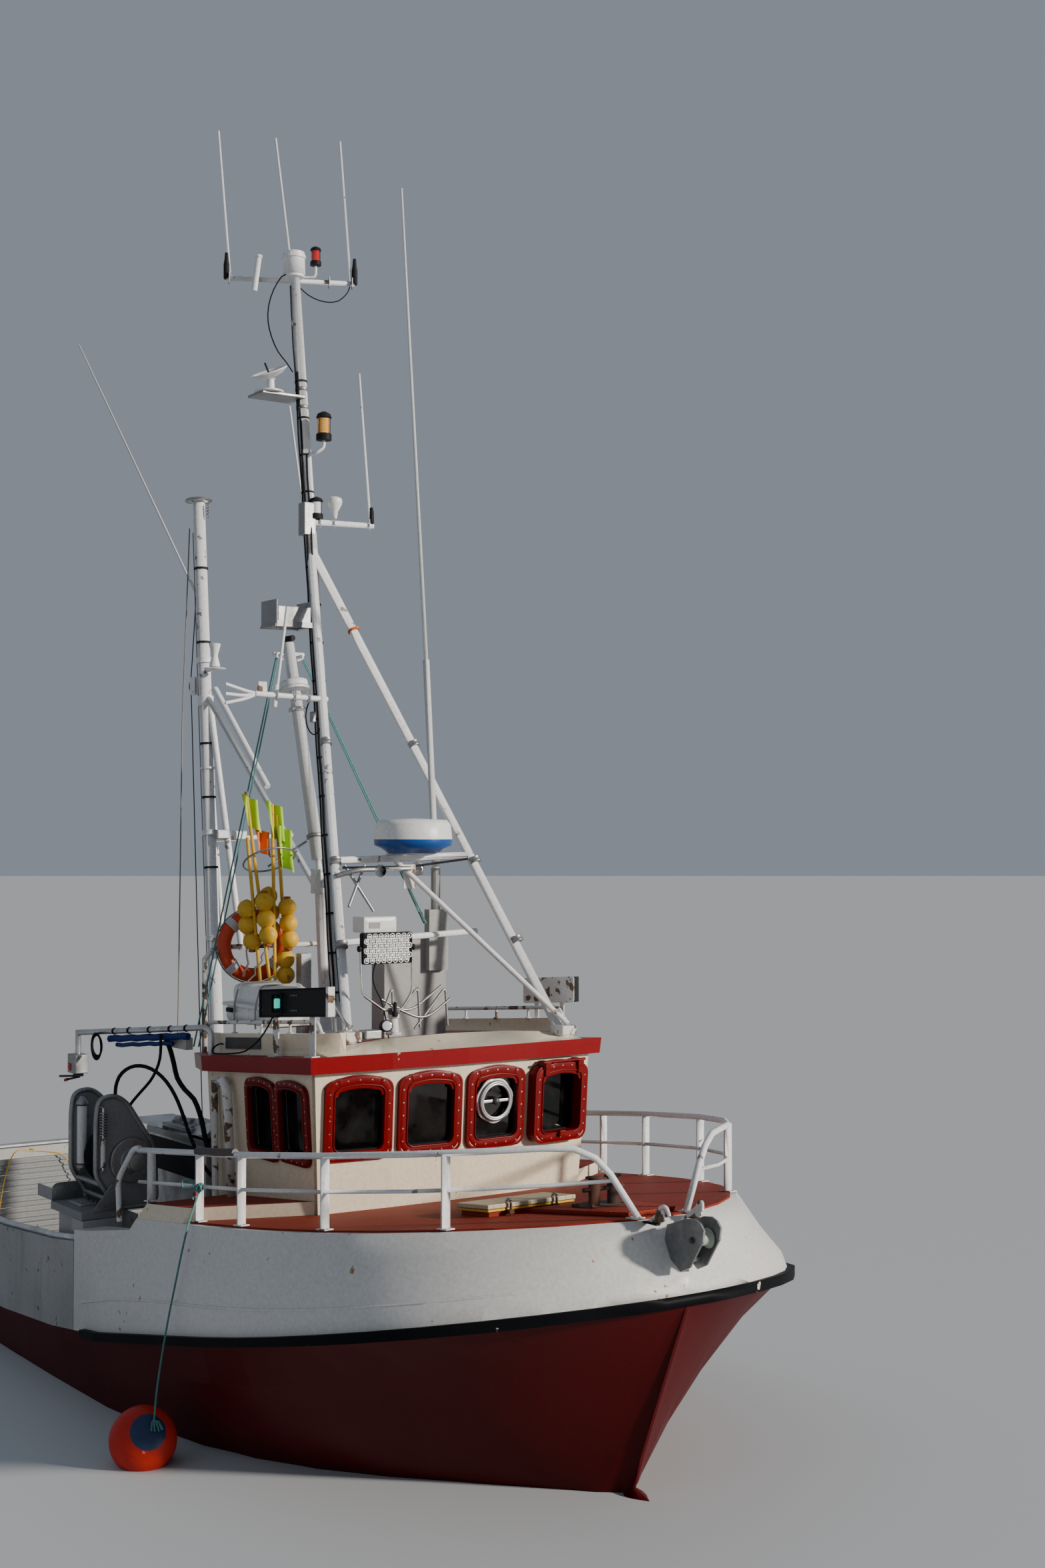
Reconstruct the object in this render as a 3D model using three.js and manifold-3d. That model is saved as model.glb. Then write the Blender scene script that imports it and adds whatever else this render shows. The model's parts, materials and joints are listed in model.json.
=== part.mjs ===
// A small inshore fishing boat afloat: 10.7 m long, decked, with a wheelhouse forward.
// Millimetres, +X to the bow, +Y to port, +Z up. The origin is amidships on the waterline.
import * as THREE from "three";
import { mergeVertices } from "three/addons/utils/BufferGeometryUtils.js";
import Module from "manifold-3d";

const wasm = await Module();
wasm.setup();

// Hull, in plan and profile
const TRANSOM_X = -5300;
const STEM_X = 5430;
const NOSE_X = 5230;
const FULL_BEAM_X = 1500;
const HALF_BEAM = 2130;
const DECK_HALF_BEAM = 1920;
const PLATE = 60;
const GAP = 0.3;
const RUB_RAIL = 48;
const DECK_PLATE = 14;

// x, z of the seam between the red hull and the white topsides
const SEAM_LINE = [
  [-5300, 330],
  [-3000, 300],
  [-1100, 350],
  [700, 510],
  [2000, 740],
  [3200, 960],
  [4200, 1160],
  [5000, 1320],
  [5430, 1400],
];

// x, z of the hull's bottom, from the transom to the top of the stem
const BOTTOM_LINE = [
  [-5300, -200],
  [-4500, -320],
  [-3500, -640],
  [-2000, -950],
  [0, -1060],
  [2500, -1040],
  [3800, -960],
  [4400, -800],
  [4700, -420],
  [4860, 60],
  [5140, 720],
  [5430, 1370],
];

// Raised foredeck
const DECK_AT = 3800;
const DECK_Z = 1727;
const DECK_SLOPE = 0.107;
const BREAK_X = 1250;
const STEP_AFT_X = 1192;

// x, y round what is cut from the fore end of the side deck
const SLANT = [
  [1960, 1932],
  [2617, 1163],
  [2900, 1000],
  [2900, 2400],
  [1960, 2400],
];

// x, z up the break between the bulwark's top and the step of the side deck
const BREAK_SLOPE = [
  [470, 1268],
  [1118, 1350],
  [1194, 1448],
  [1268, 1566],
];
const SIDE_DECK_END_X = 2630;
const SIDE_DECK_STEP = 110;

// Aft bulwark
const BULWARK_START_X = 460;
const BULWARK_HEIGHT = 690;

// Keel, rudder and propeller
const KEEL_Z = -1340;
const KEEL_HALF = 55;
const SHAFT_Z = -850;
const PROPELLER_X = -4420;
const PROPELLER_R = 390;
const RUDDER_X = -4860;

// Wheelhouse
const HOUSE_FRONT_X = 2740;
const HOUSE_BOW = 90;
const HOUSE_HALF = 1160;
const HOUSE_LEAN = 60;
const HOUSE_AFT_X = 950;
const HOUSE_TOP_Z = 2640;
const HOUSE_SLOPE = 0.08;
const ROOF_AFT_X = 370;
const ROOF_AFT_HALF = 960;
const WALL = 45;
const SOLE_Z = 600;
const WINDOW_W = 530;
const WINDOW_H = 600;
const FRAME_W = 62;
const DOOR_Y = [-760, -140];
const DOOR_Z = [640, 2330];
const HINGE_X = 906;
const HINGE_Y = -112;
const HINGE_HEIGHTS = [820, 1480, 2100];
const SIDE_WINDOWS_X = [1875, 2365];
const SIDE_WINDOW_W = 484;

// Rig
const MAST_FOOT = [920, 0, 2740];
const MAST_HEAD = [80, 0, 9310];
const APEX_SHARE = 0.615;
const MASTHEAD_BAR = { starboard: [-272, -470, 9190], port: [196, 540, 9190] };
const YARD = { starboard: [385, -70, 7020], port: [494, 560, 7020] };
const WHIPS = [
  { foot: [-258, -440, 9190], tip: [-400, -489, 10510] },
  { foot: [-30, 52, 9190], tip: [-150, -60, 10460] },
  { foot: [182, 510, 9190], tip: [70, 461, 10470] },
  { foot: [490, 535, 7020], tip: [360, 494, 8360] },
];
const LEG_FEET = [
  [2450, -795],
  [2600, 1060],
];
const BOOM_FOOT = [580, 0, 4010];
const BOOM_HEAD = [0, 0, 6010];
const RADAR = { x: 1880, y: 115, z: 4210 };
const FLOODLIGHT = [2400, -442, 3504];
const WHIP = { x: 1615, y: 492, z: 4085 };
const AFT_MAST_FOOT = [-1180, 0, 360];
const AFT_MAST_HEAD = [-1790, 0, 7490];

const RED = 0x8f0f12;
const WHITE = 0xd8d4cc;
const CREAM = 0xe4d9c8;
const BLACK = 0x14161a;
const DECK_RED = 0x8f3a2c;
const STEEL = 0x7d8084;
const ALUMINIUM = 0xa9adb0;
const GLASS = 0x0c0e12;
const BLUE = 0x1c5fa8;
const ORANGE = 0xe0502e;
const YELLOW = 0xe0b83a;

const boat = new THREE.Group();

function put(name, body, color, roughness = 0.6, metalness = 0) {
  const material = new THREE.MeshStandardMaterial({ color, roughness, metalness });
  material.name = name;
  const mesh = new THREE.Mesh(body instanceof THREE.BufferGeometry ? body : toGeometry(body), material);
  mesh.name = name;
  boat.add(mesh);
  return mesh;
}

function toSolid(geometry) {
  const bare = geometry.clone();
  bare.deleteAttribute("normal");
  bare.deleteAttribute("uv");
  const welded = mergeVertices(bare, 1e-3);
  return new wasm.Manifold(
    new wasm.Mesh({
      numProp: 3,
      vertProperties: new Float32Array(welded.attributes.position.array),
      triVerts: new Uint32Array(welded.index.array),
    })
  );
}

function toGeometry(body) {
  const mesh = body.getMesh();
  const geometry = new THREE.BufferGeometry();
  geometry.setAttribute("position", new THREE.BufferAttribute(mesh.vertProperties, 3));
  geometry.setIndex(new THREE.BufferAttribute(mesh.triVerts, 1));
  geometry.computeVertexNormals();
  return geometry;
}

function join(...bodies) {
  return bodies.reduce((whole, body) => whole.add(body));
}

function block(x0, x1, y0, y1, z0, z1) {
  const geometry = new THREE.BoxGeometry(x1 - x0, y1 - y0, z1 - z0);
  geometry.translate((x0 + x1) / 2, (y0 + y1) / 2, (z0 + z1) / 2);
  return toSolid(geometry);
}

function rod(from, to, radius, sides = 8, endRadius = radius) {
  const a = new THREE.Vector3(...from);
  const b = new THREE.Vector3(...to);
  const geometry = new THREE.CylinderGeometry(endRadius, radius, a.distanceTo(b), sides);
  const turn = new THREE.Quaternion();
  turn.setFromUnitVectors(new THREE.Vector3(0, 1, 0), b.clone().sub(a).normalize());
  geometry.applyQuaternion(turn);
  geometry.translate(...a.add(b).multiplyScalar(0.5).toArray());
  return toSolid(geometry);
}


// A round tube along straight runs, mitred at each bend.
function tube(points, radius, sides = 8) {
  const path = points.map((point) => new THREE.Vector3(...point));
  const runs = path.slice(1).map((point, i) => point.clone().sub(path[i]).normalize());
  const aside = new THREE.Vector3(0, 0, 1).cross(runs[0]);
  if (aside.length() < 0.1) {
    aside.set(1, 0, 0);
  }
  const first = aside.normalize();
  const second = runs[0].clone().cross(first);
  let spokes = Array.from({ length: sides }, (_, k) => {
    const turn = ((k + 0.5) / sides) * 2 * Math.PI;
    return first.clone().multiplyScalar(radius * Math.cos(turn)).addScaledVector(second, radius * Math.sin(turn));
  });
  const corners = [];
  path.forEach((point, i) => {
    const before = runs[Math.max(0, i - 1)];
    const after = runs[Math.min(runs.length - 1, i)];
    const mitre = before.clone().add(after).normalize();
    spokes = spokes.map((spoke) => spoke.clone().addScaledVector(before, -spoke.dot(mitre) / before.dot(mitre)));
    corners.push(...spokes.map((spoke) => spoke.clone().add(point)));
    spokes = spokes.map((spoke) => spoke.clone().addScaledVector(after, -spoke.dot(after)));
  });
  const index = [];
  for (let i = 0; i + 1 < path.length; i++) {
    for (let k = 0; k < sides; k++) {
      const a = i * sides + k;
      const b = i * sides + ((k + 1) % sides);
      index.push(a, b, b + sides, a, b + sides, a + sides);
    }
  }
  const end = (path.length - 1) * sides;
  for (let k = 1; k + 1 < sides; k++) {
    index.push(0, k + 1, k, end, end + k, end + k + 1);
  }
  const geometry = new THREE.BufferGeometry().setFromPoints(corners);
  geometry.setIndex(index);
  return toSolid(geometry);
}

// Smooth value at x of a table of [x, value] rows.
function along(table, x) {
  const last = table.length - 2;
  const i = Math.max(0, Math.min(last, table.findIndex((row) => row[0] > x) - 1));
  const k = x >= table[last + 1][0] ? last : i;
  const slope = (j) => {
    const a = table[Math.max(0, j - 1)];
    const b = table[Math.min(last + 1, j + 1)];
    return (b[1] - a[1]) / (b[0] - a[0]);
  };
  const [x0, v0] = table[k];
  const [x1, v1] = table[k + 1];
  const w = x1 - x0;
  const t = Math.max(0, Math.min(1, (x - x0) / w));
  const h = (t * t) * (3 - 2 * t);
  return (1 - h) * v0 + h * v1 + w * t * (1 - t) * ((1 - t) * slope(k) - t * slope(k + 1));
}

// Closed body through rings of equal count; ends capped in the plane of the axes u and v.
function loft(sections, u, v) {
  const w = 3 - u - v;
  const rising = sections[sections.length - 1][0][w] > sections[0][0][w];
  const rings = rising ? sections : [...sections].reverse();
  const count = rings[0].length;
  const area = rings[0].reduce((sum, p, i) => {
    const q = rings[0][(i + 1) % count];
    return sum + p[u] * q[v] - q[u] * p[v];
  }, 0);
  const ordered = area > 0 ? rings : rings.map((ring) => [...ring].reverse());
  const index = [];
  for (let i = 0; i + 1 < ordered.length; i++) {
    for (let j = 0; j < count; j++) {
      const a = i * count + j;
      const b = i * count + ((j + 1) % count);
      index.push(a, b, b + count, a, b + count, a + count);
    }
  }
  const cap = (ring, offset, facing) => {
    const flat = ring.map((p) => new THREE.Vector2(p[u], p[v]));
    for (const [a, b, c] of THREE.ShapeUtils.triangulateShape(flat, [])) {
      const turn = (flat[b].x - flat[a].x) * (flat[c].y - flat[a].y)
        - (flat[b].y - flat[a].y) * (flat[c].x - flat[a].x);
      const keep = turn > 0 === facing;
      index.push(offset + a, offset + (keep ? b : c), offset + (keep ? c : b));
    }
  };
  cap(ordered[0], 0, false);
  cap(ordered[ordered.length - 1], (ordered.length - 1) * count, true);
  const geometry = new THREE.BufferGeometry();
  geometry.setAttribute("position", new THREE.Float32BufferAttribute(ordered.flat(2), 3));
  geometry.setIndex(index);
  return toSolid(geometry);
}

// x stations, closer together where the bow closes
function stations(from, to, count) {
  return Array.from({ length: count + 1 }, (_, i) => {
    const t = i / count;
    return from + (to - from) * Math.sin((t * Math.PI) / 2);
  });
}

const STATIONS = [-5300, -4700, -4000, -3200, -2200, -1100, 0, 1000, ...stations(1800, STEM_X - 8, 12)];

function between(from, to) {
  return [from, ...STATIONS.filter((x) => x > from + 1 && x < to - 1), to];
}

// The same curve, straight between the stations, so that neighbours share their faces.
function faceted(curve) {
  return (x) => {
    const i = Math.max(0, Math.min(STATIONS.length - 2, STATIONS.findIndex((s) => s > x) - 1));
    const k = x >= STATIONS[STATIONS.length - 1] ? STATIONS.length - 2 : i;
    const [a, b] = [STATIONS[k], STATIONS[k + 1]];
    const t = (x - a) / (b - a);
    return curve(a) * (1 - t) + curve(b) * t;
  };
}

const seamZ = faceted((x) => along(SEAM_LINE, x));
const bottomZ = (x) => along(BOTTOM_LINE, x);
const deckZ = (x) => DECK_Z + DECK_SLOPE * (x - DECK_AT);
const houseTopZ = (x) => HOUSE_TOP_Z - HOUSE_SLOPE * (HOUSE_FRONT_X - x);

// Half-breadth of a plan that is full to FULL_BEAM_X and closes at noseX.
function planHalf(x, beam, noseX, fullness, roundness) {
  if (x <= FULL_BEAM_X) {
    const run = (FULL_BEAM_X - x) / (FULL_BEAM_X - TRANSOM_X);
    return beam * (1 - 0.11 * run * run);
  }
  const t = Math.min(1, (x - FULL_BEAM_X) / (noseX - FULL_BEAM_X));
  return beam * Math.pow(1 - Math.pow(t, fullness), 1 / roundness);
}

const seamHalf = faceted((x) => planHalf(x, HALF_BEAM, STEM_X, 3.8, 1.8));
const deckHalf = (x) => planHalf(x, DECK_HALF_BEAM, NOSE_X, 3.2, 1.5);

function hullRing(x) {
  const top = seamZ(x);
  const low = Math.min(bottomZ(x), top - 12);
  const half = Math.max(seamHalf(x), 14);
  const entry = Math.max(0, Math.min(1, (x - 1200) / 3300));
  const flare = 2.4 - 1.5 * entry;
  const bilge = 2.3 - 1.4 * entry;
  const hollow = 1 + 0.4 * Math.max(0, Math.min(1, (x - 2200) / 1800));
  const side = [];
  for (const s of [0, 0.06, 0.16, 0.3, 0.48, 0.66, 0.84, 1]) {
    const y = half * Math.pow(1 - Math.pow(1 - s, flare), hollow / bilge);
    side.push([Math.max(y, 12), low + (top - low) * s]);
  }
  const port = side.map(([y, z]) => [x, y, z]);
  const starboard = side.map(([y, z]) => [x, -y, z]).reverse();
  return [...port, ...starboard];
}

// x, top, bottom and half-breadth of the bulb under the stem
const BULB = [
  [4210, -262, -858, 58],
  [4600, -60, -890, 190],
  [4860, 55, -900, 235],
  [5095, -24, -890, 250],
  [5220, -110, -850, 245],
  [5320, -200, -800, 220],
  [5400, -300, -740, 180],
  [5450, -400, -660, 120],
  [5472, -480, -590, 55],
];

// An egg whose crest is a narrow ridge, as the stem runs out along it.
function bulbRing([x, top, bottom, half]) {
  const middle = bottom + (top - bottom) * 0.45;
  return Array.from({ length: 16 }, (_, i) => {
    const a = (i / 16) * 2 * Math.PI;
    const rise = Math.sin(a) > 0 ? top - middle : middle - bottom;
    const pinch = Math.sin(a) > 0 ? 1 - 0.3 * Math.sin(a) : 1;
    return [x, half * Math.cos(a) * pinch, middle + rise * Math.sin(a)];
  });
}

function makeHull() {
  const shell = loft(STATIONS.map(hullRing), 1, 2);
  const keel = loft(
    [KEEL_HALF, -KEEL_HALF].map((y) => [
      [-4960, y, KEEL_Z],
      [3300, y, KEEL_Z],
      [4100, y, -1050],
      [4250, y, -700],
      [-4080, y, -300],
      [-4120, y, KEEL_Z + 90],
      [-4960, y, KEEL_Z + 90],
    ]),
    2,
    0
  );
  const bulb = loft(BULB.map(bulbRing), 1, 2);
  const enginePocket = block(1180, 2600, -760, 760, -760, 2000);
  const soleRecess = block(HOUSE_AFT_X + WALL, 2680, -1020, 1020, SOLE_Z, 2000);
  const fishHold = block(-2600, -1500, -560, 560, -700, 2000);
  const rudderPort = rod([RUDDER_X, 0, -600], [RUDDER_X, 0, 150], 24, 16);
  const pintle = rod([RUDDER_X, 0, KEEL_Z + 40], [RUDDER_X, 0, KEEL_Z + 200], 24, 16);
  const shaftBore = rod([PROPELLER_X - 300, 0, SHAFT_Z], [-3700, 0, SHAFT_Z], 30, 16);
  return join(shell, keel, bulb)
    .subtract(enginePocket)
    .subtract(soleRecess)
    .subtract(fishHold)
    .subtract(rudderPort)
    .subtract(pintle)
    .subtract(shaftBore);
}

// The topside leans inboard above a knuckle, and turns upright again where it meets the bulwark.
function forecastleRing(x) {
  const foot = seamZ(x) + GAP;
  const past = Math.max(0, (x - NOSE_X) / (STEM_X - NOSE_X));
  const top = deckZ(Math.min(x, NOSE_X)) * (1 - past) + (foot + 90) * past;
  const out = Math.max(seamHalf(x), 16);
  const bow = Math.max(0, Math.min(1, (x - 2500) / 2600));
  const lean = Math.max(0, Math.min(1, (x - 720) / 330));
  const deck = out + (deckHalf(x) - out) * lean;
  const inn = Math.max(Math.min(deck, out - 2), 8);
  const knuckle = Math.min(240 - 125 * bow, (top - foot) * 0.4);
  const side = [
    [out, foot],
    [out - Math.min((12 + 60 * bow) * lean, (out - inn) * 0.5), foot + knuckle],
    [inn + (out - inn) * 0.28, foot + (top - foot) * 0.76],
    [inn, top],
  ];
  return [...side.map(([y, z]) => [x, y, z]), ...side.map(([y, z]) => [x, -y, z]).reverse()];
}

function makeForecastle() {
  const aft = [BULWARK_START_X + 10, 720, 885];
  const xs = [...aft, ...between(1050, NOSE_X - 10), NOSE_X, 5290, 5350, 5400, STEM_X - 8];
  const body = loft(xs.map(forecastleRing), 1, 2);
  const slope = loft(
    [2500, -2500].map((y) => [
      [300, y, 2200],
      [300, y, 1250],
      ...BREAK_SLOPE.map(([x, z]) => [x, y, z]),
      [BREAK_SLOPE[3][0], y, 2200],
    ]),
    2,
    0
  );
  const inboard = block(BREAK_X, 2000, -1860, 1860, 0, 2400);
  const well = block(200, BREAK_X, -1860, 1860, 0, 2400);
  const cabin = block(200, 2680, -1020, 1020, 0, 2400);
  return body.subtract(slope.subtract(inboard)).subtract(well).subtract(cabin).subtract(hatchTrunk());
}

// Solid across the boat between two heights, half(x) wide to each side.
function slab(xs, half, low, high) {
  const rings = xs.map((x) => [
    [x, half(x), low(x)],
    [x, half(x), high(x)],
    [x, -half(x), high(x)],
    [x, -half(x), low(x)],
  ]);
  return loft(rings, 1, 2);
}

// Cuts away what lies lower than the top of a deck, so that a piece stands on it.
function standOnForedeck(body) {
  return body.subtract(slab([1000, NOSE_X + 100], () => 3000, () => 0, (x) => deckZ(x) + DECK_PLATE + GAP));
}

function standOnWorkingDeck(body) {
  return body.subtract(slab(between(TRANSOM_X, BREAK_X), () => 3000, () => -2000, (x) => seamZ(x) + 26 + GAP));
}

function standOnSideDeck(body) {
  return body.subtract(slab([BREAK_X, 3000], () => 3000, () => 0, (x) => deckZ(x) + SIDE_DECK_STEP + GAP));
}

function shifted(body, dx, dy, dz) {
  return toSolid(toGeometry(body).translate(dx, dy, dz));
}

function makeRubRail() {
  const xs = between(700, STEM_X - 8);
  const inner = slab(xs, (x) => seamHalf(x) + 1, (x) => seamZ(x) - 90, (x) => seamZ(x) + 60);
  const bow = (x) => Math.min(1, Math.max(0, (x - 3500) / 1500));
  const nose = (x) => x + 0.5 * RUB_RAIL * bow(x);
  const low = (x) => seamZ(x) - 34 - 12 * bow(x);
  const outer = loft(
    xs.map((x) => {
      const y = seamHalf(x) + RUB_RAIL;
      return [
        [nose(x), y, low(x)],
        [nose(x), y, seamZ(x) + 28],
        [nose(x), -y, seamZ(x) + 28],
        [nose(x), -y, low(x)],
      ];
    }),
    1,
    2
  );
  return outer.subtract(inner);
}

function makeForedeck() {
  const half = (x) => Math.max(deckHalf(x) - 55, 20);
  const plate = slab(between(BREAK_X, NOSE_X - 60), half, (x) => deckZ(x) + GAP, (x) => deckZ(x) + DECK_PLATE);
  const cabin = block(0, 2600, -1020, 1020, 0, 3000);
  return plate.subtract(cabin).subtract(hatchTrunk());
}

// A step whose outer face leans like the topside, and whose fore end runs slantwise to the wall.
function makeSideDeck(side) {
  const rings = between(STEP_AFT_X, SIDE_DECK_END_X).map((x) => {
    const inner = HOUSE_HALF + 7;
    const edge = deckHalf(x);
    const ring = [
      [inner, DECK_PLATE + GAP],
      [edge - 53, DECK_PLATE + GAP],
      [edge - 53, GAP],
      [edge - 4, GAP],
      [edge - 52, SIDE_DECK_STEP],
      [inner, SIDE_DECK_STEP],
    ];
    return ring.map(([y, up]) => [x, side * y, deckZ(x) + up]);
  });
  const ahead = loft(
    [0, 3000].map((z) => SLANT.map(([x, y]) => [x, side * y, z])),
    0,
    1
  );
  const [, , low, high] = BREAK_SLOPE;
  const above = [low, high, [high[0], 2000], [900, 2000], [900, low[1]]];
  const breakFace = loft(
    [2500, -2500].map((y) => above.map(([x, z]) => [x, y, z])),
    2,
    0
  );
  return loft(rings, 1, 2).subtract(ahead).subtract(breakFace);
}

function makeBulwark() {
  const outer = slab(between(TRANSOM_X, BULWARK_START_X), seamHalf, (x) => seamZ(x) + GAP, (x) => seamZ(x) + BULWARK_HEIGHT);
  const core = slab(
    between(TRANSOM_X + PLATE, BULWARK_START_X + 50),
    (x) => seamHalf(x) - PLATE,
    () => -100,
    () => 2400
  );
  return outer.subtract(core);
}

function makeBulwarkCap() {
  const xs = between(TRANSOM_X + 34, BULWARK_START_X).reverse();
  const port = xs.map((x) => [x, seamHalf(x) - 32, seamZ(x) + BULWARK_HEIGHT + 24.4]);
  const points = [...port, ...port.map(([x, y, z]) => [x, -y, z]).reverse()];
  return tube(points, 26);
}

function makeWorkingDeck() {
  const half = (x) => Math.min(seamHalf(x) - PLATE - 8, 1850);
  const xs = between(TRANSOM_X + PLATE + 8, BREAK_X - 8);
  const plate = slab(xs, half, (x) => seamZ(x) + GAP, (x) => seamZ(x) + 26);
  const house = block(HOUSE_AFT_X + WALL, 2000, -1020, 1020, 0, 2000);
  const hold = block(-2600, -1500, -560, 560, 0, 2000);
  return plate.subtract(house).subtract(hold);
}

// Plan corners of the wheelhouse's front, from starboard to port
function frontCorner(i, z) {
  const share = i / 4;
  const lean = (HOUSE_LEAN * (z - 1600)) / 1000;
  const y = (HOUSE_HALF + lean) * (2 * share - 1);
  const x = HOUSE_FRONT_X - HOUSE_BOW + HOUSE_BOW * Math.sin(share * Math.PI) + lean;
  return [x, y, z];
}

// Puts a shape's extrusion on a sloping facet, at u along it and v up it.
function onFacet(geometry, low0, low1, high0, v) {
  const a = new THREE.Vector3(...low0);
  const across = new THREE.Vector3(...low1).sub(a).normalize();
  const up = new THREE.Vector3(...high0).sub(a);
  const out = across.clone().cross(up).normalize();
  const rise = out.clone().cross(across);
  const middle = a.add(new THREE.Vector3(...low1)).multiplyScalar(0.5).addScaledVector(rise, v);
  const place = new THREE.Matrix4().makeBasis(across, rise, out).setPosition(middle);
  geometry.applyMatrix4(place);
  return toSolid(geometry);
}

function archedShape(width, height, arch) {
  const w = width / 2;
  const h = height / 2;
  const r = Math.min(90, w * 0.4);
  const shape = new THREE.Shape();
  shape.moveTo(-w + r, -h);
  shape.lineTo(w - r, -h);
  shape.quadraticCurveTo(w, -h, w, -h + r);
  shape.lineTo(w, h - arch - r * 0.6);
  shape.quadraticCurveTo(w, h - arch * 0.4, w - r, h - arch * 0.4);
  shape.quadraticCurveTo(0, h + arch * 0.6, -w + r, h - arch * 0.4);
  shape.quadraticCurveTo(-w, h - arch * 0.4, -w, h - arch - r * 0.6);
  shape.lineTo(-w, -h + r);
  shape.quadraticCurveTo(-w, -h, -w + r, -h);
  return shape;
}

function plateOf(shape, from, to) {
  const geometry = new THREE.ExtrudeGeometry(shape, { depth: to - from, bevelEnabled: false, curveSegments: 3 });
  geometry.translate(0, 0, from);
  return geometry;
}

const WINDOW_V = 700;
const FRONT_FOOT_Z = 1600;
const facet = (i) => [
  frontCorner(i, FRONT_FOOT_Z),
  frontCorner(i + 1, FRONT_FOOT_Z),
  frontCorner(i, 2600),
];

function frontWindow(i, grow, from, to) {
  const shape = archedShape(WINDOW_W - 2 * grow, WINDOW_H - 2 * grow, 40);
  return onFacet(plateOf(shape, from, to), ...facet(i), WINDOW_V);
}

function underRoof() {
  return slab([0, 3500], () => 3000, (x) => houseTopZ(x) - GAP, () => 4000);
}

function makeFrontWall() {
  const ring = (z) => {
    const outer = [0, 1, 2, 3, 4].map((i) => frontCorner(i, z));
    const inner = outer.map(([x, y, zz]) => [x - WALL, y * (1 - WALL / HOUSE_HALF), zz]).reverse();
    return [...outer, ...inner];
  };
  let wall = standOnForedeck(loft([ring(1560), ring(2700)], 0, 1)).subtract(underRoof());
  for (const i of [0, 1, 2, 3]) {
    const proud = i === 3 ? 90 : 26;
    wall = join(wall, frontWindow(i, 0, -10, proud)).subtract(frontWindow(i, FRAME_W, -200, 200));
  }
  return wall;
}

function makeSideWall(side) {
  const lean = (z) => (HOUSE_LEAN * (z - 1600)) / 1000;
  const frontX = (z) => frontCorner(0, z)[0] - WALL - 2;
  const ring = (z) => [
    [HOUSE_AFT_X, side * (HOUSE_HALF + lean(z)), z],
    [frontX(z), side * (HOUSE_HALF + lean(z)), z],
    [frontX(z), side * (HOUSE_HALF + lean(z) - WALL), z],
    [HOUSE_AFT_X, side * (HOUSE_HALF + lean(z) - WALL), z],
  ];
  const aftFoot = slab(between(0, BREAK_X - 3), () => 3000, () => 0, (x) => seamZ(x) + 26 + GAP);
  const foreFoot = slab([BREAK_X - 3, 3500], () => 3000, () => 0, (x) => deckZ(x) + DECK_PLATE + GAP);
  const panel = loft([ring(400), ring(2700)], 0, 1).subtract(underRoof()).subtract(aftFoot).subtract(foreFoot);
  const window = (x, grow, from, to) => {
    const shape = archedShape(SIDE_WINDOW_W - 2 * grow, WINDOW_H - 2 * grow, 30);
    const a = [x - 300, side * HOUSE_HALF, 1600];
    const b = [x + 300, side * HOUSE_HALF, 1600];
    const top = (p) => [p[0], side * (HOUSE_HALF + HOUSE_LEAN), 2600];
    const [left, right] = side > 0 ? [b, a] : [a, b];
    return onFacet(plateOf(shape, from, to), left, right, top(left), 630 + 0.05 * (x - 2000));
  };
  let wall = panel;
  for (const x of SIDE_WINDOWS_X) {
    wall = join(wall, window(x, 0, -10, 24)).subtract(window(x, 48, -200, 200));
  }
  return wall;
}


// One pane just inside each side wall, behind both of its windows
function makeSideGlass(side) {
  const inner = (z) => side * (HOUSE_HALF - WALL - GAP + (HOUSE_LEAN * (z - 1600)) / 1000);
  const ring = (z) => [
    [SIDE_WINDOWS_X[0] - 240, inner(z), z],
    [SIDE_WINDOWS_X[1] + 240, inner(z), z],
    [SIDE_WINDOWS_X[1] + 240, inner(z) - side * 8, z],
    [SIDE_WINDOWS_X[0] - 240, inner(z) - side * 8, z],
  ];
  return loft([ring(1930), ring(2520)], 0, 1);
}

function makeAftWall() {
  const half = (z) => HOUSE_HALF - WALL - 2 + (HOUSE_LEAN * (z - 1600)) / 1000;
  const ring = (z) => [
    [HOUSE_AFT_X, -half(z), z],
    [HOUSE_AFT_X + WALL, -half(z), z],
    [HOUSE_AFT_X + WALL, half(z), z],
    [HOUSE_AFT_X, half(z), z],
  ];
  const foot = slab(between(0, BREAK_X - 3), () => 3000, () => 0, (x) => seamZ(x) + 26 + GAP);
  const wall = loft([ring(400), ring(2700)], 0, 1).subtract(underRoof()).subtract(foot);
  const door = block(800, 1100, DOOR_Y[0], DOOR_Y[1], DOOR_Z[0], DOOR_Z[1]);
  const port = block(800, 1100, 260, 780, 1600, 2200);
  const pins = HINGE_HEIGHTS.map((z) => rod([HINGE_X, HINGE_Y, z], [HINGE_X, HINGE_Y, z + 90], 12.3, 16));
  const ears = HINGE_HEIGHTS.map((z) => block(HINGE_X, HOUSE_AFT_X + 5, HINGE_Y - 5, HINGE_Y + 16, z, z + 90));
  return join(wall.subtract(door).subtract(port), ...ears.map((ear, i) => ear.subtract(pins[i])));
}

// Plan of the roof, from the front's starboard corner round to its chamfered aft corners
function roofPlan(grow, forward) {
  const front = [0, 1, 2, 3, 4].map((i) => frontCorner(i, 2620));
  const half = HOUSE_HALF + 61;
  const aft = [
    [1000, half],
    [ROOF_AFT_X, ROOF_AFT_HALF],
    [ROOF_AFT_X, -ROOF_AFT_HALF],
    [1000, -half],
  ];
  return [...front, ...aft].map(([x, y]) => {
    const ahead = x > 2000 ? forward : x < 900 ? -grow : 0;
    return [x + ahead, y * (1 + grow / HOUSE_HALF)];
  });
}

function roofRing(grow, forward, z, camber) {
  return roofPlan(grow, forward).map(([x, y]) => {
    return [x, y, houseTopZ(x) + z + camber * (1 - Math.pow(y / 1300, 2))];
  });
}

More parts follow.
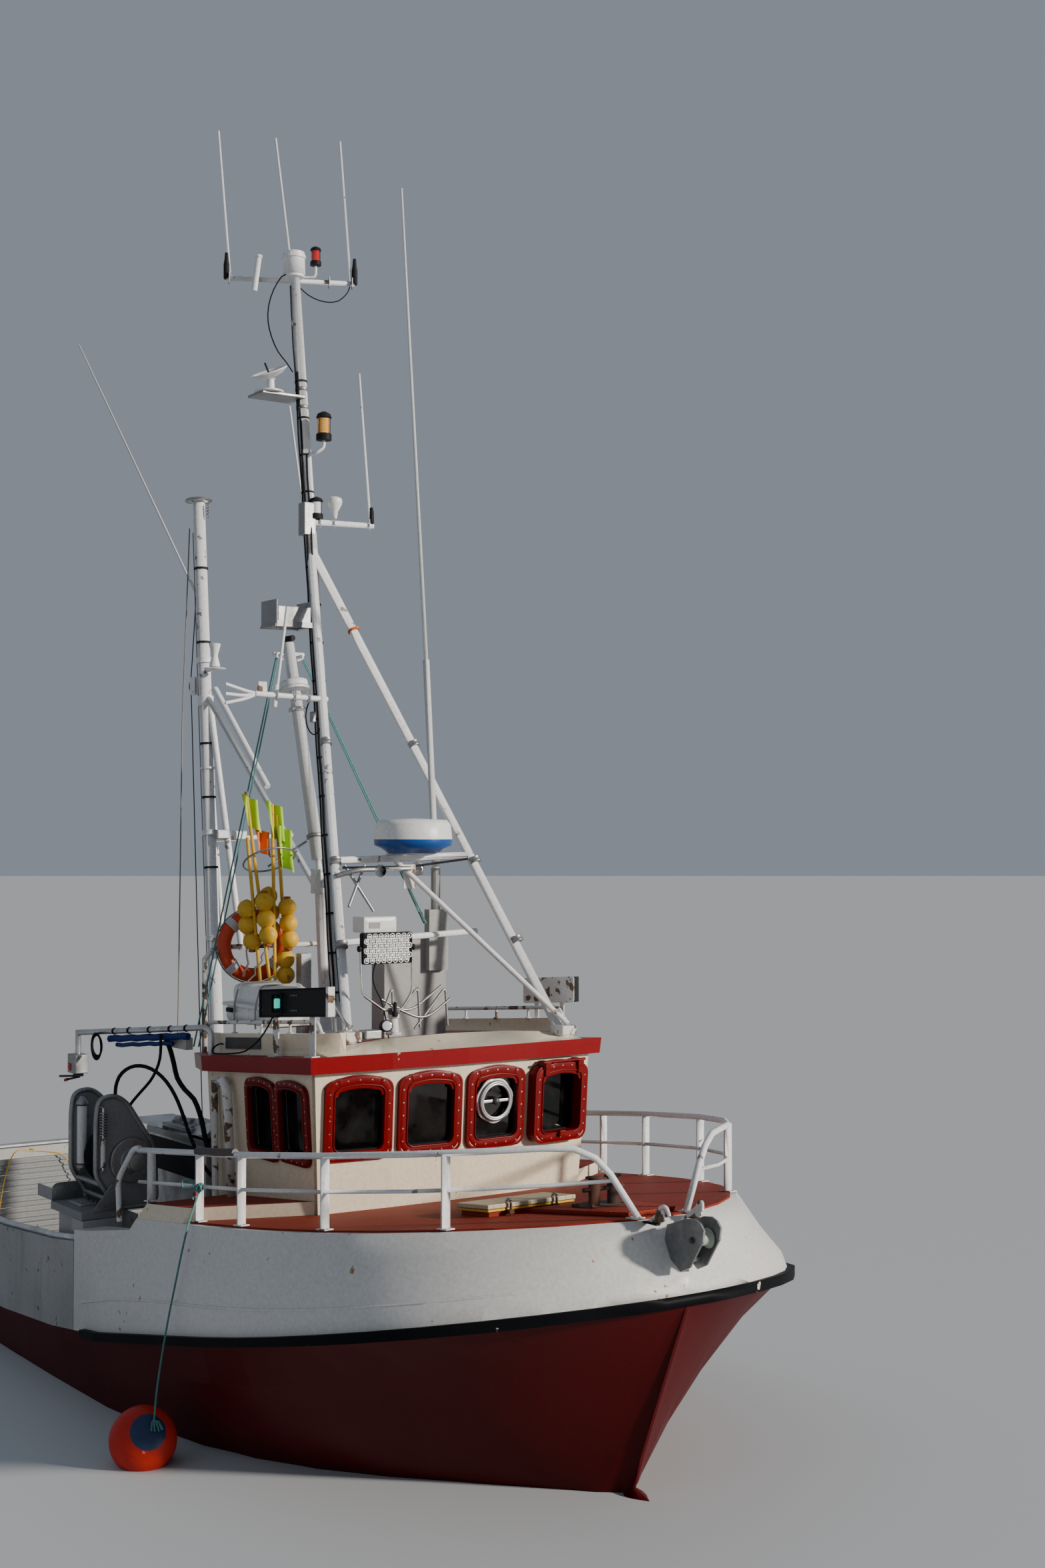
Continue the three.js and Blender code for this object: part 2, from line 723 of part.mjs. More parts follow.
function makeRoof() {
  const visor = loft([roofRing(62, 62, 0, 0), roofRing(72, 72, 120, 0)], 0, 1);
  const crown = loft([roofRing(-80, 40, 119, 0), roofRing(-88, -260, 165, 60)], 0, 1);
  const coamings = [-1, 1].map((side) => {
    const ring = (z) => [
      [640, side * 1045],
      [1000, side * 1130],
      [2560, side * 1130],
      [2700, side * 1010],
      [2700, side * 960],
      [2540, side * 1085],
      [1010, side * 1085],
      [660, side * 1000],
    ].map(([x, y]) => [x, y, houseTopZ(x) + z]);
    return loft([ring(119), ring(285)], 0, 1);
  });
  const legRoom = block(2470, 2800, 940, 1300, 2700, 3000);
  return join(visor, crown, coamings[0], coamings[1].subtract(legRoom));
}

function makeDoor() {
  const panel = block(HOUSE_AFT_X - 44, HOUSE_AFT_X - 6, DOOR_Y[0] - 22, DOOR_Y[1] + 22, DOOR_Z[0] + 6, DOOR_Z[1] - 6);
  const light = block(800, 1100, -640, -260, 1620, 2180);
  const handle = rod([HOUSE_AFT_X - 80, -700, 1380], [HOUSE_AFT_X - 80, -700, 1560], 11);
  const stubs = [1400, 1540].map((z) => rod([HOUSE_AFT_X - 80, -700, z], [HOUSE_AFT_X - 20, -700, z], 9));
  const knuckles = HINGE_HEIGHTS.map((z) => rod([HINGE_X, HINGE_Y, z], [HINGE_X, HINGE_Y, z + 90], 12, 16));
  return join(panel.subtract(light), handle, ...stubs, ...knuckles);
}

function makeSole() {
  return block(HOUSE_AFT_X + WALL + 2, 2674, -1014, 1014, SOLE_Z + GAP, SOLE_Z + 40);
}

function makeHelm() {
  const console = block(2080, 2560, -900, 900, SOLE_Z + 40 + GAP, 1560);
  const top = loft(
    [-900, 900].map((y) => [
      [2040, y, 1540],
      [2560, y, 1540],
      [2560, y, 1700],
      [2140, y, 1640],
    ]),
    2,
    0
  );
  const wheel = rod([2030, -350, 1380], [2082, -350, 1380], 190, 20);
  const wheelHole = rod([2000, -350, 1380], [2070, -350, 1380], 160, 20);
  const hub = rod([2030, -350, 1380], [2085, -350, 1380], 36, 12);
  const spoke = block(2034, 2052, -520, -180, 1366, 1394);
  return join(console, top, join(wheel.subtract(wheelHole), hub, spoke));
}

function makeSeat() {
  const post = rod([1620, -350, SOLE_Z + 40 + GAP], [1620, -350, 1120], 60, 12);
  const foot = rod([1620, -350, SOLE_Z + 40 + GAP], [1620, -350, SOLE_Z + 60], 200, 16);
  const cushion = block(1400, 1840, -580, -120, 1100, 1210);
  const back = block(1370, 1460, -570, -130, 1180, 1780);
  return join(foot, post, cushion, back);
}

function makeEngine() {
  return join(
    block(1400, 2400, -330, 330, -759.7, 140),
    block(1260, 1420, -240, 240, -600, -120)
  );
}

const HATCH = { x: 3915, y: -298, long: 740, wide: 400 };

function hatchBase() {
  return deckZ(HATCH.x) + 14;
}

// The way down through the foredeck, inside the coaming
function hatchTrunk() {
  const wide = HATCH.wide / 2 - 75;
  const long = HATCH.long / 2 - 75;
  return block(HATCH.x - wide, HATCH.x + wide, HATCH.y - long, HATCH.y + long, 1150, 2200);
}

function makeHatchCoaming() {
  const z = hatchBase();
  const ring = (long, wide, up) => [
    [-wide / 2, -long / 2],
    [wide / 2, -long / 2],
    [wide / 2, long / 2],
    [-wide / 2, long / 2],
  ].map(([x, y]) => [HATCH.x + x, HATCH.y + y, z + DECK_SLOPE * x + up]);
  const out = loft([ring(HATCH.long - 60, HATCH.wide - 60, GAP), ring(HATCH.long - 60, HATCH.wide - 60, 46)], 0, 1);
  const hole = loft([ring(HATCH.long - 140, HATCH.wide - 140, -50), ring(HATCH.long - 140, HATCH.wide - 140, 90)], 0, 1);
  return out.subtract(hole);
}

function makeHatchLid() {
  const z = hatchBase();
  const ring = (up) => [
    [-HATCH.wide / 2, -HATCH.long / 2],
    [HATCH.wide / 2, -HATCH.long / 2],
    [HATCH.wide / 2, HATCH.long / 2],
    [-HATCH.wide / 2, HATCH.long / 2],
  ].map(([x, y]) => [HATCH.x + x, HATCH.y + y, z + DECK_SLOPE * x + up]);
  return loft([ring(46.4), ring(72)], 0, 1);
}

function makeBitts() {
  const z = deckZ(BITTS_X) + DECK_PLATE;
  const base = block(BITTS_X - 110, BITTS_X + 110, -185, 185, z - 30, z + 46);
  const posts = [-78, 78].map((y) => rod([BITTS_X, y, z - 30], [BITTS_X, y, z + 225], 40, 12));
  const bar = rod([BITTS_X, -170, z + 150], [BITTS_X, 170, z + 150], 16);
  return standOnForedeck(join(base, ...posts, bar));
}

const BITTS_X = 4525;
const ROLLER = { x: 5555, z: 1796, half: 62, r: 66 };

function makeRollerCheeks() {
  const outline = [
    [5300, 1856],
    [5349, 1872],
    [5500, 1924],
    [5578, 1933],
    [5632, 1914],
    [5668, 1875],
    [5655, 1800],
    [5528, 1617],
    [5438, 1577],
    [5340, 1640],
    [5280, 1760],
  ];
  const cheek = (y) => loft([y, y + 14].map((yy) => outline.map(([x, z]) => [x, yy, z])), 2, 0);
  const pin = rod([ROLLER.x, -ROLLER.half - 12, ROLLER.z], [ROLLER.x, ROLLER.half + 12, ROLLER.z], 16, 12);
  const floor = block(5320, 5480, -ROLLER.half - 10, ROLLER.half + 10, 1640, 1664);
  const bow = shifted(makeForecastle(), 0.5, 0, 0.5);
  return join(cheek(-ROLLER.half - 14), cheek(ROLLER.half), pin, floor).subtract(bow);
}

function makeRoller() {
  const profile = [
    [17, -54],
    [ROLLER.r, -54],
    [ROLLER.r - 22, -20],
    [ROLLER.r - 22, 20],
    [ROLLER.r, 54],
    [17, 54],
    [17, -54],
  ].map(([r, y]) => new THREE.Vector2(r, y));
  const geometry = new THREE.LatheGeometry(profile, 20);
  geometry.translate(ROLLER.x, 0, ROLLER.z);
  return toSolid(geometry);
}

const RAIL_BEND = [
  [4860, 505],
  [4975, 490],
  [5045, 420],
  [5090, 310],
  [5165, 0],
];
const RAIL_POSTS = [1275, 2100, 2705, 3590, 4415];
const RAIL_UP = 505;

function bowRail(side, grow) {
  const y = (x) => side * (deckHalf(x) - 85);
  const line = (up, xs) => xs.map((x) => [x, y(x), deckZ(x) + up]);
  const bend = RAIL_BEND.map(([x, up]) => [x, y(x), deckZ(x) + up]);
  const top = tube([...line(RAIL_UP, [1040, 2705, 3590, 4200, 4600]), ...bend], 23 + grow);
  const inner = line(265, [1050, 2705, 3590, 4200, 4600, 4900]);
  const middle = tube([...inner, [5100, y(5100), deckZ(5100) + 270]], 14 + grow, 5);
  const posts = RAIL_POSTS.map((x) => {
    const thick = 8 + grow;
    const half = 31 + grow;
    return block(x - thick, x + thick, y(x) - half, y(x) + half, deckZ(x) - 20, deckZ(x) + RAIL_UP - 6);
  });
  return join(top, middle, ...posts);
}

function makeBowRail(side) {
  const sideDeck = slab([1000, 1960], () => 3000, () => 0, (x) => deckZ(x) + SIDE_DECK_STEP + GAP);
  return standOnForedeck(bowRail(side, 0)).subtract(sideDeck);
}

function standOnRoof(body) {
  return body.subtract(shifted(makeRoof(), 0, 0, GAP));
}

function lerp(a, b, t) {
  return a.map((v, i) => v + (b[i] - v) * t);
}

function roofTopZ(x, y) {
  return houseTopZ(x) + 165 + 60 * (1 - Math.pow(y / 1300, 2));
}


function makeMainMast() {
  const foot = [MAST_FOOT[0], 0, roofTopZ(MAST_FOOT[0], 0) - 30];
  const apex = lerp(MAST_FOOT, MAST_HEAD, APEX_SHARE);
  const lower = rod(foot, apex, 58, 12, 56);
  const upper = rod(apex, MAST_HEAD, 56, 12, 44);
  const plate = rod(foot, [foot[0], 0, foot[2] + 46], 130, 16);
  const legFeet = LEG_FEET.map(([x, y]) => [x, y, roofTopZ(x, y) - 50]);
  const legs = legFeet.flatMap(([x, y, z]) => [rod([x, y, z], apex, 38, 10), rod([x, y, z], [x, y, z + 66], 75, 12)]);
  const head = rod(lerp(MAST_FOOT, MAST_HEAD, 0.985), [MAST_HEAD[0], 0, MAST_HEAD[2] + 90], 95, 14);
  const bar = rod(MASTHEAD_BAR.starboard, MASTHEAD_BAR.port, 22);
  const barArm = rod([MAST_HEAD[0], 0, 9190], [-54, 0, 9190], 30);
  const yard = rod(YARD.starboard, YARD.port, 24);
  const whips = WHIPS.map(({ foot: start, tip }) => rod(start, tip, 11, 6));
  const [starboard, port] = legFeet;
  const crossbar = rod(lerp(starboard, apex, 0.345), lerp(port, apex, 0.355), 28);
  const lowBar = rod(lerp(starboard, apex, 0.19), [1900, 700, 3580], 24);
  const shelf = block(1720, 2010, -40, 270, 4186, RADAR.z);
  const body = join(plate, lower, upper, ...legs, head, bar, barArm, yard, ...whips, crossbar, lowBar, shelf);
  return standOnRoof(body);
}

// The post on the roof that carries the boom's gooseneck
function makeBoomPost() {
  const [x, , z] = BOOM_FOOT;
  const footX = 690;
  const base = [footX, 0, roofTopZ(footX, 0) - 30];
  const post = rod(base, [x + 8, 0, z - 110], 50, 12);
  const plate = rod(base, [footX, 0, base[2] + 44], 95, 14);
  const cheeks = [-58, 36].map((y) => block(x - 60, x + 70, y, y + 22, z - 150, z + 55));
  const bridge = block(x - 60, x + 70, -50, 50, z - 150, z - 105);
  const backstay = rod([x - 40, 0, z - 128], lerp(AFT_MAST_FOOT, AFT_MAST_HEAD, 0.745), 26);
  const shaft = rod(lerp(AFT_MAST_FOOT, AFT_MAST_HEAD, 0.6), lerp(AFT_MAST_FOOT, AFT_MAST_HEAD, 0.9), 62, 10);
  return standOnRoof(join(plate, post, ...cheeks, bridge, backstay.subtract(shaft)));
}


function makeBoom() {
  const neck = rod(BOOM_FOOT, lerp(BOOM_FOOT, BOOM_HEAD, 0.08), 25, 8);
  const spar = rod(lerp(BOOM_FOOT, BOOM_HEAD, 0.07), BOOM_HEAD, 56, 12, 50);
  const eye = rod([BOOM_FOOT[0], -35.6, BOOM_FOOT[2]], [BOOM_FOOT[0], 35.6, BOOM_FOOT[2]], 44, 12);
  const collar = rod(lerp(BOOM_FOOT, BOOM_HEAD, 0.8), lerp(BOOM_FOOT, BOOM_HEAD, 0.83), 120, 16);
  const head = rod([BOOM_HEAD[0], -150, BOOM_HEAD[2] - 90], [BOOM_HEAD[0], 150, BOOM_HEAD[2] - 90], 18);
  return join(neck, spar, eye, collar, head);
}

function makeAftMast() {
  const z = seamZ(AFT_MAST_FOOT[0]);
  const plate = rod([AFT_MAST_FOOT[0], 0, z], [AFT_MAST_FOOT[0], 0, z + 48], 150, 12);
  const shaft = rod([AFT_MAST_FOOT[0], 0, z], AFT_MAST_HEAD, 62, 10, 56);
  const cap = rod(AFT_MAST_HEAD, lerp(AFT_MAST_FOOT, AFT_MAST_HEAD, 1.003), 96, 14);
  const whip = rod(lerp(AFT_MAST_FOOT, AFT_MAST_HEAD, 0.86), [-3700, -420, 9300], 14, 6, 8);
  const lampBar = rod(lerp(AFT_MAST_FOOT, AFT_MAST_HEAD, 0.553), [-1330, 760, 4350], 20);
  return standOnWorkingDeck(join(plate, shaft, cap, whip, lampBar));
}


// Casing on the roof with a galvanised trunk, whose top carries the tall whip
function makeTrunk() {
  const casing = block(1400, 1600, 20, 600, 2700, 3530);
  const trunk = block(1590, 1665, 402, 582, 3260, 3750);
  const pipe = rod([WHIP.x, WHIP.y, 3700], [WHIP.x, WHIP.y, WHIP.z], 38, 12);
  return standOnRoof(join(casing, trunk, pipe));
}

function makeRadarDome() {
  const profile = [
    [0, 0],
    [200, 0],
    [255, 40],
    [308, 62],
    [312, 110],
    [298, 225],
    [270, 262],
    [0, 275],
  ].map(([r, y]) => new THREE.Vector2(r, y));
  const geometry = new THREE.LatheGeometry(profile, 28);
  geometry.rotateX(Math.PI / 2);
  geometry.translate(RADAR.x, RADAR.y, RADAR.z + GAP);
  return toSolid(geometry);
}

function makeTallWhip() {
  const foot = [WHIP.x, WHIP.y, WHIP.z + 1.5];
  const collar = [1560, 432, 5780];
  return join(rod(foot, collar, 27, 10), rod(collar, [1400, 290, 9670], 18, 8, 8), rod([WHIP.x, WHIP.y, WHIP.z + GAP], [WHIP.x, WHIP.y, 4190], 34, 12));
}

// Lamp with its back and front flat, in a bent strap that stands on a stub post
function makeFloodlight() {
  const [x, y, z] = FLOODLIGHT;
  const box = block(x - 40, x + 40, y - 218, y + 218, z - 118, z + 118);
  const strap = [
    [x, y - 226, z],
    [x, y - 214, z - 336],
    [x, y - 10, z - 474],
    [x, y + 130, z - 474],
    [x, y + 230, z - 336],
    [x, y + 226, z],
  ];
  const post = rod([x, y + 64, 2700], [x, y + 64, z - 468], 32, 12, 26);
  return standOnRoof(join(box, tube(strap, 11, 6), post));
}

function makeRoofPost() {
  return standOnRoof(block(855, 945, -375, -285, 2600, 3385));
}

// A sidelight's board, on two legs that stand on the visor outside the coaming
function makeNavScreen(side, x0, x1) {
  const y = side * 1200;
  const foot = (x) => houseTopZ(x) + 120;
  const board = (x) => [
    [x, y - 20, foot(x) + 285],
    [x, y + 20, foot(x) + 285],
    [x, y + 20, foot(x) + 505],
    [x, y - 20, foot(x) + 505],
  ];
  const lampX = x0 + 0.2 * (x1 - x0);
  const lamp = rod([lampX, side * 1245, foot(lampX) + 320], [lampX, side * 1245, foot(lampX) + 440], 40, 12);
  const shelf = block(lampX - 60, lampX + 60, y - 60, y + 60, foot(lampX) + 300, foot(lampX) + 322);
  const legs = [0.24, 0.77].map((share) => {
    const x = x0 + share * (x1 - x0);
    return block(x - 26, x + 26, y - 12, y + 12, foot(x) - 60, foot(x) + 300);
  });
  return standOnRoof(join(loft([board(x0), board(x1)], 1, 2), lamp, shelf, ...legs));
}

function makeLifeRaft() {
  const outline = [
    [-150, 2860],
    [150, 2860],
    [225, 2960],
    [225, 3080],
    [140, 3190],
    [-140, 3190],
    [-225, 3080],
    [-225, 2960],
  ];
  const ring = (x, share) => outline.map(([y, z]) => [x, -840 + y * share, 3020 + (z - 3020) * share]);
  const drum = loft([ring(880, 0.72), ring(960, 1), ring(1640, 1), ring(1720, 0.72)], 1, 2);
  const cradle = [1040, 1540].map((x) => block(x - 20, x + 20, -1000, -680, 2600, 2900));
  return standOnRoof(join(drum, ...cradle));
}

// Pipes up the starboard side of the wheelhouse, from the raised side deck to under the visor
function makeExhaust() {
  const y = -1262;
  return standOnSideDeck(tube([[1490, y, 1500], [1420, y - 16, 2380], [1370, y - 17, 2458], [1290, y - 14, 2440]], 37, 10));
}

function makeVentPipe() {
  return standOnWorkingDeck(tube([[1160, -1236, seamZ(1160)], [1140, -1246, 2440]], 26, 8));
}

const HAULER = { x: 150, y: -1635, z: 1760, plates: [-100, 412] };
const GUIDE = { x: -45, y: -1850, low: 1690, high: 2160 };

// y, z round one side plate of the hauler
const HAULER_PLATE = [
  [-1920, 1660],
  [-1865, 1570],
  [-1800, 1480],
  [-1790, 1385],
  [-1400, 1385],
  [-1420, 1840],
  [-1640, 2200],
  [-1690, 2250],
  [-1760, 2280],
  [-1830, 2268],
  [-1893, 2215],
  [-1920, 2130],
];

function haulerPlate(x, thick, share) {
  const ring = (at) => HAULER_PLATE.map(([y, z]) => [at, -1690 + (y + 1690) * share, 1850 + (z - 1850) * share]);
  return loft([ring(x), ring(x + thick)], 1, 2);
}

function makeHauler() {
  const plates = HAULER.plates.flatMap((x) => {
    const rim = haulerPlate(x - 16, 44, 1).subtract(haulerPlate(x - 20, 52, 0.94));
    return [haulerPlate(x, 12, 0.99), rim];
  });
  const tray = block(-190, 455, -2055, -1700, 1325, 1395);
  const post = block(-150, 420, -2000, -1560, seamZ(240), 1330);
  const sills = [
    block(-90, 420, -1880, -1850, 1560, 1600),
    block(-90, 420, -1815, -1790, 1440, 1480),
  ];
  const bearings = [
    [GUIDE.low - 30, GUIDE.low - GAP],
    [GUIDE.high + GAP, GUIDE.high + 30],
  ].map(([z0, z1]) => block(-95, GUIDE.x + 30, GUIDE.y - 30, GUIDE.y + 30, z0, z1));
  const guidePin = rod([GUIDE.x, GUIDE.y, GUIDE.low - 20], [GUIDE.x, GUIDE.y, GUIDE.high + 20], 11, 12);
  const guideFore = rod([400, -1862, 1700], [400, -1862, 2190], 18, 10);
  const axle = rod([-95, HAULER.y, HAULER.z], [415, HAULER.y, HAULER.z], 20.5, 16);
  const boss = rod([415, HAULER.y, HAULER.z], [462, HAULER.y, HAULER.z], 175, 20);
  const motor = rod([415, HAULER.y, HAULER.z], [600, HAULER.y, HAULER.z], 78, 16);
  const body = join(...plates, tray, post, ...sills, ...bearings, guidePin, guideFore, axle, boss, motor);
  return standOnWorkingDeck(body);
}

function makeGuideRoller() {
  const drum = rod([GUIDE.x, GUIDE.y, GUIDE.low], [GUIDE.x, GUIDE.y, GUIDE.high], 34, 16);
  return drum.subtract(rod([GUIDE.x, GUIDE.y, GUIDE.low - 5], [GUIDE.x, GUIDE.y, GUIDE.high + 5], 12, 12));
}

function makeHaulerSheave() {
  const profile = [
    [21.5, -110],
    [232, -110],
    [236, -96],
    [150, -22],
    [150, 22],
    [236, 96],
    [232, 110],
    [21.5, 110],
    [21.5, -110],
  ].map(([r, y]) => new THREE.Vector2(r, y));
  const geometry = new THREE.LatheGeometry(profile, 28);
  geometry.rotateZ(-Math.PI / 2);
  geometry.translate(HAULER.x, HAULER.y, HAULER.z);
  return toSolid(geometry);
}

function makeHaulingBin() {
  const ring = (x) => {
    const top = 1950 + 0.11 * x;
    return [
      [x, -1200, 300],
      [x, -820, 300],
      [x, -820, top],
      [x, -1120, top],
      [x, -1200, top - 70],
    ];
  };
  return standOnWorkingDeck(loft([ring(-200), ring(900)], 1, 2));
}

// Rail across the aft end of the roof
function aftRail(radius) {
  const up = (y) => [[345, y, 2500], [345, y, 3330], [345, y * 0.91, 3425]];
  return tube([...up(-950), ...up(950).reverse()], radius);
}

function makeAftRail() {
  return standOnRoof(aftRail(22));
}

function makeLifebuoy() {
  const geometry = new THREE.TorusGeometry(242, 66, 12, 28);
  geometry.rotateY(Math.PI / 2);
  geometry.rotateZ(-0.25);
  geometry.translate(489, -580, 3440);
  return toSolid(geometry).subtract(aftRail(22 + GAP));
}

// Marker poles threaded through net floats, standing on the roof
function makeDanBuoys() {
  const poles = [
    [700, -618, 4700],
    [735, -505, 4780],
    [700, -392, 4740],
  ];
  const bodies = poles.flatMap(([x, y, top]) => {
    const profile = [[0, 3180]];
    for (let i = 0; i < 5; i++) {
      const z = 3180 + i * 112;
      profile.push([52, z + 14], [76, z + 56], [52, z + 98]);
    }
    profile.push([0, 3740]);
    const geometry = new THREE.LatheGeometry(profile.map(([r, z]) => new THREE.Vector2(r, z)), 10);
    geometry.rotateX(Math.PI / 2);
    geometry.translate(x, y, 0);
    return [rod([x, y, 2500], [x, y, top], 14, 6), toSolid(geometry)];
  });
  return standOnRoof(join(...bodies));
}

// Hose from the hauler's forward plate, over its top and down to the wheelhouse side
function makeHaulerHose() {
  const route = [
    [408, -1757, 2281],
    [412, -1755, 2350],
    [446, -1742, 2430],
    [514, -1715, 2492],
    [604, -1676, 2528],
    [700, -1628, 2528],
    [790, -1575, 2490],
    [862, -1524, 2418],
    [910, -1476, 2318],
    [934, -1432, 2200],
    [948, -1390, 2070],
    [962, -1345, 1940],
    [976, -1296, 1820],
    [990, -1240, 1722],
    [1004, -1190, 1666],
  ];
  const wall = slab([900, 1300], () => HOUSE_HALF + 14, () => 0, () => 4000);
  return tube(route, 15, 8).subtract(wall);
}

function makeFender() {
  const geometry = new THREE.SphereGeometry(1, 18, 12);
  geometry.scale(235, 235, 285);
  geometry.translate(2410, -2402, 165);
  const line = tube([[2410, -2402, 380], [2215, -1965, 1560], [2150, -1814, 1816]], 9, 6);
  return join(toSolid(geometry), line).subtract(bowRail(-1, GAP));
}

function makeControlArm() {
  return standOnRoof(join(
    tube([[1010, -1212, 2560], [1010, -1212, 2800], [960, -1240, 2835], [-620, -1650, 2690], [-620, -1650, 2500]], 24),
    block(-705, -545, -1710, -1590, 2350, 2512)
  ));
}

function makeRudder() {
  const blade = loft(
    [26, -26].map((y) => [
      [RUDDER_X - 420, y, KEEL_Z + 150],
      [RUDDER_X + 110, y, KEEL_Z + 150],
      [RUDDER_X + 110, y, -420],
      [RUDDER_X - 380, y, -420],
    ]),
    2,
    0
  );
  const stock = rod([RUDDER_X, 0, KEEL_Z + 50], [RUDDER_X, 0, 130], 22, 14);
  return join(blade, stock);
}

function makePropeller() {
  const hub = rod([PROPELLER_X - 90, 0, SHAFT_Z], [PROPELLER_X + 90, 0, SHAFT_Z], 72, 16);
  const shaft = rod([PROPELLER_X, 0, SHAFT_Z], [-3720, 0, SHAFT_Z], 28, 14);
  const blades = [0, 1, 2, 3].map((i) => {
    const shape = new THREE.Shape();
    shape.moveTo(-50, 50);
    shape.quadraticCurveTo(-190, 220, -110, PROPELLER_R - 30);
    shape.quadraticCurveTo(0, PROPELLER_R + 20, 110, PROPELLER_R - 40);
    shape.quadraticCurveTo(170, 200, 50, 50);
    const geometry = new THREE.ExtrudeGeometry(shape, { depth: 16, bevelEnabled: false, curveSegments: 5 });
    geometry.translate(0, 0, -8);
    geometry.rotateY(Math.PI / 2 - 0.5);
    geometry.rotateX(Math.PI / 2 + (i * Math.PI) / 2);
    geometry.translate(PROPELLER_X, 0, SHAFT_Z);
    return toSolid(geometry);
  });
  return join(hub, shaft, ...blades);
}

const HOLD = { x0: -2600, x1: -1500, half: 560 };

function makeHoldCoaming() {
  const z = seamZ(-2050) + 27;
  const outer = block(HOLD.x0 - 70, HOLD.x1 + 70, -HOLD.half - 70, HOLD.half + 70, z - 40, z + 300);
  const hole = block(HOLD.x0, HOLD.x1, -HOLD.half, HOLD.half, 0, 2000);
  return standOnWorkingDeck(outer.subtract(hole));
}

function makeHoldLid() {
  const z = seamZ(-2050) + 327;
  return block(HOLD.x0 - 85, HOLD.x1 + 85, -HOLD.half - 85, HOLD.half + 85, z + 0.4, z + 60);
}

put("hull", makeHull(), RED, 0.55);
put("forecastle", makeForecastle(), WHITE, 0.5);
put("rub_rail", makeRubRail(), BLACK, 0.8);
put("foredeck", makeForedeck(), DECK_RED, 0.9);
put("side_deck_starboard", makeSideDeck(-1), DECK_RED, 0.9);
put("side_deck_port", makeSideDeck(1), DECK_RED, 0.9);
put("bulwark", makeBulwark(), WHITE, 0.6);
put("bulwark_cap", makeBulwarkCap(), ALUMINIUM, 0.4, 0.8);
put("working_deck", makeWorkingDeck(), ALUMINIUM, 0.5, 0.7);
put("hold_coaming", makeHoldCoaming(), ALUMINIUM, 0.45, 0.8);
put("hold_lid", makeHoldLid(), ALUMINIUM, 0.45, 0.8);
put("front_wall", makeFrontWall(), CREAM, 0.5);
put("starboard_wall", makeSideWall(-1), CREAM, 0.5);
put("port_wall", makeSideWall(1), CREAM, 0.5);
put("aft_wall", makeAftWall(), CREAM, 0.5);
put("roof", makeRoof(), RED, 0.5);
put("wheelhouse_door", makeDoor(), CREAM, 0.5);
[0, 1, 2, 3].forEach((i) => {
  put(`front_glass_${i + 1}`, frontWindow(i, FRAME_W + 0.4, -30, -22), GLASS, 0.08);
});
put("starboard_glass", makeSideGlass(-1), GLASS, 0.08);
put("port_glass", makeSideGlass(1), GLASS, 0.08);
put("sole", makeSole(), STEEL, 0.8);
put("helm_console", makeHelm(), STEEL, 0.6);
put("helm_seat", makeSeat(), BLACK, 0.7);
put("engine", makeEngine(), STEEL, 0.6, 0.3);
put("hatch_coaming", makeHatchCoaming(), CREAM, 0.6);
put("hatch_lid", makeHatchLid(), CREAM, 0.6);
put("bitts", makeBitts(), STEEL, 0.8, 0.4);
put("roller_cheeks", makeRollerCheeks(), STEEL, 0.6, 0.6);
put("bow_roller", makeRoller(), STEEL, 0.5, 0.6);
put("bow_rail_starboard", makeBowRail(-1), WHITE, 0.5);
put("bow_rail_port", makeBowRail(1), WHITE, 0.5);
put("main_mast", makeMainMast(), WHITE, 0.5);
put("boom_post", makeBoomPost(), WHITE, 0.5);
put("boom", makeBoom(), WHITE, 0.5);
put("aft_mast", makeAftMast(), WHITE, 0.5);
put("trunk", makeTrunk(), CREAM, 0.5);
put("radar_dome", makeRadarDome(), BLUE, 0.4);
put("tall_whip", makeTallWhip(), WHITE, 0.5);
put("floodlight", makeFloodlight(), BLACK, 0.5);
put("roof_post", makeRoofPost(), STEEL, 0.5, 0.6);
put("nav_screen_starboard", makeNavScreen(-1, 1830, 2880), BLACK, 0.6);
put("nav_screen_port", makeNavScreen(1, 1900, 2570), BLACK, 0.6);
put("life_raft", makeLifeRaft(), WHITE, 0.4);
put("exhaust_pipe", makeExhaust(), WHITE, 0.6);
put("vent_pipe", makeVentPipe(), WHITE, 0.6);
put("hauler_frame", makeHauler(), ALUMINIUM, 0.5, 0.6);
put("hauler_sheave", makeHaulerSheave(), ALUMINIUM, 0.4, 0.8);
put("guide_roller", makeGuideRoller(), WHITE, 0.5);
put("hauling_bin", makeHaulingBin(), ALUMINIUM, 0.5, 0.6);
put("aft_rail", makeAftRail(), ALUMINIUM, 0.5, 0.7);
put("lifebuoy", makeLifebuoy(), ORANGE, 0.6);
put("dan_buoys", makeDanBuoys(), YELLOW, 0.6);
put("control_arm", makeControlArm(), ALUMINIUM, 0.5, 0.6);
put("hauler_hose", makeHaulerHose(), BLACK, 0.7);
put("fender", makeFender(), ORANGE, 0.5);
put("rudder", makeRudder(), BLACK, 0.7);
put("propeller", makePropeller(), STEEL, 0.3, 0.9);

export default boat;
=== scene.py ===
# %% [markdown]
# # An inshore fishing boat, finished on its CAD frame
# The boat is a small decked fishing boat with its wheelhouse forward, a fat round bow, a tripod of
# masts and a net hauler on the starboard side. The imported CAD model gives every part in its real
# place, in metres: X runs forward, Y to port, Z up, and the water is at Z = 0. This file dresses
# that frame. Plain CAD parts get real finishes, and the fine pieces that a mould or a fitter adds
# later (bolts, frames, cables, lamps, ropes) are modelled here, one short cell at a time.

import json
import math

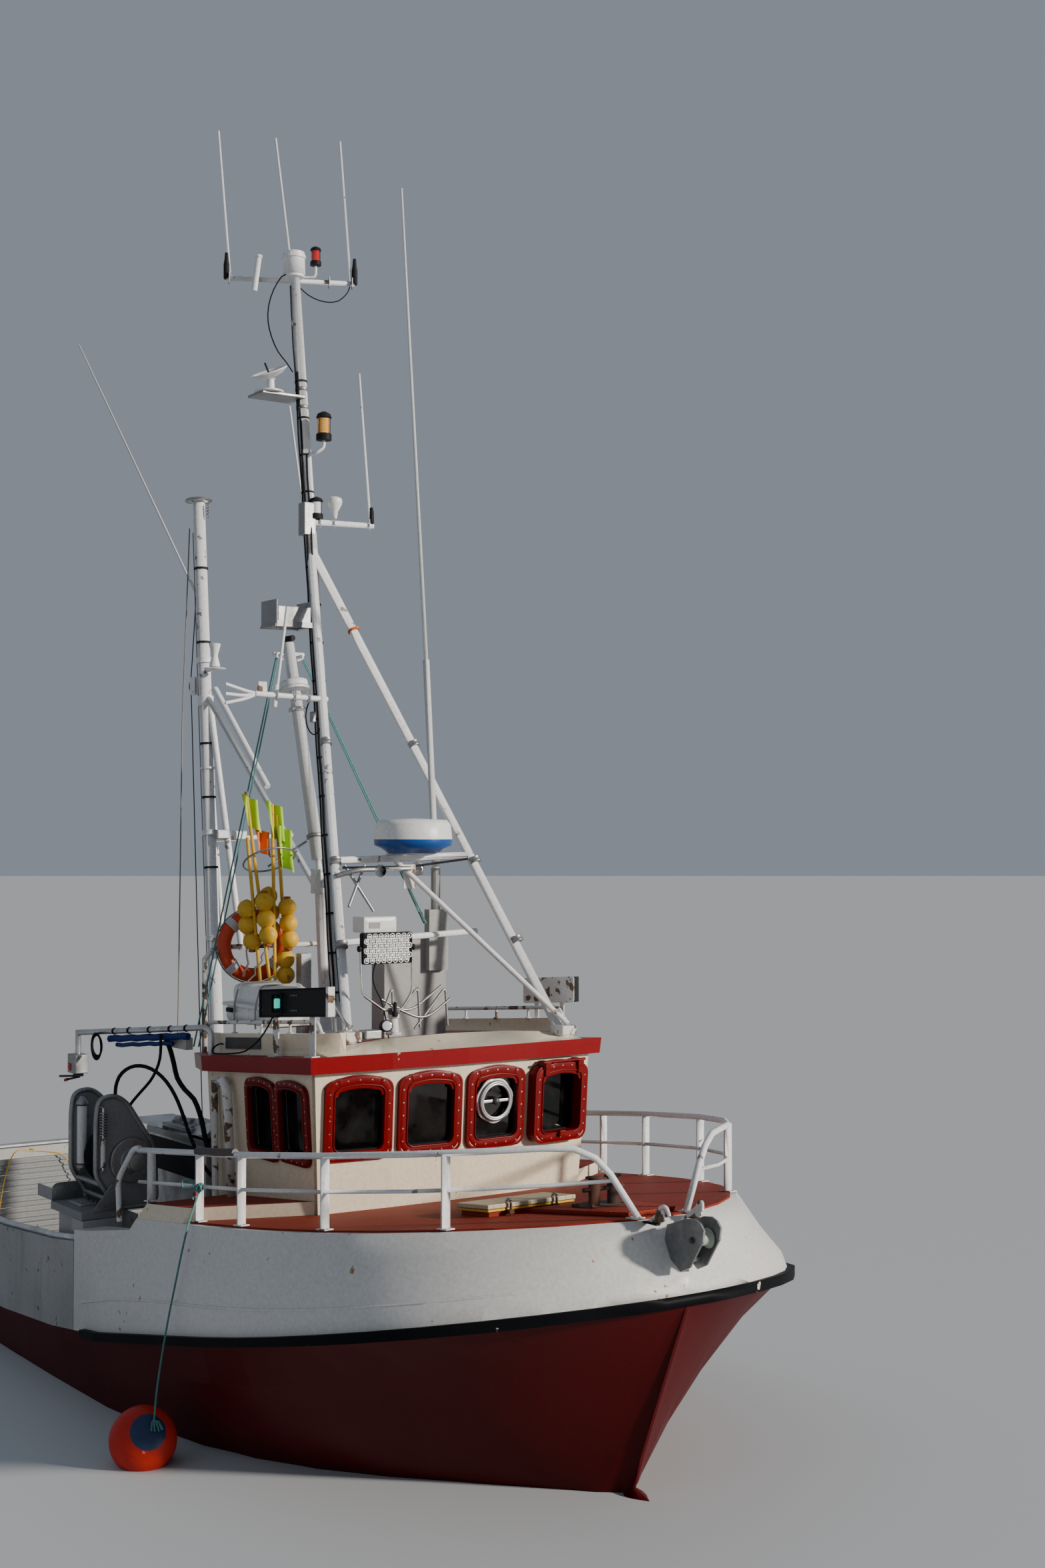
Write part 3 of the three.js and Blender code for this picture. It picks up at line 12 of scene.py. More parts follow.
import bpy
from mathutils import Matrix, Vector
from mathutils.bvhtree import BVHTree
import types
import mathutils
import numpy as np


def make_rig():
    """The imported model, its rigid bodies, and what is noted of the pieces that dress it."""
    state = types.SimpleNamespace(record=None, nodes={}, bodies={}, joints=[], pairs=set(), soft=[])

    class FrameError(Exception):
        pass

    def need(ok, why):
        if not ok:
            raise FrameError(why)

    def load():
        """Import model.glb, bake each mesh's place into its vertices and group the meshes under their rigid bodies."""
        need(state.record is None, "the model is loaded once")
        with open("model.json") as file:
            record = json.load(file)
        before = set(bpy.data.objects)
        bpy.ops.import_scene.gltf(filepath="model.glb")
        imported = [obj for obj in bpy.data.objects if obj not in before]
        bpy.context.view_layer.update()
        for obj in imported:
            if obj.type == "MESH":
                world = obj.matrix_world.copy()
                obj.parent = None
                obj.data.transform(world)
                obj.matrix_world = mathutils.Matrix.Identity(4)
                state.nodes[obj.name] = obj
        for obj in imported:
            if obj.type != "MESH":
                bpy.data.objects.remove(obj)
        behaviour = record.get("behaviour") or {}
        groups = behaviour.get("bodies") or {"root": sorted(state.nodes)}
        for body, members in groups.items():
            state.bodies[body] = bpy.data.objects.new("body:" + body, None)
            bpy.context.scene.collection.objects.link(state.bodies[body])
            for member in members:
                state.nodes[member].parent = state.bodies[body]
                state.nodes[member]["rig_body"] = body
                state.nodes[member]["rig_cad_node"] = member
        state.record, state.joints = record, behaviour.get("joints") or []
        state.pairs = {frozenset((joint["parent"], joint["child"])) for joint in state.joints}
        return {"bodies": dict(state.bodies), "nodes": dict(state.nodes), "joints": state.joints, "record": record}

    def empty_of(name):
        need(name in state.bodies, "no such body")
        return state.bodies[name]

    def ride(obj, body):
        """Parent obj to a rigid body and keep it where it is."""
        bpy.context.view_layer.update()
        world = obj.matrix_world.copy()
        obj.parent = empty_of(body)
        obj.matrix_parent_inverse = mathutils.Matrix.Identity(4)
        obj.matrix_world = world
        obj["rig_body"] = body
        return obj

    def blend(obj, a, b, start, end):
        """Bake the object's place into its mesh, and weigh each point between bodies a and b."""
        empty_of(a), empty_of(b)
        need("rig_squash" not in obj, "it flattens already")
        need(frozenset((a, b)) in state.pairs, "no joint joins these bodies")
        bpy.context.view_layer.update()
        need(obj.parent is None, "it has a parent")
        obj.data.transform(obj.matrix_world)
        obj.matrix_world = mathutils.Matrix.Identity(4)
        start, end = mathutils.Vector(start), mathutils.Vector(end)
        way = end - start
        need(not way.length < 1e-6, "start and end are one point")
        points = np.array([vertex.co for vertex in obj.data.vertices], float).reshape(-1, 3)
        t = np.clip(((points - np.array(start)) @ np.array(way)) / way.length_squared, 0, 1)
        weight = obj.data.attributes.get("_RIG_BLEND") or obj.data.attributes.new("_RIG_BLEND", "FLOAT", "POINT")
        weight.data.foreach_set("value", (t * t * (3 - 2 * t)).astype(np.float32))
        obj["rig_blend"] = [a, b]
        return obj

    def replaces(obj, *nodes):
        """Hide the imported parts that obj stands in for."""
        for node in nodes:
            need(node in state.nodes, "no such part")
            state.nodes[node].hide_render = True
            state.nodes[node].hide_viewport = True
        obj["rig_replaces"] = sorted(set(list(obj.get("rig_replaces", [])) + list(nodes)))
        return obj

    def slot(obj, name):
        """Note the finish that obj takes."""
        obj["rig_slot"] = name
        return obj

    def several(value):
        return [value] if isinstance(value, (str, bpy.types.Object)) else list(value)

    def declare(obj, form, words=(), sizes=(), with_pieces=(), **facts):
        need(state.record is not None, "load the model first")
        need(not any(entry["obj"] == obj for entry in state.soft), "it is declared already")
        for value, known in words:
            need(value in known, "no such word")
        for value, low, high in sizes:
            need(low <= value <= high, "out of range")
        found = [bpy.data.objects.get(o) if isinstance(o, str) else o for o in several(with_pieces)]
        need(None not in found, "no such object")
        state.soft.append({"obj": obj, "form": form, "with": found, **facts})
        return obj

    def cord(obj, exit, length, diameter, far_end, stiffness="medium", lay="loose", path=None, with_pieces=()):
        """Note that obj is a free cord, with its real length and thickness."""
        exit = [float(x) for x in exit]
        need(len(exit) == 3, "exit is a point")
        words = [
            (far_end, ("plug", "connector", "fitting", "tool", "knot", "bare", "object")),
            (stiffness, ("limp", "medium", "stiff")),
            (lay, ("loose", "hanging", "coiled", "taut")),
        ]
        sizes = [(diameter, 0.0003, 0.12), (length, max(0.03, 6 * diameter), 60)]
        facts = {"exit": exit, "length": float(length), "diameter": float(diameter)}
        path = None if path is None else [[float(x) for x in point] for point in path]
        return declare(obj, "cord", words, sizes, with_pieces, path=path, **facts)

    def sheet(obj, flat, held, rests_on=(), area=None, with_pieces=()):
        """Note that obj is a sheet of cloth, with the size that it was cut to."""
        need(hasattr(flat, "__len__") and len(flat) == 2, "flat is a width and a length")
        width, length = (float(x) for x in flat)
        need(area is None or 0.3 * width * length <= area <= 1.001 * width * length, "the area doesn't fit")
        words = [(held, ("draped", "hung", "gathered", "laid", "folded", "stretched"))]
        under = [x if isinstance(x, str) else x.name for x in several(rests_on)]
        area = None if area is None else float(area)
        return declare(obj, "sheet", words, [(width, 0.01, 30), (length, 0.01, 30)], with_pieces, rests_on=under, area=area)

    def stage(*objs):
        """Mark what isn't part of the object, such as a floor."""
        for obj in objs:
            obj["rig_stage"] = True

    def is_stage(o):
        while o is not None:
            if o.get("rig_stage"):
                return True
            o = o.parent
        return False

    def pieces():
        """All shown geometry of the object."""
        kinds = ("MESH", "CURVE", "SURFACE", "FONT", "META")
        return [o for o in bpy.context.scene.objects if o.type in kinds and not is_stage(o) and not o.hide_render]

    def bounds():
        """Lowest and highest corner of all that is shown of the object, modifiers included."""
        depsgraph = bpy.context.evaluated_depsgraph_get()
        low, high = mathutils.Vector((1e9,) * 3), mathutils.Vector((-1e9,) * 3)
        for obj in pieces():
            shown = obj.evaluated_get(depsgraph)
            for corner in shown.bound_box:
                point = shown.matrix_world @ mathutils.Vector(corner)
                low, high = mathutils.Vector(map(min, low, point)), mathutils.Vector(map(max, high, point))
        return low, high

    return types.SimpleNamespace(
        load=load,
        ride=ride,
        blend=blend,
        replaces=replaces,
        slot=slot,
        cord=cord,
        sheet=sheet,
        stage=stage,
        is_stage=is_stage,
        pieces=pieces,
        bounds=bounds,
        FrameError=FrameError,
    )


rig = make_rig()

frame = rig.load()
nodes = frame["nodes"]
size_before = [list(corner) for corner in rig.bounds()]
bpy.ops.object.select_all(action="DESELECT")
print("frame:", len(nodes), "CAD nodes,", len(frame["bodies"]), "bodies")

# %% [markdown]
# ## The camera
# The photograph was taken from a pontoon off the starboard bow, with the eye a little over four
# metres above the water. The horizon and the known plumb lines of the masts gave the place and the
# turn of the camera, and the width of the bow gave its focal length. A portrait frame measures
# Blender's 36 mm sensor along its long side.

# %% Camera
CAMERA_AT = (15.388, -8.206, 4.376)
FARTHEST_SEEN = 200
CAMERA_TURN = (91.378, 0.0, 55.24)
FOCAL_LENGTH = 45.94

bpy.ops.object.camera_add(location=CAMERA_AT, rotation=[math.radians(angle) for angle in CAMERA_TURN])
camera = bpy.context.object
camera.data.lens = FOCAL_LENGTH
camera.data.clip_end = FARTHEST_SEEN
bpy.context.scene.camera = camera
print("camera at", CAMERA_AT, "with a", FOCAL_LENGTH, "mm lens")

# %% [markdown]
# ## Cords, cables and hoses
# What hangs or lies free is a cord with a real length: it leaves its fitting straight, then bends
# smoothly under its own weight. Each route is a short list of given points. A smooth curve
# through them gives the finer points that the cord follows, and its length is measured on those.

# %% Smooth routes and swept cords
def flowing(points, between=3):
    """Finer points on a smooth curve through the given ones."""
    points = [Vector(point) for point in points]
    ends = [2 * points[0] - points[1], *points, 2 * points[-1] - points[-2]]
    line = []
    for before, start, end, after in zip(ends, ends[1:], ends[2:], ends[3:]):
        for count in range(between):
            t = count / between
            slope = (end - before) / 2, (after - start) / 2
            line.append(
                start * (2 * t**3 - 3 * t**2 + 1)
                + slope[0] * (t**3 - 2 * t**2 + t)
                + end * (3 * t**2 - 2 * t**3)
                + slope[1] * (t**3 - t**2)
            )
    return line + [points[-1]]


def sweep(name, points, radius, roundness=3):
    """A curve of one open spline with a round section."""
    line = bpy.data.curves.new(name, "CURVE")
    line.dimensions = "3D"
    line.bevel_depth = 1.0
    line.bevel_resolution = roundness
    line.use_fill_caps = True
    spline = line.splines.new("POLY")
    spline.points.add(len(points) - 1)
    for point, spot in zip(spline.points, points):
        point.co = (*spot, 1)
        point.radius = radius
    piece = bpy.data.objects.new(name, line)
    bpy.context.collection.objects.link(piece)
    return piece


def length_of(points):
    return sum((end - start).length for start, end in zip(points, points[1:]))


print("cord helpers ready")

# %% The cords
HAULER_HOSE = [
    (0.408, -1.757, 2.282), (0.412, -1.755, 2.350), (0.446, -1.742, 2.430), (0.514, -1.715, 2.492),
    (0.604, -1.676, 2.528), (0.700, -1.628, 2.528), (0.790, -1.575, 2.490), (0.862, -1.524, 2.418),
    (0.910, -1.476, 2.318), (0.934, -1.432, 2.200), (0.948, -1.390, 2.070), (0.962, -1.345, 1.940),
    (0.976, -1.296, 1.820), (0.990, -1.240, 1.722), (1.002, -1.196, 1.670),
]
ARM_HOSE = [
    (0.412, -1.632, 2.196), (0.440, -1.615, 2.235), (0.520, -1.585, 2.312), (0.620, -1.555, 2.400),
    (0.680, -1.530, 2.490), (0.672, -1.495, 2.580), (0.590, -1.450, 2.665), (0.520, -1.420, 2.715),
    (0.462, -1.396, 2.748),
]
WALL_HOSE = [
    (0.476, -1.360, 2.744), (0.462, -1.335, 2.690), (0.445, -1.295, 2.600), (0.432, -1.262, 2.500),
    (0.470, -1.250, 2.390), (0.600, -1.245, 2.310), (0.760, -1.240, 2.250), (0.860, -1.238, 2.150),
    (0.900, -1.230, 2.060), (0.918, -1.218, 1.960), (0.930, -1.196, 1.870),
]
SCREEN_CABLE = [
    (2.050, -1.215, 3.000), (2.020, -1.220, 2.960), (1.950, -1.230, 2.880), (1.840, -1.245, 2.790),
    (1.690, -1.262, 2.715), (1.520, -1.272, 2.684), (1.330, -1.272, 2.664), (1.180, -1.262, 2.652),
    (1.080, -1.236, 2.658), (1.040, -1.195, 2.690), (1.050, -1.155, 2.710), (1.060, -1.132, 2.706),
]
MAST_CABLE = [
    (0.105, -0.075, 9.200), (0.060, -0.110, 9.180), (-0.030, -0.140, 9.080), (-0.080, -0.160, 8.950),
    (-0.070, -0.170, 8.810), (-0.010, -0.165, 8.660), (0.080, -0.150, 8.520), (0.160, -0.115, 8.420),
    (0.205, -0.075, 8.330),
]
YARD_CABLE = [
    (-0.017, 0.080, 9.165), (0.000, 0.110, 9.130), (0.030, 0.170, 9.072), (0.070, 0.250, 9.030),
    (0.110, 0.330, 9.015), (0.143, 0.405, 9.030), (0.163, 0.458, 9.076), (0.174, 0.488, 9.120),
    (0.178, 0.502, 9.163),
]
FLOODLIGHT_CABLE = [
    (2.350, -0.500, 3.400), (2.325, -0.505, 3.350), (2.300, -0.500, 3.270), (2.290, -0.470, 3.190),
    (2.290, -0.430, 3.120), (2.300, -0.410, 3.050), (2.318, -0.400, 2.980), (2.336, -0.394, 2.900),
    (2.350, -0.390, 2.815),
]
LEG_CABLE = [
    (1.020, -0.250, 5.520), (0.985, -0.285, 5.500), (0.940, -0.315, 5.430), (0.915, -0.325, 5.330),
    (0.940, -0.320, 5.230), (1.010, -0.315, 5.175), (1.090, -0.318, 5.180), (1.150, -0.322, 5.215),
]
FENDER_LINE = [
    (2.150, -1.838, 1.840), (2.156, -1.856, 1.800), (2.176, -1.905, 1.700), (2.200, -1.962, 1.580),
    (2.232, -2.015, 1.450), (2.270, -2.070, 1.300), (2.312, -2.130, 1.130), (2.355, -2.190, 0.960),
    (2.405, -2.250, 0.780), (2.450, -2.297, 0.640), (2.505, -2.345, 0.500), (2.578, -2.396, 0.342),
]

CORDS = [
    # name, route, diameter, far end, stiffness, lay
    ("hauler_hose_piece", HAULER_HOSE, 0.030, "object", "stiff", "loose"),
    ("arm_hose", ARM_HOSE, 0.024, "object", "stiff", "loose"),
    ("wall_hose", WALL_HOSE, 0.040, "object", "stiff", "hanging"),
    ("screen_cable", SCREEN_CABLE, 0.013, "object", "medium", "loose"),
    ("mast_cable", MAST_CABLE, 0.011, "object", "medium", "hanging"),
    ("yard_cable", YARD_CABLE, 0.010, "object", "medium", "hanging"),
    ("floodlight_cable", FLOODLIGHT_CABLE, 0.010, "object", "medium", "hanging"),
    ("leg_cable", LEG_CABLE, 0.011, "object", "medium", "hanging"),
    ("fender_line", FENDER_LINE, 0.014, "object", "limp", "hanging"),
]

cords = {}
for name, route, diameter, far_end, stiffness, lay in CORDS:
    line = flowing(route, 2)
    cord = sweep(name, line, diameter / 2)
    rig.ride(cord, "boat")
    cords[name] = cord
    print(name, round(length_of(line), 3), "m of", diameter, far_end, stiffness, lay)

# %% [markdown]
# ## Floor and light
# The boat floats, so the floor stands for the water and lies at its waterline. The light is a
# bright winter day: a pale sky all round and one large warm lamp low over the port bow, which
# lights the front of the wheelhouse and the stem and leaves the starboard side in shade.

# %% Floor
bpy.ops.object.select_all(action="DESELECT")
bpy.ops.mesh.primitive_plane_add(size=700, location=(0, 0, 0))
floor = bpy.context.object
floor.name = "studio_floor"
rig.stage(floor)
floor_paint = bpy.data.materials.new("studio_floor")
floor_paint.use_nodes = True
floor_shader = floor_paint.node_tree.nodes["Principled BSDF"]
floor_shader.inputs["Base Color"].default_value = (0.50, 0.52, 0.54, 1)
floor_shader.inputs["Roughness"].default_value = 0.55
floor.data.materials.append(floor_paint)
print("floor at the waterline")

# %% Sky and lamps
LAMPS = [
    # name, kind, place, looks at, softness, strength, colour
    ("low_sun", "SUN", (19.0, 12.0, 8.6), (2.0, 0.0, 1.8), 0.07, 5.4, (1.0, 0.93, 0.83)),
    ("fill_from_pontoon", "AREA", (6.0, -17.0, 9.0), (0.5, 0.0, 2.5), 9.0, 95, (0.90, 0.94, 1.0)),
]

sky = bpy.data.worlds.new("winter_sky")
bpy.context.scene.world = sky
sky.use_nodes = True
sky_light = sky.node_tree.nodes["Background"]
sky_light.inputs["Color"].default_value = (0.62, 0.70, 0.82, 1)
sky_light.inputs["Strength"].default_value = 0.37

for name, kind, place, target, softness, strength, colour in LAMPS:
    bpy.ops.object.light_add(type=kind, location=place)
    lamp = bpy.context.object
    lamp.name = name
    lamp.data.energy = strength
    lamp.data.color = colour
    if kind == "SUN":
        lamp.data.angle = softness
    else:
        lamp.data.size = softness
    lamp.rotation_euler = (Vector(target) - Vector(place)).to_track_quat("-Z", "Y").to_euler()
print("lamps:", [row[0] for row in LAMPS])

# %% [markdown]
# ## Finishes: the shared effects
# A boat is mostly paint, and the paint is never clean. The same four effects return on nearly every
# part, so each is a node group that a material can call: worn paint, chequered deck plate,
# galvanised steel and laid rope. They read Object coordinates, so a pattern stays on its part.

# %% Node helpers
def node(tree, kind, inputs=None, **settings):
    """Adds a node; inputs are numbers, colours or the sockets that feed them."""
    made = tree.nodes.new(kind)
    for key, value in settings.items():
        setattr(made, key, value)
    for key, value in (inputs or {}).items():
        if isinstance(value, bpy.types.NodeSocket):
            tree.links.new(value, made.inputs[key])
        else:
            made.inputs[key].default_value = value
    return made


def math_node(tree, operation, first, second=0.0, clamp=False):
    """One sum on one or two sockets or numbers; returns its result."""
    return node(
        tree, "ShaderNodeMath", {0: first, 1: second}, operation=operation, use_clamp=clamp).outputs[0]


def mix_colour(tree, factor, first, second, blend="MIX"):
    """Colour first where the factor is 0, second where it is 1."""
    made = node(tree, "ShaderNodeMix", data_type="RGBA", blend_type=blend)
    for index, value in ((0, factor), (6, first), (7, second)):
        if isinstance(value, bpy.types.NodeSocket):
            tree.links.new(value, made.inputs[index])
        else:
            made.inputs[index].default_value = value
    return made.outputs[2]


def step(tree, value, low, high, to_low=0.0, to_high=1.0):
    """Maps a value between two marks to 0..1, or to other ends."""
    made = node(tree, "ShaderNodeMapRange", {0: value, 3: to_low, 4: to_high})
    for index, mark in ((1, low), (2, high)):
        if isinstance(mark, bpy.types.NodeSocket):
            tree.links.new(mark, made.inputs[index])
        else:
            made.inputs[index].default_value = mark
    return made.outputs[0]


def noise(tree, place, scale, detail=4.0, stretch=(1, 1, 1)):
    """Noise on the part's own coordinates, drawn out along an axis where stretch is small."""
    spot = node(tree, "ShaderNodeMapping", {"Vector": place, "Scale": stretch}).outputs[0]
    return node(tree, "ShaderNodeTexNoise", {"Vector": spot, "Scale": scale, "Detail": detail}).outputs[0]


def effect(name, takes, gives):
    """An empty node group with its sockets: returns the group, its inputs and its outputs node."""
    group = bpy.data.node_groups.new(name, "ShaderNodeTree")
    for label, kind, value in takes:
        group.interface.new_socket(label, in_out="INPUT", socket_type=kind).default_value = value
    for label, kind in gives:
        group.interface.new_socket(label, in_out="OUTPUT", socket_type=kind)
    return group, group.nodes.new("NodeGroupInput").outputs, group.nodes.new("NodeGroupOutput").inputs


FLOAT, COLOUR = "NodeSocketFloat", "NodeSocketColor"
print("node helpers ready")

# %% [markdown]
# ### Worn paint
# Sea paint fades in clouds, collects grey dirt that runs down in streaks, and flakes off to rust or
# primer on corners. Clouds are large soft noise. Streaks are noise drawn out along Z. Flakes are
# fine noise cut sharply at a mark, and the same mask sinks the surface a little in the bump.

# %% Worn paint group
def make_worn_paint():
    takes = [
        ("Paint", COLOUR, (0.8, 0.8, 0.8, 1)),
        ("Dirt", COLOUR, (0.25, 0.22, 0.18, 1)),
        ("Under", COLOUR, (0.23, 0.09, 0.04, 1)),
        ("Clouds", FLOAT, 0.3),
        ("Streaks", FLOAT, 0.3),
        ("Flakes", FLOAT, 0.1),
        ("Gloss", FLOAT, 0.35),
    ]
    gives = [("Color", COLOUR), ("Roughness", FLOAT), ("Height", FLOAT)]
    tree, given, result = effect("worn_paint", takes, gives)
    place = node(tree, "ShaderNodeTexCoord").outputs["Object"]
    clouds = step(tree, noise(tree, place, 1.3, 5), 0.35, 0.75)
    grain = noise(tree, place, 38, 6)
    faded = math_node(tree, "MULTIPLY", clouds, given["Clouds"])
    cloudy = mix_colour(tree, math_node(tree, "MULTIPLY", faded, 0.45), given["Paint"], given["Dirt"])
    runs = step(tree, noise(tree, place, 7, 6, (1.6, 1.6, 0.12)), 0.52, 0.8)
    broken = step(tree, noise(tree, place, 2.1, 3), 0.4, 0.7)
    streaks = math_node(tree, "MULTIPLY", math_node(tree, "MULTIPLY", runs, broken), given["Streaks"])
    dirty = mix_colour(tree, streaks, cloudy, given["Dirt"])
    toned = mix_colour(tree, 0.35, dirty, mix_colour(tree, 1.0, dirty, grain, "MULTIPLY"))
    mark = step(tree, given["Flakes"], 0, 1, 0.74, 0.42)
    patchy = math_node(tree, "ADD", noise(tree, place, 11, 10), math_node(tree, "MULTIPLY", broken, 0.08))
    flakes = step(tree, patchy, mark, math_node(tree, "ADD", mark, 0.03))
    lifted = math_node(tree, "GREATER_THAN", given["Flakes"], 0.001)
    flakes = math_node(tree, "MULTIPLY", flakes, lifted)
    rust = mix_colour(tree, 1.0, given["Under"], step(tree, grain, 0.3, 0.7, 0.55, 1.6), "MULTIPLY")
    tree.links.new(mix_colour(tree, flakes, toned, rust), result["Color"])
    dull = math_node(
        tree, "ADD", math_node(tree, "MULTIPLY", faded, 0.25), math_node(tree, "MULTIPLY", flakes, 0.4))
    rough = math_node(
        tree, "ADD", math_node(tree, "ADD", given["Gloss"], dull),
        math_node(tree, "MULTIPLY", grain, 0.08))
    tree.links.new(math_node(tree, "MINIMUM", rough, 0.95), result["Roughness"])
    sunk = math_node(tree, "SUBTRACT", math_node(tree, "MULTIPLY", grain, 0.12), flakes)
    tree.links.new(sunk, result["Height"])
    return tree


worn_paint = make_worn_paint()
print("effect:", worn_paint.name)

# %% [markdown]
# ### Chequered plate
# The deck coating is rolled into small raised lozenges that lie in turn along and across the boat.
# The plan is cut into squares; the square's parity says which way its lozenge lies, and the
# distance from the middle of the square draws it. The bump uses it, and the chequered finishes also
# paint the raised lozenges paler: a painted highlight on their tops.

# %% Chequered plate group
def make_chequer():
    tree, given, result = effect("chequer_plate", [("Pitch", FLOAT, 0.03)], [("Height", FLOAT)])
    place = node(tree, "ShaderNodeTexCoord").outputs["Object"]
    axes = node(tree, "ShaderNodeSeparateXYZ", {0: place}).outputs
    cells = [math_node(tree, "DIVIDE", axes[index], given["Pitch"]) for index in (0, 1)]
    floors = [math_node(tree, "FLOOR", cell) for cell in cells]
    parity = math_node(tree, "FLOORED_MODULO", math_node(tree, "ADD", *floors), 2.0)
    across, along = [math_node(tree, "SUBTRACT", math_node(tree, "FRACT", cell), 0.5) for cell in cells]
    other = math_node(tree, "SUBTRACT", 1.0, parity)

    def pick_of(first, second):
        kept = math_node(tree, "MULTIPLY", first, other)
        return math_node(tree, "ADD", kept, math_node(tree, "MULTIPLY", second, parity))

    long_side = math_node(tree, "MULTIPLY", pick_of(across, along), 2.1)
    short_side = math_node(tree, "MULTIPLY", pick_of(along, across), 6.5)
    reach = math_node(
        tree, "ADD", math_node(tree, "POWER", long_side, 2), math_node(tree, "POWER", short_side, 2))
    tree.links.new(step(tree, reach, 1.0, 0.55), result["Height"])
    return tree


chequer_plate = make_chequer()
print("effect:", chequer_plate.name)

# %% [markdown]
# ### Galvanised and bare metal
# Zinc freezes in flat crystals of slightly different greys, and aluminium plate dulls in the same
# way with salt. Voronoi cells give the crystals and noise the salt bloom.

# %% Bare metal group
def make_bare_metal():
    takes = [
        ("Metal", COLOUR, (0.5, 0.52, 0.54, 1)),
        ("Stain", COLOUR, (0.2, 0.16, 0.12, 1)),
        ("Crystal", FLOAT, 60.0),
        ("Stains", FLOAT, 0.3),
        ("Dullness", FLOAT, 0.45),
    ]
    gives = [("Color", COLOUR), ("Roughness", FLOAT), ("Height", FLOAT)]
    tree, given, result = effect("bare_metal", takes, gives)
    place = node(tree, "ShaderNodeTexCoord").outputs["Object"]
    cells = node(tree, "ShaderNodeTexVoronoi", {"Vector": place, "Scale": given["Crystal"]})
    grey = node(tree, "ShaderNodeSeparateColor", {0: cells.outputs["Color"]}).outputs[0]
    tone = step(tree, grey, 0, 1, 0.82, 1.08)
    crystal = node(tree, "ShaderNodeCombineColor", {0: tone, 1: tone, 2: tone}).outputs[0]
    zinc = mix_colour(tree, 1.0, given["Metal"], crystal, "MULTIPLY")
    bloom = step(tree, noise(tree, place, 5, 8, (1, 1, 0.4)), 0.48, 0.72)
    stained = math_node(tree, "MULTIPLY", bloom, given["Stains"])
    tree.links.new(mix_colour(tree, stained, zinc, given["Stain"]), result["Color"])
    rough = math_node(tree, "ADD", given["Dullness"], math_node(tree, "MULTIPLY", stained, 0.35))
    tree.links.new(math_node(tree, "MINIMUM", rough, 0.95), result["Roughness"])
    tree.links.new(noise(tree, place, 45, 5), result["Height"])
    return tree


bare_metal = make_bare_metal()
print("effect:", bare_metal.name)

# %% [markdown]
# ### Laid rope
# A rope is three strands twisted round each other. Its piece has a coordinate of its own: U goes
# round the rope and V along it, and slanted bands of the two give the lay. The colour is darkened
# in the grooves between the strands: a painted shade.

# %% Laid rope group
def make_laid_rope():
    takes = [("Fibre", COLOUR, (0.2, 0.5, 0.5, 1)), ("Turns", FLOAT, 60.0)]
    tree, given, result = effect("laid_rope", takes, [("Color", COLOUR), ("Height", FLOAT)])
    around = node(tree, "ShaderNodeUVMap", uv_map="UVMap").outputs[0]
    axes = node(tree, "ShaderNodeSeparateXYZ", {0: around}).outputs
    twist = math_node(
        tree, "ADD", math_node(tree, "MULTIPLY", axes[0], 3.0),
        math_node(tree, "MULTIPLY", axes[1], given["Turns"]))
    wave = math_node(tree, "SINE", math_node(tree, "MULTIPLY", twist, 6.2832))
    strand = step(tree, wave, -1, 1)
    # Painted shade: the fibre colour darkens towards the grooves between the strands.
    shade = step(tree, wave, -1, 0.2, 0.35, 1.0)
    dark = node(tree, "ShaderNodeCombineColor", {0: shade, 1: shade, 2: shade}).outputs[0]
    tree.links.new(mix_colour(tree, 1.0, given["Fibre"], dark, "MULTIPLY"), result["Color"])
    tree.links.new(strand, result["Height"])
    return tree


laid_rope = make_laid_rope()
print("effect:", laid_rope.name)

# %% [markdown]
# ## Finishes: one material for each coat
# Each row is a coat as a painter would order it: its colour, the dirt and the primer or rust under
# it, and how far clouds, streaks and flakes have gone. A bump node turns the height of the effect
# into relief, and the gloss of each coat is set on the shader itself.

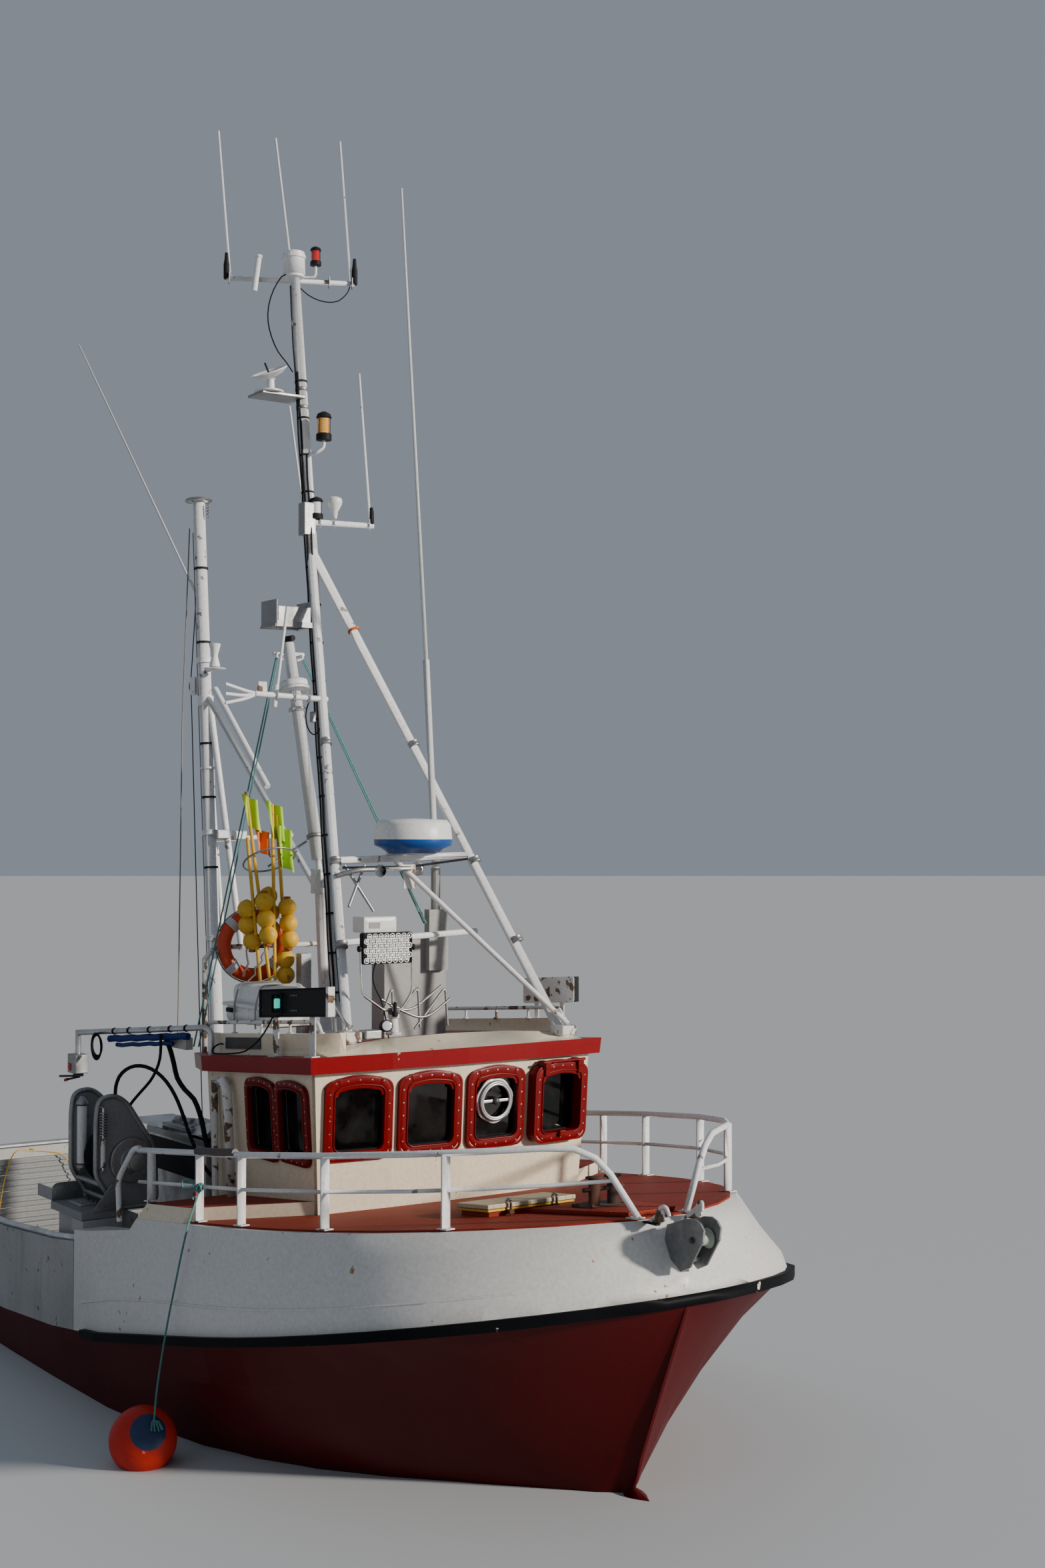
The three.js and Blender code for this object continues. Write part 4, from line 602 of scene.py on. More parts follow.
# %% Painted finishes
COATS = [
    # name, paint, dirt, under, clouds, streaks, flakes, gloss
    ("hull_red", (0.072, 0.0006, 0.0012), (0.022, 0.001, 0.0015), (0.05, 0.01, 0.008),
     0.30, 0.25, 0.0, 0.42),
    ("topside_white", (0.70, 0.69, 0.67), (0.44, 0.40, 0.34), (0.34, 0.20, 0.10), 0.18, 0.20, 0.01, 0.30),
    ("scuffed_white", (0.46, 0.45, 0.44), (0.15, 0.145, 0.145), (0.14, 0.13, 0.14), 0.75, 0.80, 0.14, 0.42),
    ("deck_red", (0.270, 0.024, 0.010), (0.14, 0.046, 0.028), (0.16, 0.10, 0.07), 0.50, 0.10, 0.10, 0.55),
    ("wheelhouse_cream", (0.82, 0.71, 0.54), (0.52, 0.43, 0.31), (0.30, 0.13, 0.06),
     0.18, 0.22, 0.01, 0.30),
    ("visor_red", (0.250, 0.0015, 0.005), (0.10, 0.010, 0.012), (0.45, 0.40, 0.35), 0.25, 0.15, 0.01, 0.28),
    ("frame_red", (0.185, 0.0015, 0.0025), (0.08, 0.008, 0.009), (0.20, 0.05, 0.03),
     0.30, 0.20, 0.03, 0.25),
    ("flaking_white", (0.76, 0.75, 0.73), (0.35, 0.34, 0.32), (0.13, 0.085, 0.06), 0.35, 0.40, 0.52, 0.42),
    ("mast_white", (0.84, 0.85, 0.86), (0.42, 0.41, 0.39), (0.20, 0.19, 0.18), 0.30, 0.35, 0.16, 0.38),
    # Painted shade: the lining, sole and console are set very dark, standing for the shade inside the wheelhouse.
    ("cabin_lining", (0.060, 0.040, 0.026), (0.04, 0.026, 0.018), (0.04, 0.026, 0.018),
     0.25, 0.05, 0.0, 0.45),
    ("machine_grey", (0.25, 0.255, 0.26), (0.11, 0.10, 0.095), (0.12, 0.09, 0.07), 0.40, 0.30, 0.06, 0.42),
    ("casing_grey", (0.36, 0.36, 0.35), (0.17, 0.165, 0.16), (0.20, 0.15, 0.12), 0.45, 0.40, 0.04, 0.42),
    ("roller_green", (0.40, 0.45, 0.38), (0.20, 0.22, 0.19), (0.20, 0.16, 0.12), 0.40, 0.30, 0.05, 0.45),
    ("hatch_cream", (0.62, 0.53, 0.36), (0.35, 0.27, 0.16), (0.20, 0.13, 0.06), 0.50, 0.40, 0.06, 0.45),
    ("rail_black", (0.004, 0.0045, 0.006), (0.016, 0.016, 0.018), (0.45, 0.44, 0.42),
     0.35, 0.25, 0.02, 0.42),
    ("radar_blue", (0.006, 0.075, 0.32), (0.05, 0.10, 0.20), (0.60, 0.60, 0.60), 0.20, 0.20, 0.03, 0.30),
    ("shell_white", (0.80, 0.80, 0.79), (0.50, 0.50, 0.48), (0.50, 0.50, 0.48), 0.22, 0.18, 0.0, 0.30),
    ("buoy_orange", (0.62, 0.055, 0.014), (0.30, 0.05, 0.02), (0.50, 0.20, 0.12), 0.30, 0.20, 0.04, 0.40),
    ("float_yellow", (0.74, 0.43, 0.025), (0.34, 0.20, 0.05), (0.20, 0.13, 0.06), 0.45, 0.30, 0.08, 0.42),
    ("fender_red", (0.55, 0.026, 0.016), (0.25, 0.02, 0.02), (0.50, 0.18, 0.14), 0.30, 0.15, 0.03, 0.35),
    ("signal_red", (0.45, 0.008, 0.008), (0.30, 0.04, 0.04), (0.50, 0.40, 0.35), 0.20, 0.10, 0.02, 0.30),
    ("navy_blue", (0.012, 0.03, 0.10), (0.05, 0.06, 0.09), (0.10, 0.10, 0.12), 0.30, 0.20, 0.05, 0.40),
    ("black_plastic", (0.018, 0.018, 0.020), (0.09, 0.09, 0.09), (0.09, 0.09, 0.09),
     0.35, 0.25, 0.04, 0.42),
    ("black_rubber", (0.012, 0.012, 0.014), (0.06, 0.06, 0.06), (0.16, 0.16, 0.16), 0.40, 0.30, 0.08, 0.55),
    ("hose_blue", (0.004, 0.022, 0.17), (0.08, 0.09, 0.14), (0.03, 0.03, 0.05), 0.35, 0.20, 0.10, 0.55),
]

finish = {}
for name, paint, dirt, under, clouds, streaks, flakes, gloss in COATS:
    coat = bpy.data.materials.new(name)
    coat.use_nodes = True
    tree = coat.node_tree
    shader = tree.nodes["Principled BSDF"]
    shine = 0.14 if "red" in name else 0.06 if "black" in name else 0.35
    shader.inputs["Specular IOR Level"].default_value = shine
    worn = node(tree, "ShaderNodeGroup", node_tree=worn_paint)
    for label, colour in (("Paint", paint), ("Dirt", dirt), ("Under", under)):
        worn.inputs[label].default_value = (*colour, 1)
    for label, amount in (("Clouds", clouds), ("Streaks", streaks), ("Flakes", flakes), ("Gloss", gloss)):
        worn.inputs[label].default_value = amount
    bump = node(
        tree, "ShaderNodeBump", {"Height": worn.outputs["Height"], "Strength": 0.25, "Distance": 0.002})
    tree.links.new(worn.outputs["Color"], shader.inputs["Base Color"])
    tree.links.new(worn.outputs["Roughness"], shader.inputs["Roughness"])
    tree.links.new(bump.outputs["Normal"], shader.inputs["Normal"])
    finish[name] = coat
print("painted finishes:", len(COATS))

# %% Chequered deck and hatch finishes
# The same coats, with the lozenges added to the height before the bump, and painted paler on
# their raised tops as a painted highlight.
for name, base, pitch in (("deck_nonslip", "deck_red", 0.040), ("hatch_nonslip", "hatch_cream", 0.030)):
    coat = finish[base].copy()
    coat.name = name
    tree = coat.node_tree
    worn = next(item for item in tree.nodes if item.type == "GROUP")
    bump = next(item for item in tree.nodes if item.type == "BUMP")
    plate = node(tree, "ShaderNodeGroup", {}, node_tree=chequer_plate)
    plate.inputs["Pitch"].default_value = pitch
    relief = math_node(tree, "ADD", worn.outputs["Height"], plate.outputs["Height"])
    tree.links.new(relief, bump.inputs["Height"])
    bump.inputs["Strength"].default_value = 1.0
    bump.inputs["Distance"].default_value = 0.005
    # Painted highlight: the raised lozenges are painted paler, standing for light on their tops.
    painted_lozenge_highlight = math_node(tree, "MULTIPLY", plate.outputs["Height"], 0.32)
    paler = mix_colour(tree, painted_lozenge_highlight, worn.outputs["Color"], (0.62, 0.22, 0.13, 1))
    tree.links.new(paler, tree.nodes["Principled BSDF"].inputs["Base Color"])
    finish[name] = coat
print("chequered finishes: deck_nonslip, hatch_nonslip")

# %% Bare metals
METALS = [
    # name, metal, stain, crystal, stains, dullness, metallic
    ("galvanised", (0.31, 0.315, 0.32), (0.30, 0.27, 0.24), 70.0, 0.35, 0.42, 0.85),
    ("aluminium_plate", (0.60, 0.61, 0.62), (0.30, 0.28, 0.26), 9.0, 0.50, 0.38, 0.80),
    ("polished_steel", (0.66, 0.66, 0.65), (0.40, 0.34, 0.28), 30.0, 0.20, 0.16, 1.0),
    ("rusty_steel", (0.035, 0.020, 0.017), (0.115, 0.038, 0.016), 26.0, 0.75, 0.65, 0.15),
    ("weathered_zinc", (0.21, 0.215, 0.22), (0.10, 0.09, 0.08), 34.0, 0.60, 0.46, 0.60),
    ("dark_iron", (0.07, 0.072, 0.078), (0.16, 0.10, 0.07), 40.0, 0.45, 0.50, 0.55),
    ("bronze", (0.45, 0.30, 0.13), (0.12, 0.16, 0.12), 20.0, 0.40, 0.32, 1.0),
]

for name, metal, stain, crystal, stains, dullness, metallic in METALS:
    bare = bpy.data.materials.new(name)
    bare.use_nodes = True
    tree = bare.node_tree
    shader = tree.nodes["Principled BSDF"]
    worn = node(tree, "ShaderNodeGroup", node_tree=bare_metal)
    worn.inputs["Metal"].default_value = (*metal, 1)
    worn.inputs["Stain"].default_value = (*stain, 1)
    for label, amount in (("Crystal", crystal), ("Stains", stains), ("Dullness", dullness)):
        worn.inputs[label].default_value = amount
    bump = node(
        tree, "ShaderNodeBump", {"Height": worn.outputs["Height"], "Strength": 0.2, "Distance": 0.001})
    tree.links.new(worn.outputs["Color"], shader.inputs["Base Color"])
    tree.links.new(worn.outputs["Roughness"], shader.inputs["Roughness"])
    tree.links.new(bump.outputs["Normal"], shader.inputs["Normal"])
    shader.inputs["Metallic"].default_value = metallic
    finish[name] = bare
print("bare metals:", len(METALS))

# %% Ropes
ROPES = [
    # name, fibre, turns along the piece's own V
    ("teal_rope", (0.17, 0.50, 0.47), 60.0),
    ("grey_rope", (0.36, 0.34, 0.30), 60.0),
    ("orange_rope", (0.75, 0.20, 0.04), 60.0),
]

for name, fibre, turns in ROPES:
    laid = bpy.data.materials.new(name)
    laid.use_nodes = True
    tree = laid.node_tree
    shader = tree.nodes["Principled BSDF"]
    lay = node(tree, "ShaderNodeGroup", node_tree=laid_rope)
    lay.inputs["Fibre"].default_value = (*fibre, 1)
    lay.inputs["Turns"].default_value = turns
    bump = node(
        tree, "ShaderNodeBump", {"Height": lay.outputs["Height"], "Strength": 0.8, "Distance": 0.003})
    tree.links.new(lay.outputs["Color"], shader.inputs["Base Color"])
    tree.links.new(bump.outputs["Normal"], shader.inputs["Normal"])
    shader.inputs["Roughness"].default_value = 0.75
    finish[name] = laid
print("ropes:", [row[0] for row in ROPES])

# %% Glass, lenses and lamps
CLEAR = [
    # name, colour, roughness, metallic, coat, alpha, glow
    # Painted shade: the window glass is a near-black, almost opaque sheet that stands for the dark cabin behind it.
    ("window_glass", (0.0015, 0.0015, 0.0018), 0.03, 0.0, 0.0, 0.95, 0.0),
    ("lens_glass", (0.70, 0.74, 0.78), 0.08, 0.30, 1.0, 1.0, 0.0),
    ("lens_red", (0.50, 0.01, 0.01), 0.08, 0.0, 1.0, 1.0, 0.15),
    ("lens_amber", (0.75, 0.36, 0.06), 0.08, 0.0, 1.0, 1.0, 0.10),
    ("lens_green", (0.0, 0.35, 0.25), 0.08, 0.0, 1.0, 1.0, 1.6),
    ("lens_white", (0.82, 0.84, 0.86), 0.08, 0.0, 1.0, 1.0, 0.0),
]

for name, colour, roughness, metallic, coat, alpha, glow in CLEAR:
    clear = bpy.data.materials.new(name)
    clear.use_nodes = True
    tree = clear.node_tree
    shader = tree.nodes["Principled BSDF"]
    place = node(tree, "ShaderNodeTexCoord").outputs["Object"]
    smear = step(tree, noise(tree, place, 6, 8), 0.45, 0.8)
    salt = mix_colour(tree, math_node(tree, "MULTIPLY", smear, 0.03), (*colour, 1), (0.5, 0.5, 0.5, 1))
    tree.links.new(salt, shader.inputs["Base Color"])
    tree.links.new(step(tree, smear, 0, 1, roughness, roughness + 0.12), shader.inputs["Roughness"])
    shader.inputs["Metallic"].default_value = metallic
    shader.inputs["Coat Weight"].default_value = coat
    shader.inputs["Coat Roughness"].default_value = 0.03
    shader.inputs["Specular IOR Level"].default_value = 0.2 if name == "window_glass" else 0.5
    shader.inputs["Alpha"].default_value = alpha
    shader.inputs["Emission Color"].default_value = (*colour, 1)
    shader.inputs["Emission Strength"].default_value = glow
    finish[name] = clear
print("glass and lenses:", len(CLEAR))

# %% Plain fabrics
WEBBING = [
    # name, thread, darker thread
    ("grey_strap", (0.35, 0.35, 0.34), (0.16, 0.16, 0.16)),
    ("lime_cloth", (0.47, 0.72, 0.03), (0.30, 0.50, 0.02)),
    ("orange_cloth", (0.85, 0.20, 0.03), (0.55, 0.12, 0.02)),
    ("reflective_tape", (0.55, 0.57, 0.60), (0.38, 0.39, 0.42)),
]

for name, thread, dark_thread in WEBBING:
    woven = bpy.data.materials.new(name)
    woven.use_nodes = True
    tree = woven.node_tree
    shader = tree.nodes["Principled BSDF"]
    place = node(tree, "ShaderNodeTexCoord").outputs["Object"]
    weave = node(tree, "ShaderNodeTexVoronoi", {"Vector": place, "Scale": 220.0}).outputs["Distance"]
    soiled = step(tree, noise(tree, place, 6, 6), 0.4, 0.75)
    shade = mix_colour(tree, math_node(tree, "MULTIPLY", weave, 0.8), (*thread, 1), (*dark_thread, 1))
    tree.links.new(mix_colour(tree, math_node(tree, "MULTIPLY", soiled, 0.35), shade, (*dark_thread, 1)),
                   shader.inputs["Base Color"])
    bump = node(tree, "ShaderNodeBump", {"Height": weave, "Strength": 0.3, "Distance": 0.001})
    tree.links.new(bump.outputs["Normal"], shader.inputs["Normal"])
    shader.inputs["Roughness"].default_value = 0.7
    finish[name] = woven
print("fabrics:", [row[0] for row in WEBBING])

# %% [markdown]
# ## Dressing the CAD parts
# Where the CAD shape is already right, the part only gets its coat. Each row names the coat and the
# parts that wear it.

# %% Coats of the CAD parts
DRESSED = [
    # finish, CAD nodes
    ("topside_white", ["forecastle"]),
    ("scuffed_white", ["bulwark"]),
    ("hull_red", ["hull", "rudder"]),
    ("black_rubber", ["rub_rail"]),
    ("deck_nonslip", ["foredeck", "side_deck_starboard", "side_deck_port"]),
    ("aluminium_plate", ["bulwark_cap", "working_deck", "hold_coaming", "hold_lid", "hauling_bin"]),
    ("wheelhouse_cream", ["front_wall", "starboard_wall", "port_wall", "aft_wall", "wheelhouse_door"]),
    ("deck_red", ["hatch_coaming"]),
    ("hatch_nonslip", ["hatch_lid"]),
    ("visor_red", ["roof"]),
    ("window_glass", ["front_glass_1", "front_glass_2", "front_glass_3", "front_glass_4"]),
    ("window_glass", ["starboard_glass", "port_glass"]),
    ("cabin_lining", ["sole", "helm_console"]),
    ("black_plastic", ["helm_seat", "nav_screen_starboard"]),
    ("machine_grey", ["engine", "hauler_frame", "control_arm"]),
    ("rusty_steel", ["bitts"]),
    ("dark_iron", ["roller_cheeks", "hauler_sheave"]),
    ("polished_steel", ["bow_roller"]),
    ("mast_white", ["bow_rail_starboard", "bow_rail_port", "main_mast", "boom_post", "boom",
     "aft_mast", "aft_rail"]),
    ("shell_white", ["tall_whip", "life_raft", "nav_screen_port", "radar_dome"]),
    ("galvanised", ["roof_post"]),
    ("black_plastic", ["floodlight"]),
    ("flaking_white", ["exhaust_pipe", "vent_pipe", "guide_roller"]),
    ("buoy_orange", ["lifebuoy"]),
    ("float_yellow", ["dan_buoys"]),
    ("fender_red", ["fender"]),
    ("casing_grey", ["trunk"]),
    ("black_rubber", ["hauler_hose"]),
    ("bronze", ["propeller"]),
]

dressed = set()
for name, parts in DRESSED:
    for part in parts:
        nodes[part].data.materials.clear()
        nodes[part].data.materials.append(finish[name])
        dressed.add(part)
print("dressed:", len(dressed), "of", len(nodes), "left:", sorted(set(nodes) - dressed))

# %% [markdown]
# ## Modelling helpers
# A Blender operator acts on all that is selected, so each helper first leaves edit mode and
# deselects everything. Faces and edges are then chosen by their place or their direction. A
# finished piece keeps its place in its mesh and its object at the origin, as the CAD parts do.

# %% Selecting and settling
AHEAD, ACROSS, UP = (1, 0, 0), (0, 1, 0), (0, 0, 1)


def begin():
    """Leaves edit mode and deselects everything."""
    if bpy.context.object and bpy.context.object.mode != "OBJECT":
        bpy.ops.object.mode_set(mode="OBJECT")
    bpy.ops.object.select_all(action="DESELECT")


def take(*pieces):
    """Selects only these pieces; the first one is active."""
    begin()
    for piece in pieces:
        piece.select_set(True)
    bpy.context.view_layer.objects.active = pieces[0]


def choose(piece, part, rule):
    """Opens edit mode with the faces, edges or corners selected whose place and direction fit the rule."""
    take(piece)
    bpy.ops.object.mode_set(mode="EDIT")
    bpy.ops.mesh.select_mode(type=part)
    bpy.ops.mesh.select_all(action="DESELECT")
    bpy.ops.object.mode_set(mode="OBJECT")
    corners = piece.data.vertices
    if part == "FACE":
        for face in piece.data.polygons:
            face.select = rule(face.center, face.normal)
    elif part == "EDGE":
        for edge in piece.data.edges:
            start, end = [corners[index].co for index in edge.vertices]
            edge.select = rule((start + end) / 2, (end - start).normalized())
    else:
        for corner in corners:
            corner.select = rule(corner.co, corner.normal)
    bpy.ops.object.mode_set(mode="EDIT")


def edit_all(piece):
    """Opens edit mode with everything selected."""
    choose(piece, "VERT", lambda place, normal: True)


def done():
    """Closes edit mode."""
    bpy.ops.object.mode_set(mode="OBJECT")


def settle(piece):
    """Puts the object's place, turn and size into the mesh."""
    take(piece)
    bpy.ops.object.transform_apply(location=True, rotation=True, scale=True)


def smooth(piece, angle=35):
    """Shades soft across edges flatter than the angle."""
    take(piece)
    bpy.ops.object.shade_smooth_by_angle(angle=math.radians(angle))
    return piece


def coat(piece, name):
    """Gives a piece one of the finishes."""
    piece.data.materials.clear()
    piece.data.materials.append(finish[name])
    return piece


def joined(name, pieces):
    """Makes one piece of several; each part of it keeps its own finish."""
    take(*pieces)
    if len(pieces) > 1:
        bpy.ops.object.join()
    pieces[0].name = name
    return pieces[0]


def fit(piece, body, slot, stands_for=()):
    """Mounts a finished piece on a body of the boat, and hides the CAD parts that it stands for."""
    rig.ride(piece, body)
    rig.slot(piece, slot)
    if stands_for:
        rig.replaces(piece, *stands_for)
    return piece


print("modelling helpers ready")

# %% Blocks, rods and turned shapes
def block(name, low, high, edge=0.004):
    """A cube drawn to two opposite corners, with its edges bevelled."""
    begin()
    low, high = Vector(low), Vector(high)
    bpy.ops.mesh.primitive_cube_add(size=1, location=(low + high) / 2, scale=high - low)
    piece = bpy.context.object
    piece.name = name
    settle(piece)
    edit_all(piece)
    bpy.ops.mesh.bevel(offset=edge, segments=2, affect="EDGES")
    done()
    return piece


def place_on(piece, base, direction):
    """Turns a piece's Z axis to the direction and moves its origin to the base."""
    turn = Vector(direction).to_track_quat("Z", "Y").to_matrix().to_4x4()
    piece.data.transform(Matrix.Translation(base) @ turn)
    return piece


def turned(name, profile, sides=24, base=(0, 0, 0), direction=(0, 0, 1)):
    """A disc extruded and resized along a profile of (radius, height), like work on a lathe."""
    begin()
    radius, height = profile[0]
    bpy.ops.mesh.primitive_circle_add(
        vertices=sides, radius=radius, fill_type="NGON", location=(0, 0, height))
    piece = bpy.context.object
    piece.name = name
    settle(piece)
    edit_all(piece)
    for next_radius, next_height in profile[1:]:
        rise = (0, 0, next_height - height)
        bpy.ops.mesh.extrude_region_move(TRANSFORM_OT_translate={"value": rise})
        share = next_radius / radius
        bpy.ops.transform.resize(value=(share, share, 1), center_override=(0, 0, next_height))
        radius, height = next_radius, next_height
    bpy.ops.mesh.select_all(action="SELECT")
    bpy.ops.mesh.normals_make_consistent(inside=False)
    done()
    return smooth(place_on(piece, base, direction))


def rod(name, start, end, radius, sides=16, edge=0.003):
    """A round bar between two points, with a small bevel at its ends."""
    start, end = Vector(start), Vector(end)
    length = (end - start).length
    profile = [(radius - edge, 0), (radius, edge), (radius, length - edge), (radius - edge, length)]
    return turned(name, profile, sides, start, end - start)


print("blocks, rods and turned shapes ready")

# %% [markdown]
# Sheet metal is cut to an outline. A filled circle has as many corners as the outline, each corner
# moves to its place, and the face is extruded to the plate's thickness.

# %% Plates cut to an outline
SQUARE_ON = 0.9  # the cosine beyond which a face counts as facing straight along an axis


def cut_plate(name, outline, thick, edge=0.003):
    """A flat plate, X across and Y up, with its cut edges eased."""
    begin()
    bpy.ops.mesh.primitive_circle_add(vertices=len(outline), radius=1, fill_type="NGON")
    piece = bpy.context.object
    piece.name = name
    for corner, spot in zip(piece.data.vertices, outline):
        corner.co = (spot[0], spot[1], 0)
    edit_all(piece)
    bpy.ops.mesh.extrude_region_move(TRANSFORM_OT_translate={"value": (0, 0, thick)})
    bpy.ops.mesh.select_all(action="SELECT")
    bpy.ops.mesh.normals_make_consistent(inside=False)
    choose(piece, "FACE", lambda place, normal: abs(normal.z) > SQUARE_ON)
    bpy.ops.mesh.region_to_loop()
    bpy.ops.mesh.bevel(offset=edge, segments=2, affect="EDGES")
    done()
    return smooth(piece, 30)


def stand(piece, origin, across, up):
    """Carries a flat model's X and Y onto two directions at the origin."""
    across, up = Vector(across).normalized(), Vector(up).normalized()
    turn = Matrix((across, up, across.cross(up))).transposed().to_4x4()
    piece.data.transform(Matrix.Translation(origin) @ turn)
    return piece


print("plates ready")

# %% [markdown]
# Pipes and cables are sweeps: a curve through the points with a round section, turned into a mesh
# when it has its shape. Corners are rounded by an arc of the pipe's own bending radius.

# %% Pipes and rounded corners
ARC_STEPS = 5
ARC_REACH = 0.48  # share of a straight run that one arc may take


def rounded(points, bend):
    """Replaces each inner corner of a line by an arc."""
    points = [Vector(point) for point in points]
    line = [points[0]]
    for before, corner, after in zip(points, points[1:], points[2:]):
        reach = min(bend, (before - corner).length * ARC_REACH, (after - corner).length * ARC_REACH)
        start = corner + (before - corner).normalized() * reach
        end = corner + (after - corner).normalized() * reach
        for count in range(ARC_STEPS + 1):
            share = count / ARC_STEPS
            line.append(start.lerp(corner, share).lerp(corner.lerp(end, share), share))
    return line + [points[-1]]


def closed_line(corners, bend):
    """A closed line with its corners rounded."""
    return rounded([corners[-1], *corners, corners[0]], bend)[1:-1]


def sagging(start, end, sag, steps=16):
    """A line that hangs between two points, lowest in the middle."""
    start, end = Vector(start), Vector(end)
    line = []
    for count in range(steps + 1):
        share = count / steps
        drop = 4 * sag * share * (1 - share)
        line.append(start.lerp(end, share) - Vector((0, 0, drop)))
    return line


def pipe(name, points, radius, roundness=3):
    """A swept tube as a mesh, with soft shading."""
    piece = sweep(name, points, radius, roundness)
    take(piece)
    bpy.ops.object.convert(target="MESH")
    return smooth(bpy.context.object, 50)


print("pipes and corners ready")

# %% [markdown]
# Bolts repeat by the dozen. One hexagon head on its washer is turned with six sides, and each copy
# has its own mesh, moved to its place and turned to its face.

# %% Copies and bolts
def copies(model, places):
    """Copies a model to each (place, direction) and removes the model."""
    twins = []
    for place, direction in places:
        twin = model.copy()
        twin.data = model.data.copy()
        bpy.context.collection.objects.link(twin)
        twins.append(place_on(twin, place, direction))
    bpy.data.objects.remove(model)
    return twins


def bolts(name, places, radius=0.008, metal="galvanised"):
    """Hexagon bolt heads on washers at each (place, direction), as one piece."""
    profile = [(radius * 1.5, -0.002), (radius * 1.5, radius * 0.3), (radius, radius * 0.32)]
    profile += [(radius, radius * 0.9), (radius * 0.7, radius)]
    model = turned(name + "_model", profile, 6)
    coat(model, metal)
    return joined(name, copies(model, places))


print("bolts ready")

# %% [markdown]
# ## Skins: curved CAD parts with a soft surface
# A CAD part arrives as loose flat triangles, which is right for a plate and wrong for a rounded bow.
# A welded copy with soft shading across its flat edges stands for such a part, and its faces can
# take more than one finish.

# %% Welded copies of CAD parts
WELD_DISTANCE = 0.00005


def skin(part, angle, *coats):
    """A welded copy of a CAD part, smooth below the angle, that stands for the part."""
    begin()
    piece = nodes[part].copy()
    piece.data = nodes[part].data.copy()
    piece.name = part + "_skin"
    piece.parent = None
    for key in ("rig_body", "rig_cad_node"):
        if key in piece:
            del piece[key]
    bpy.context.collection.objects.link(piece)
    edit_all(piece)
    bpy.ops.mesh.remove_doubles(threshold=WELD_DISTANCE)
    done()
    smooth(piece, angle)
    piece.data.materials.clear()
    for name in coats:
        piece.data.materials.append(finish[name])
    return piece


def paint_faces(piece, index, rule):
    """Gives the faces that fit the rule the finish with that number."""
    count = 0
    for face in piece.data.polygons:
        if rule(face.center, face.normal):
            face.material_index = index
            count += 1
    print(piece.name, "faces painted:", count)


SKINS = [
    # CAD part, body, smooth below, finish
    ("forecastle", "boat", 22, "topside_white"),
    ("bow_rail_starboard", "boat", 50, "mast_white"),
    ("bow_rail_port", "boat", 50, "mast_white"),
    ("bitts", "boat", 40, "rusty_steel"),
    ("rub_rail", "boat", 40, "rail_black"),
    ("bulwark", "boat", 24, "scuffed_white"),
    ("bulwark_cap", "boat", 30, "aluminium_plate"),
    ("main_mast", "boat", 40, "mast_white"),
    ("boom_post", "boat", 40, "mast_white"),
    ("aft_mast", "boat", 40, "mast_white"),
    ("boom", "boom", 40, "mast_white"),
    ("aft_rail", "boat", 40, "flaking_white"),
    ("exhaust_pipe", "boat", 40, "flaking_white"),
    ("vent_pipe", "boat", 40, "flaking_white"),
    ("tall_whip", "boat", 40, "shell_white"),
    ("propeller", "propeller", 35, "bronze"),
]

for part, body, angle, name in SKINS:
    fit(skin(part, angle, name), body, part, [part])
print("skins:", len(SKINS))

# %% [markdown]
# The hull carries two paints. The red topsides run down to just under the waterline, and the bottom
# below is a dull dark antifouling. The line between them is level, so it is a rule on height alone.

# %% Hull with its boot line
BOOT_LINE = -0.02

hull = skin("hull", 24, "hull_red", "navy_blue")
edit_all(hull)
bpy.ops.mesh.bisect(plane_co=(0, 0, BOOT_LINE), plane_no=(0, 0, 1))
done()
paint_faces(hull, 1, lambda place, normal: place.z < BOOT_LINE)
fit(hull, "boat", "hull", ["hull"])

plating = skin("foredeck", 20, "deck_nonslip", "deck_red")
paint_faces(plating, 1, lambda place, normal: normal.z < 0.5)
fit(plating, "boat", "foredeck", ["foredeck"])
for label in ("starboard", "port"):
    deck = skin(f"side_deck_{label}", 20, "deck_nonslip", "wheelhouse_cream")
    paint_faces(deck, 1, lambda place, normal: normal.z < 0.85)
    fit(deck, "boat", f"side_deck_{label}", [f"side_deck_{label}"])

# %% [markdown]
# The roof is one plate with three coats: a red visor and a red top, and cream on the raised
# coamings and on the slope between the visor and the top.

# %% Roof in red and cream
HOUSE_TOP = 2.640
HOUSE_SLOPE = 0.08
HOUSE_FRONT = 2.740


def house_top(x):
    """Height of the wheelhouse walls' top at x; the roof follows the same slope."""
    return HOUSE_TOP - HOUSE_SLOPE * (HOUSE_FRONT - x)


def is_cream(place, normal):
    above_visor = place.z > house_top(place.x) + 0.1215
    on_coaming = abs(place.y) > 0.955 and place.x < 2.72
    return above_visor and (on_coaming or place.x > 2.535)


roof = skin("roof", 20, "visor_red", "wheelhouse_cream")
paint_faces(roof, 1, is_cream)
fit(roof, "boat", "roof", ["roof"])

# %% [markdown]
# ## Windows
# The four front windows and the four side windows sit in red steel frames: a plate with rounded
# corners and a slightly arched top, its middle cut out, bolted through a flange. One frame is
# modelled flat, X across and Y up, and copied to each window's place on its leaning wall. The plate
# is a plane with bevelled corners and an inset; the arch lifts the middle of the top edge.

# %% Window frame
def window_plate(name, width, height, arch, corner):
    """A flat face with rounded corners and an arched top."""
    begin()
    bpy.ops.mesh.primitive_plane_add(size=1)
    piece = bpy.context.object
    piece.name = name
    piece.scale = (width, height, 1)
    settle(piece)
    edit_all(piece)
    bpy.ops.mesh.bevel(offset=corner, segments=6, affect="VERTICES")
    top = height * 0.49
    choose(piece, "EDGE", lambda place, run: place.y > top and abs(run.x) > 0.99)
    bpy.ops.mesh.subdivide(number_cuts=9)
    done()
    flat = width / 2 - corner
    for point in piece.data.vertices:
        if point.co.y > top and abs(point.co.x) < flat:
            point.co.y += arch * (1 - (point.co.x / flat) ** 2)
    return piece


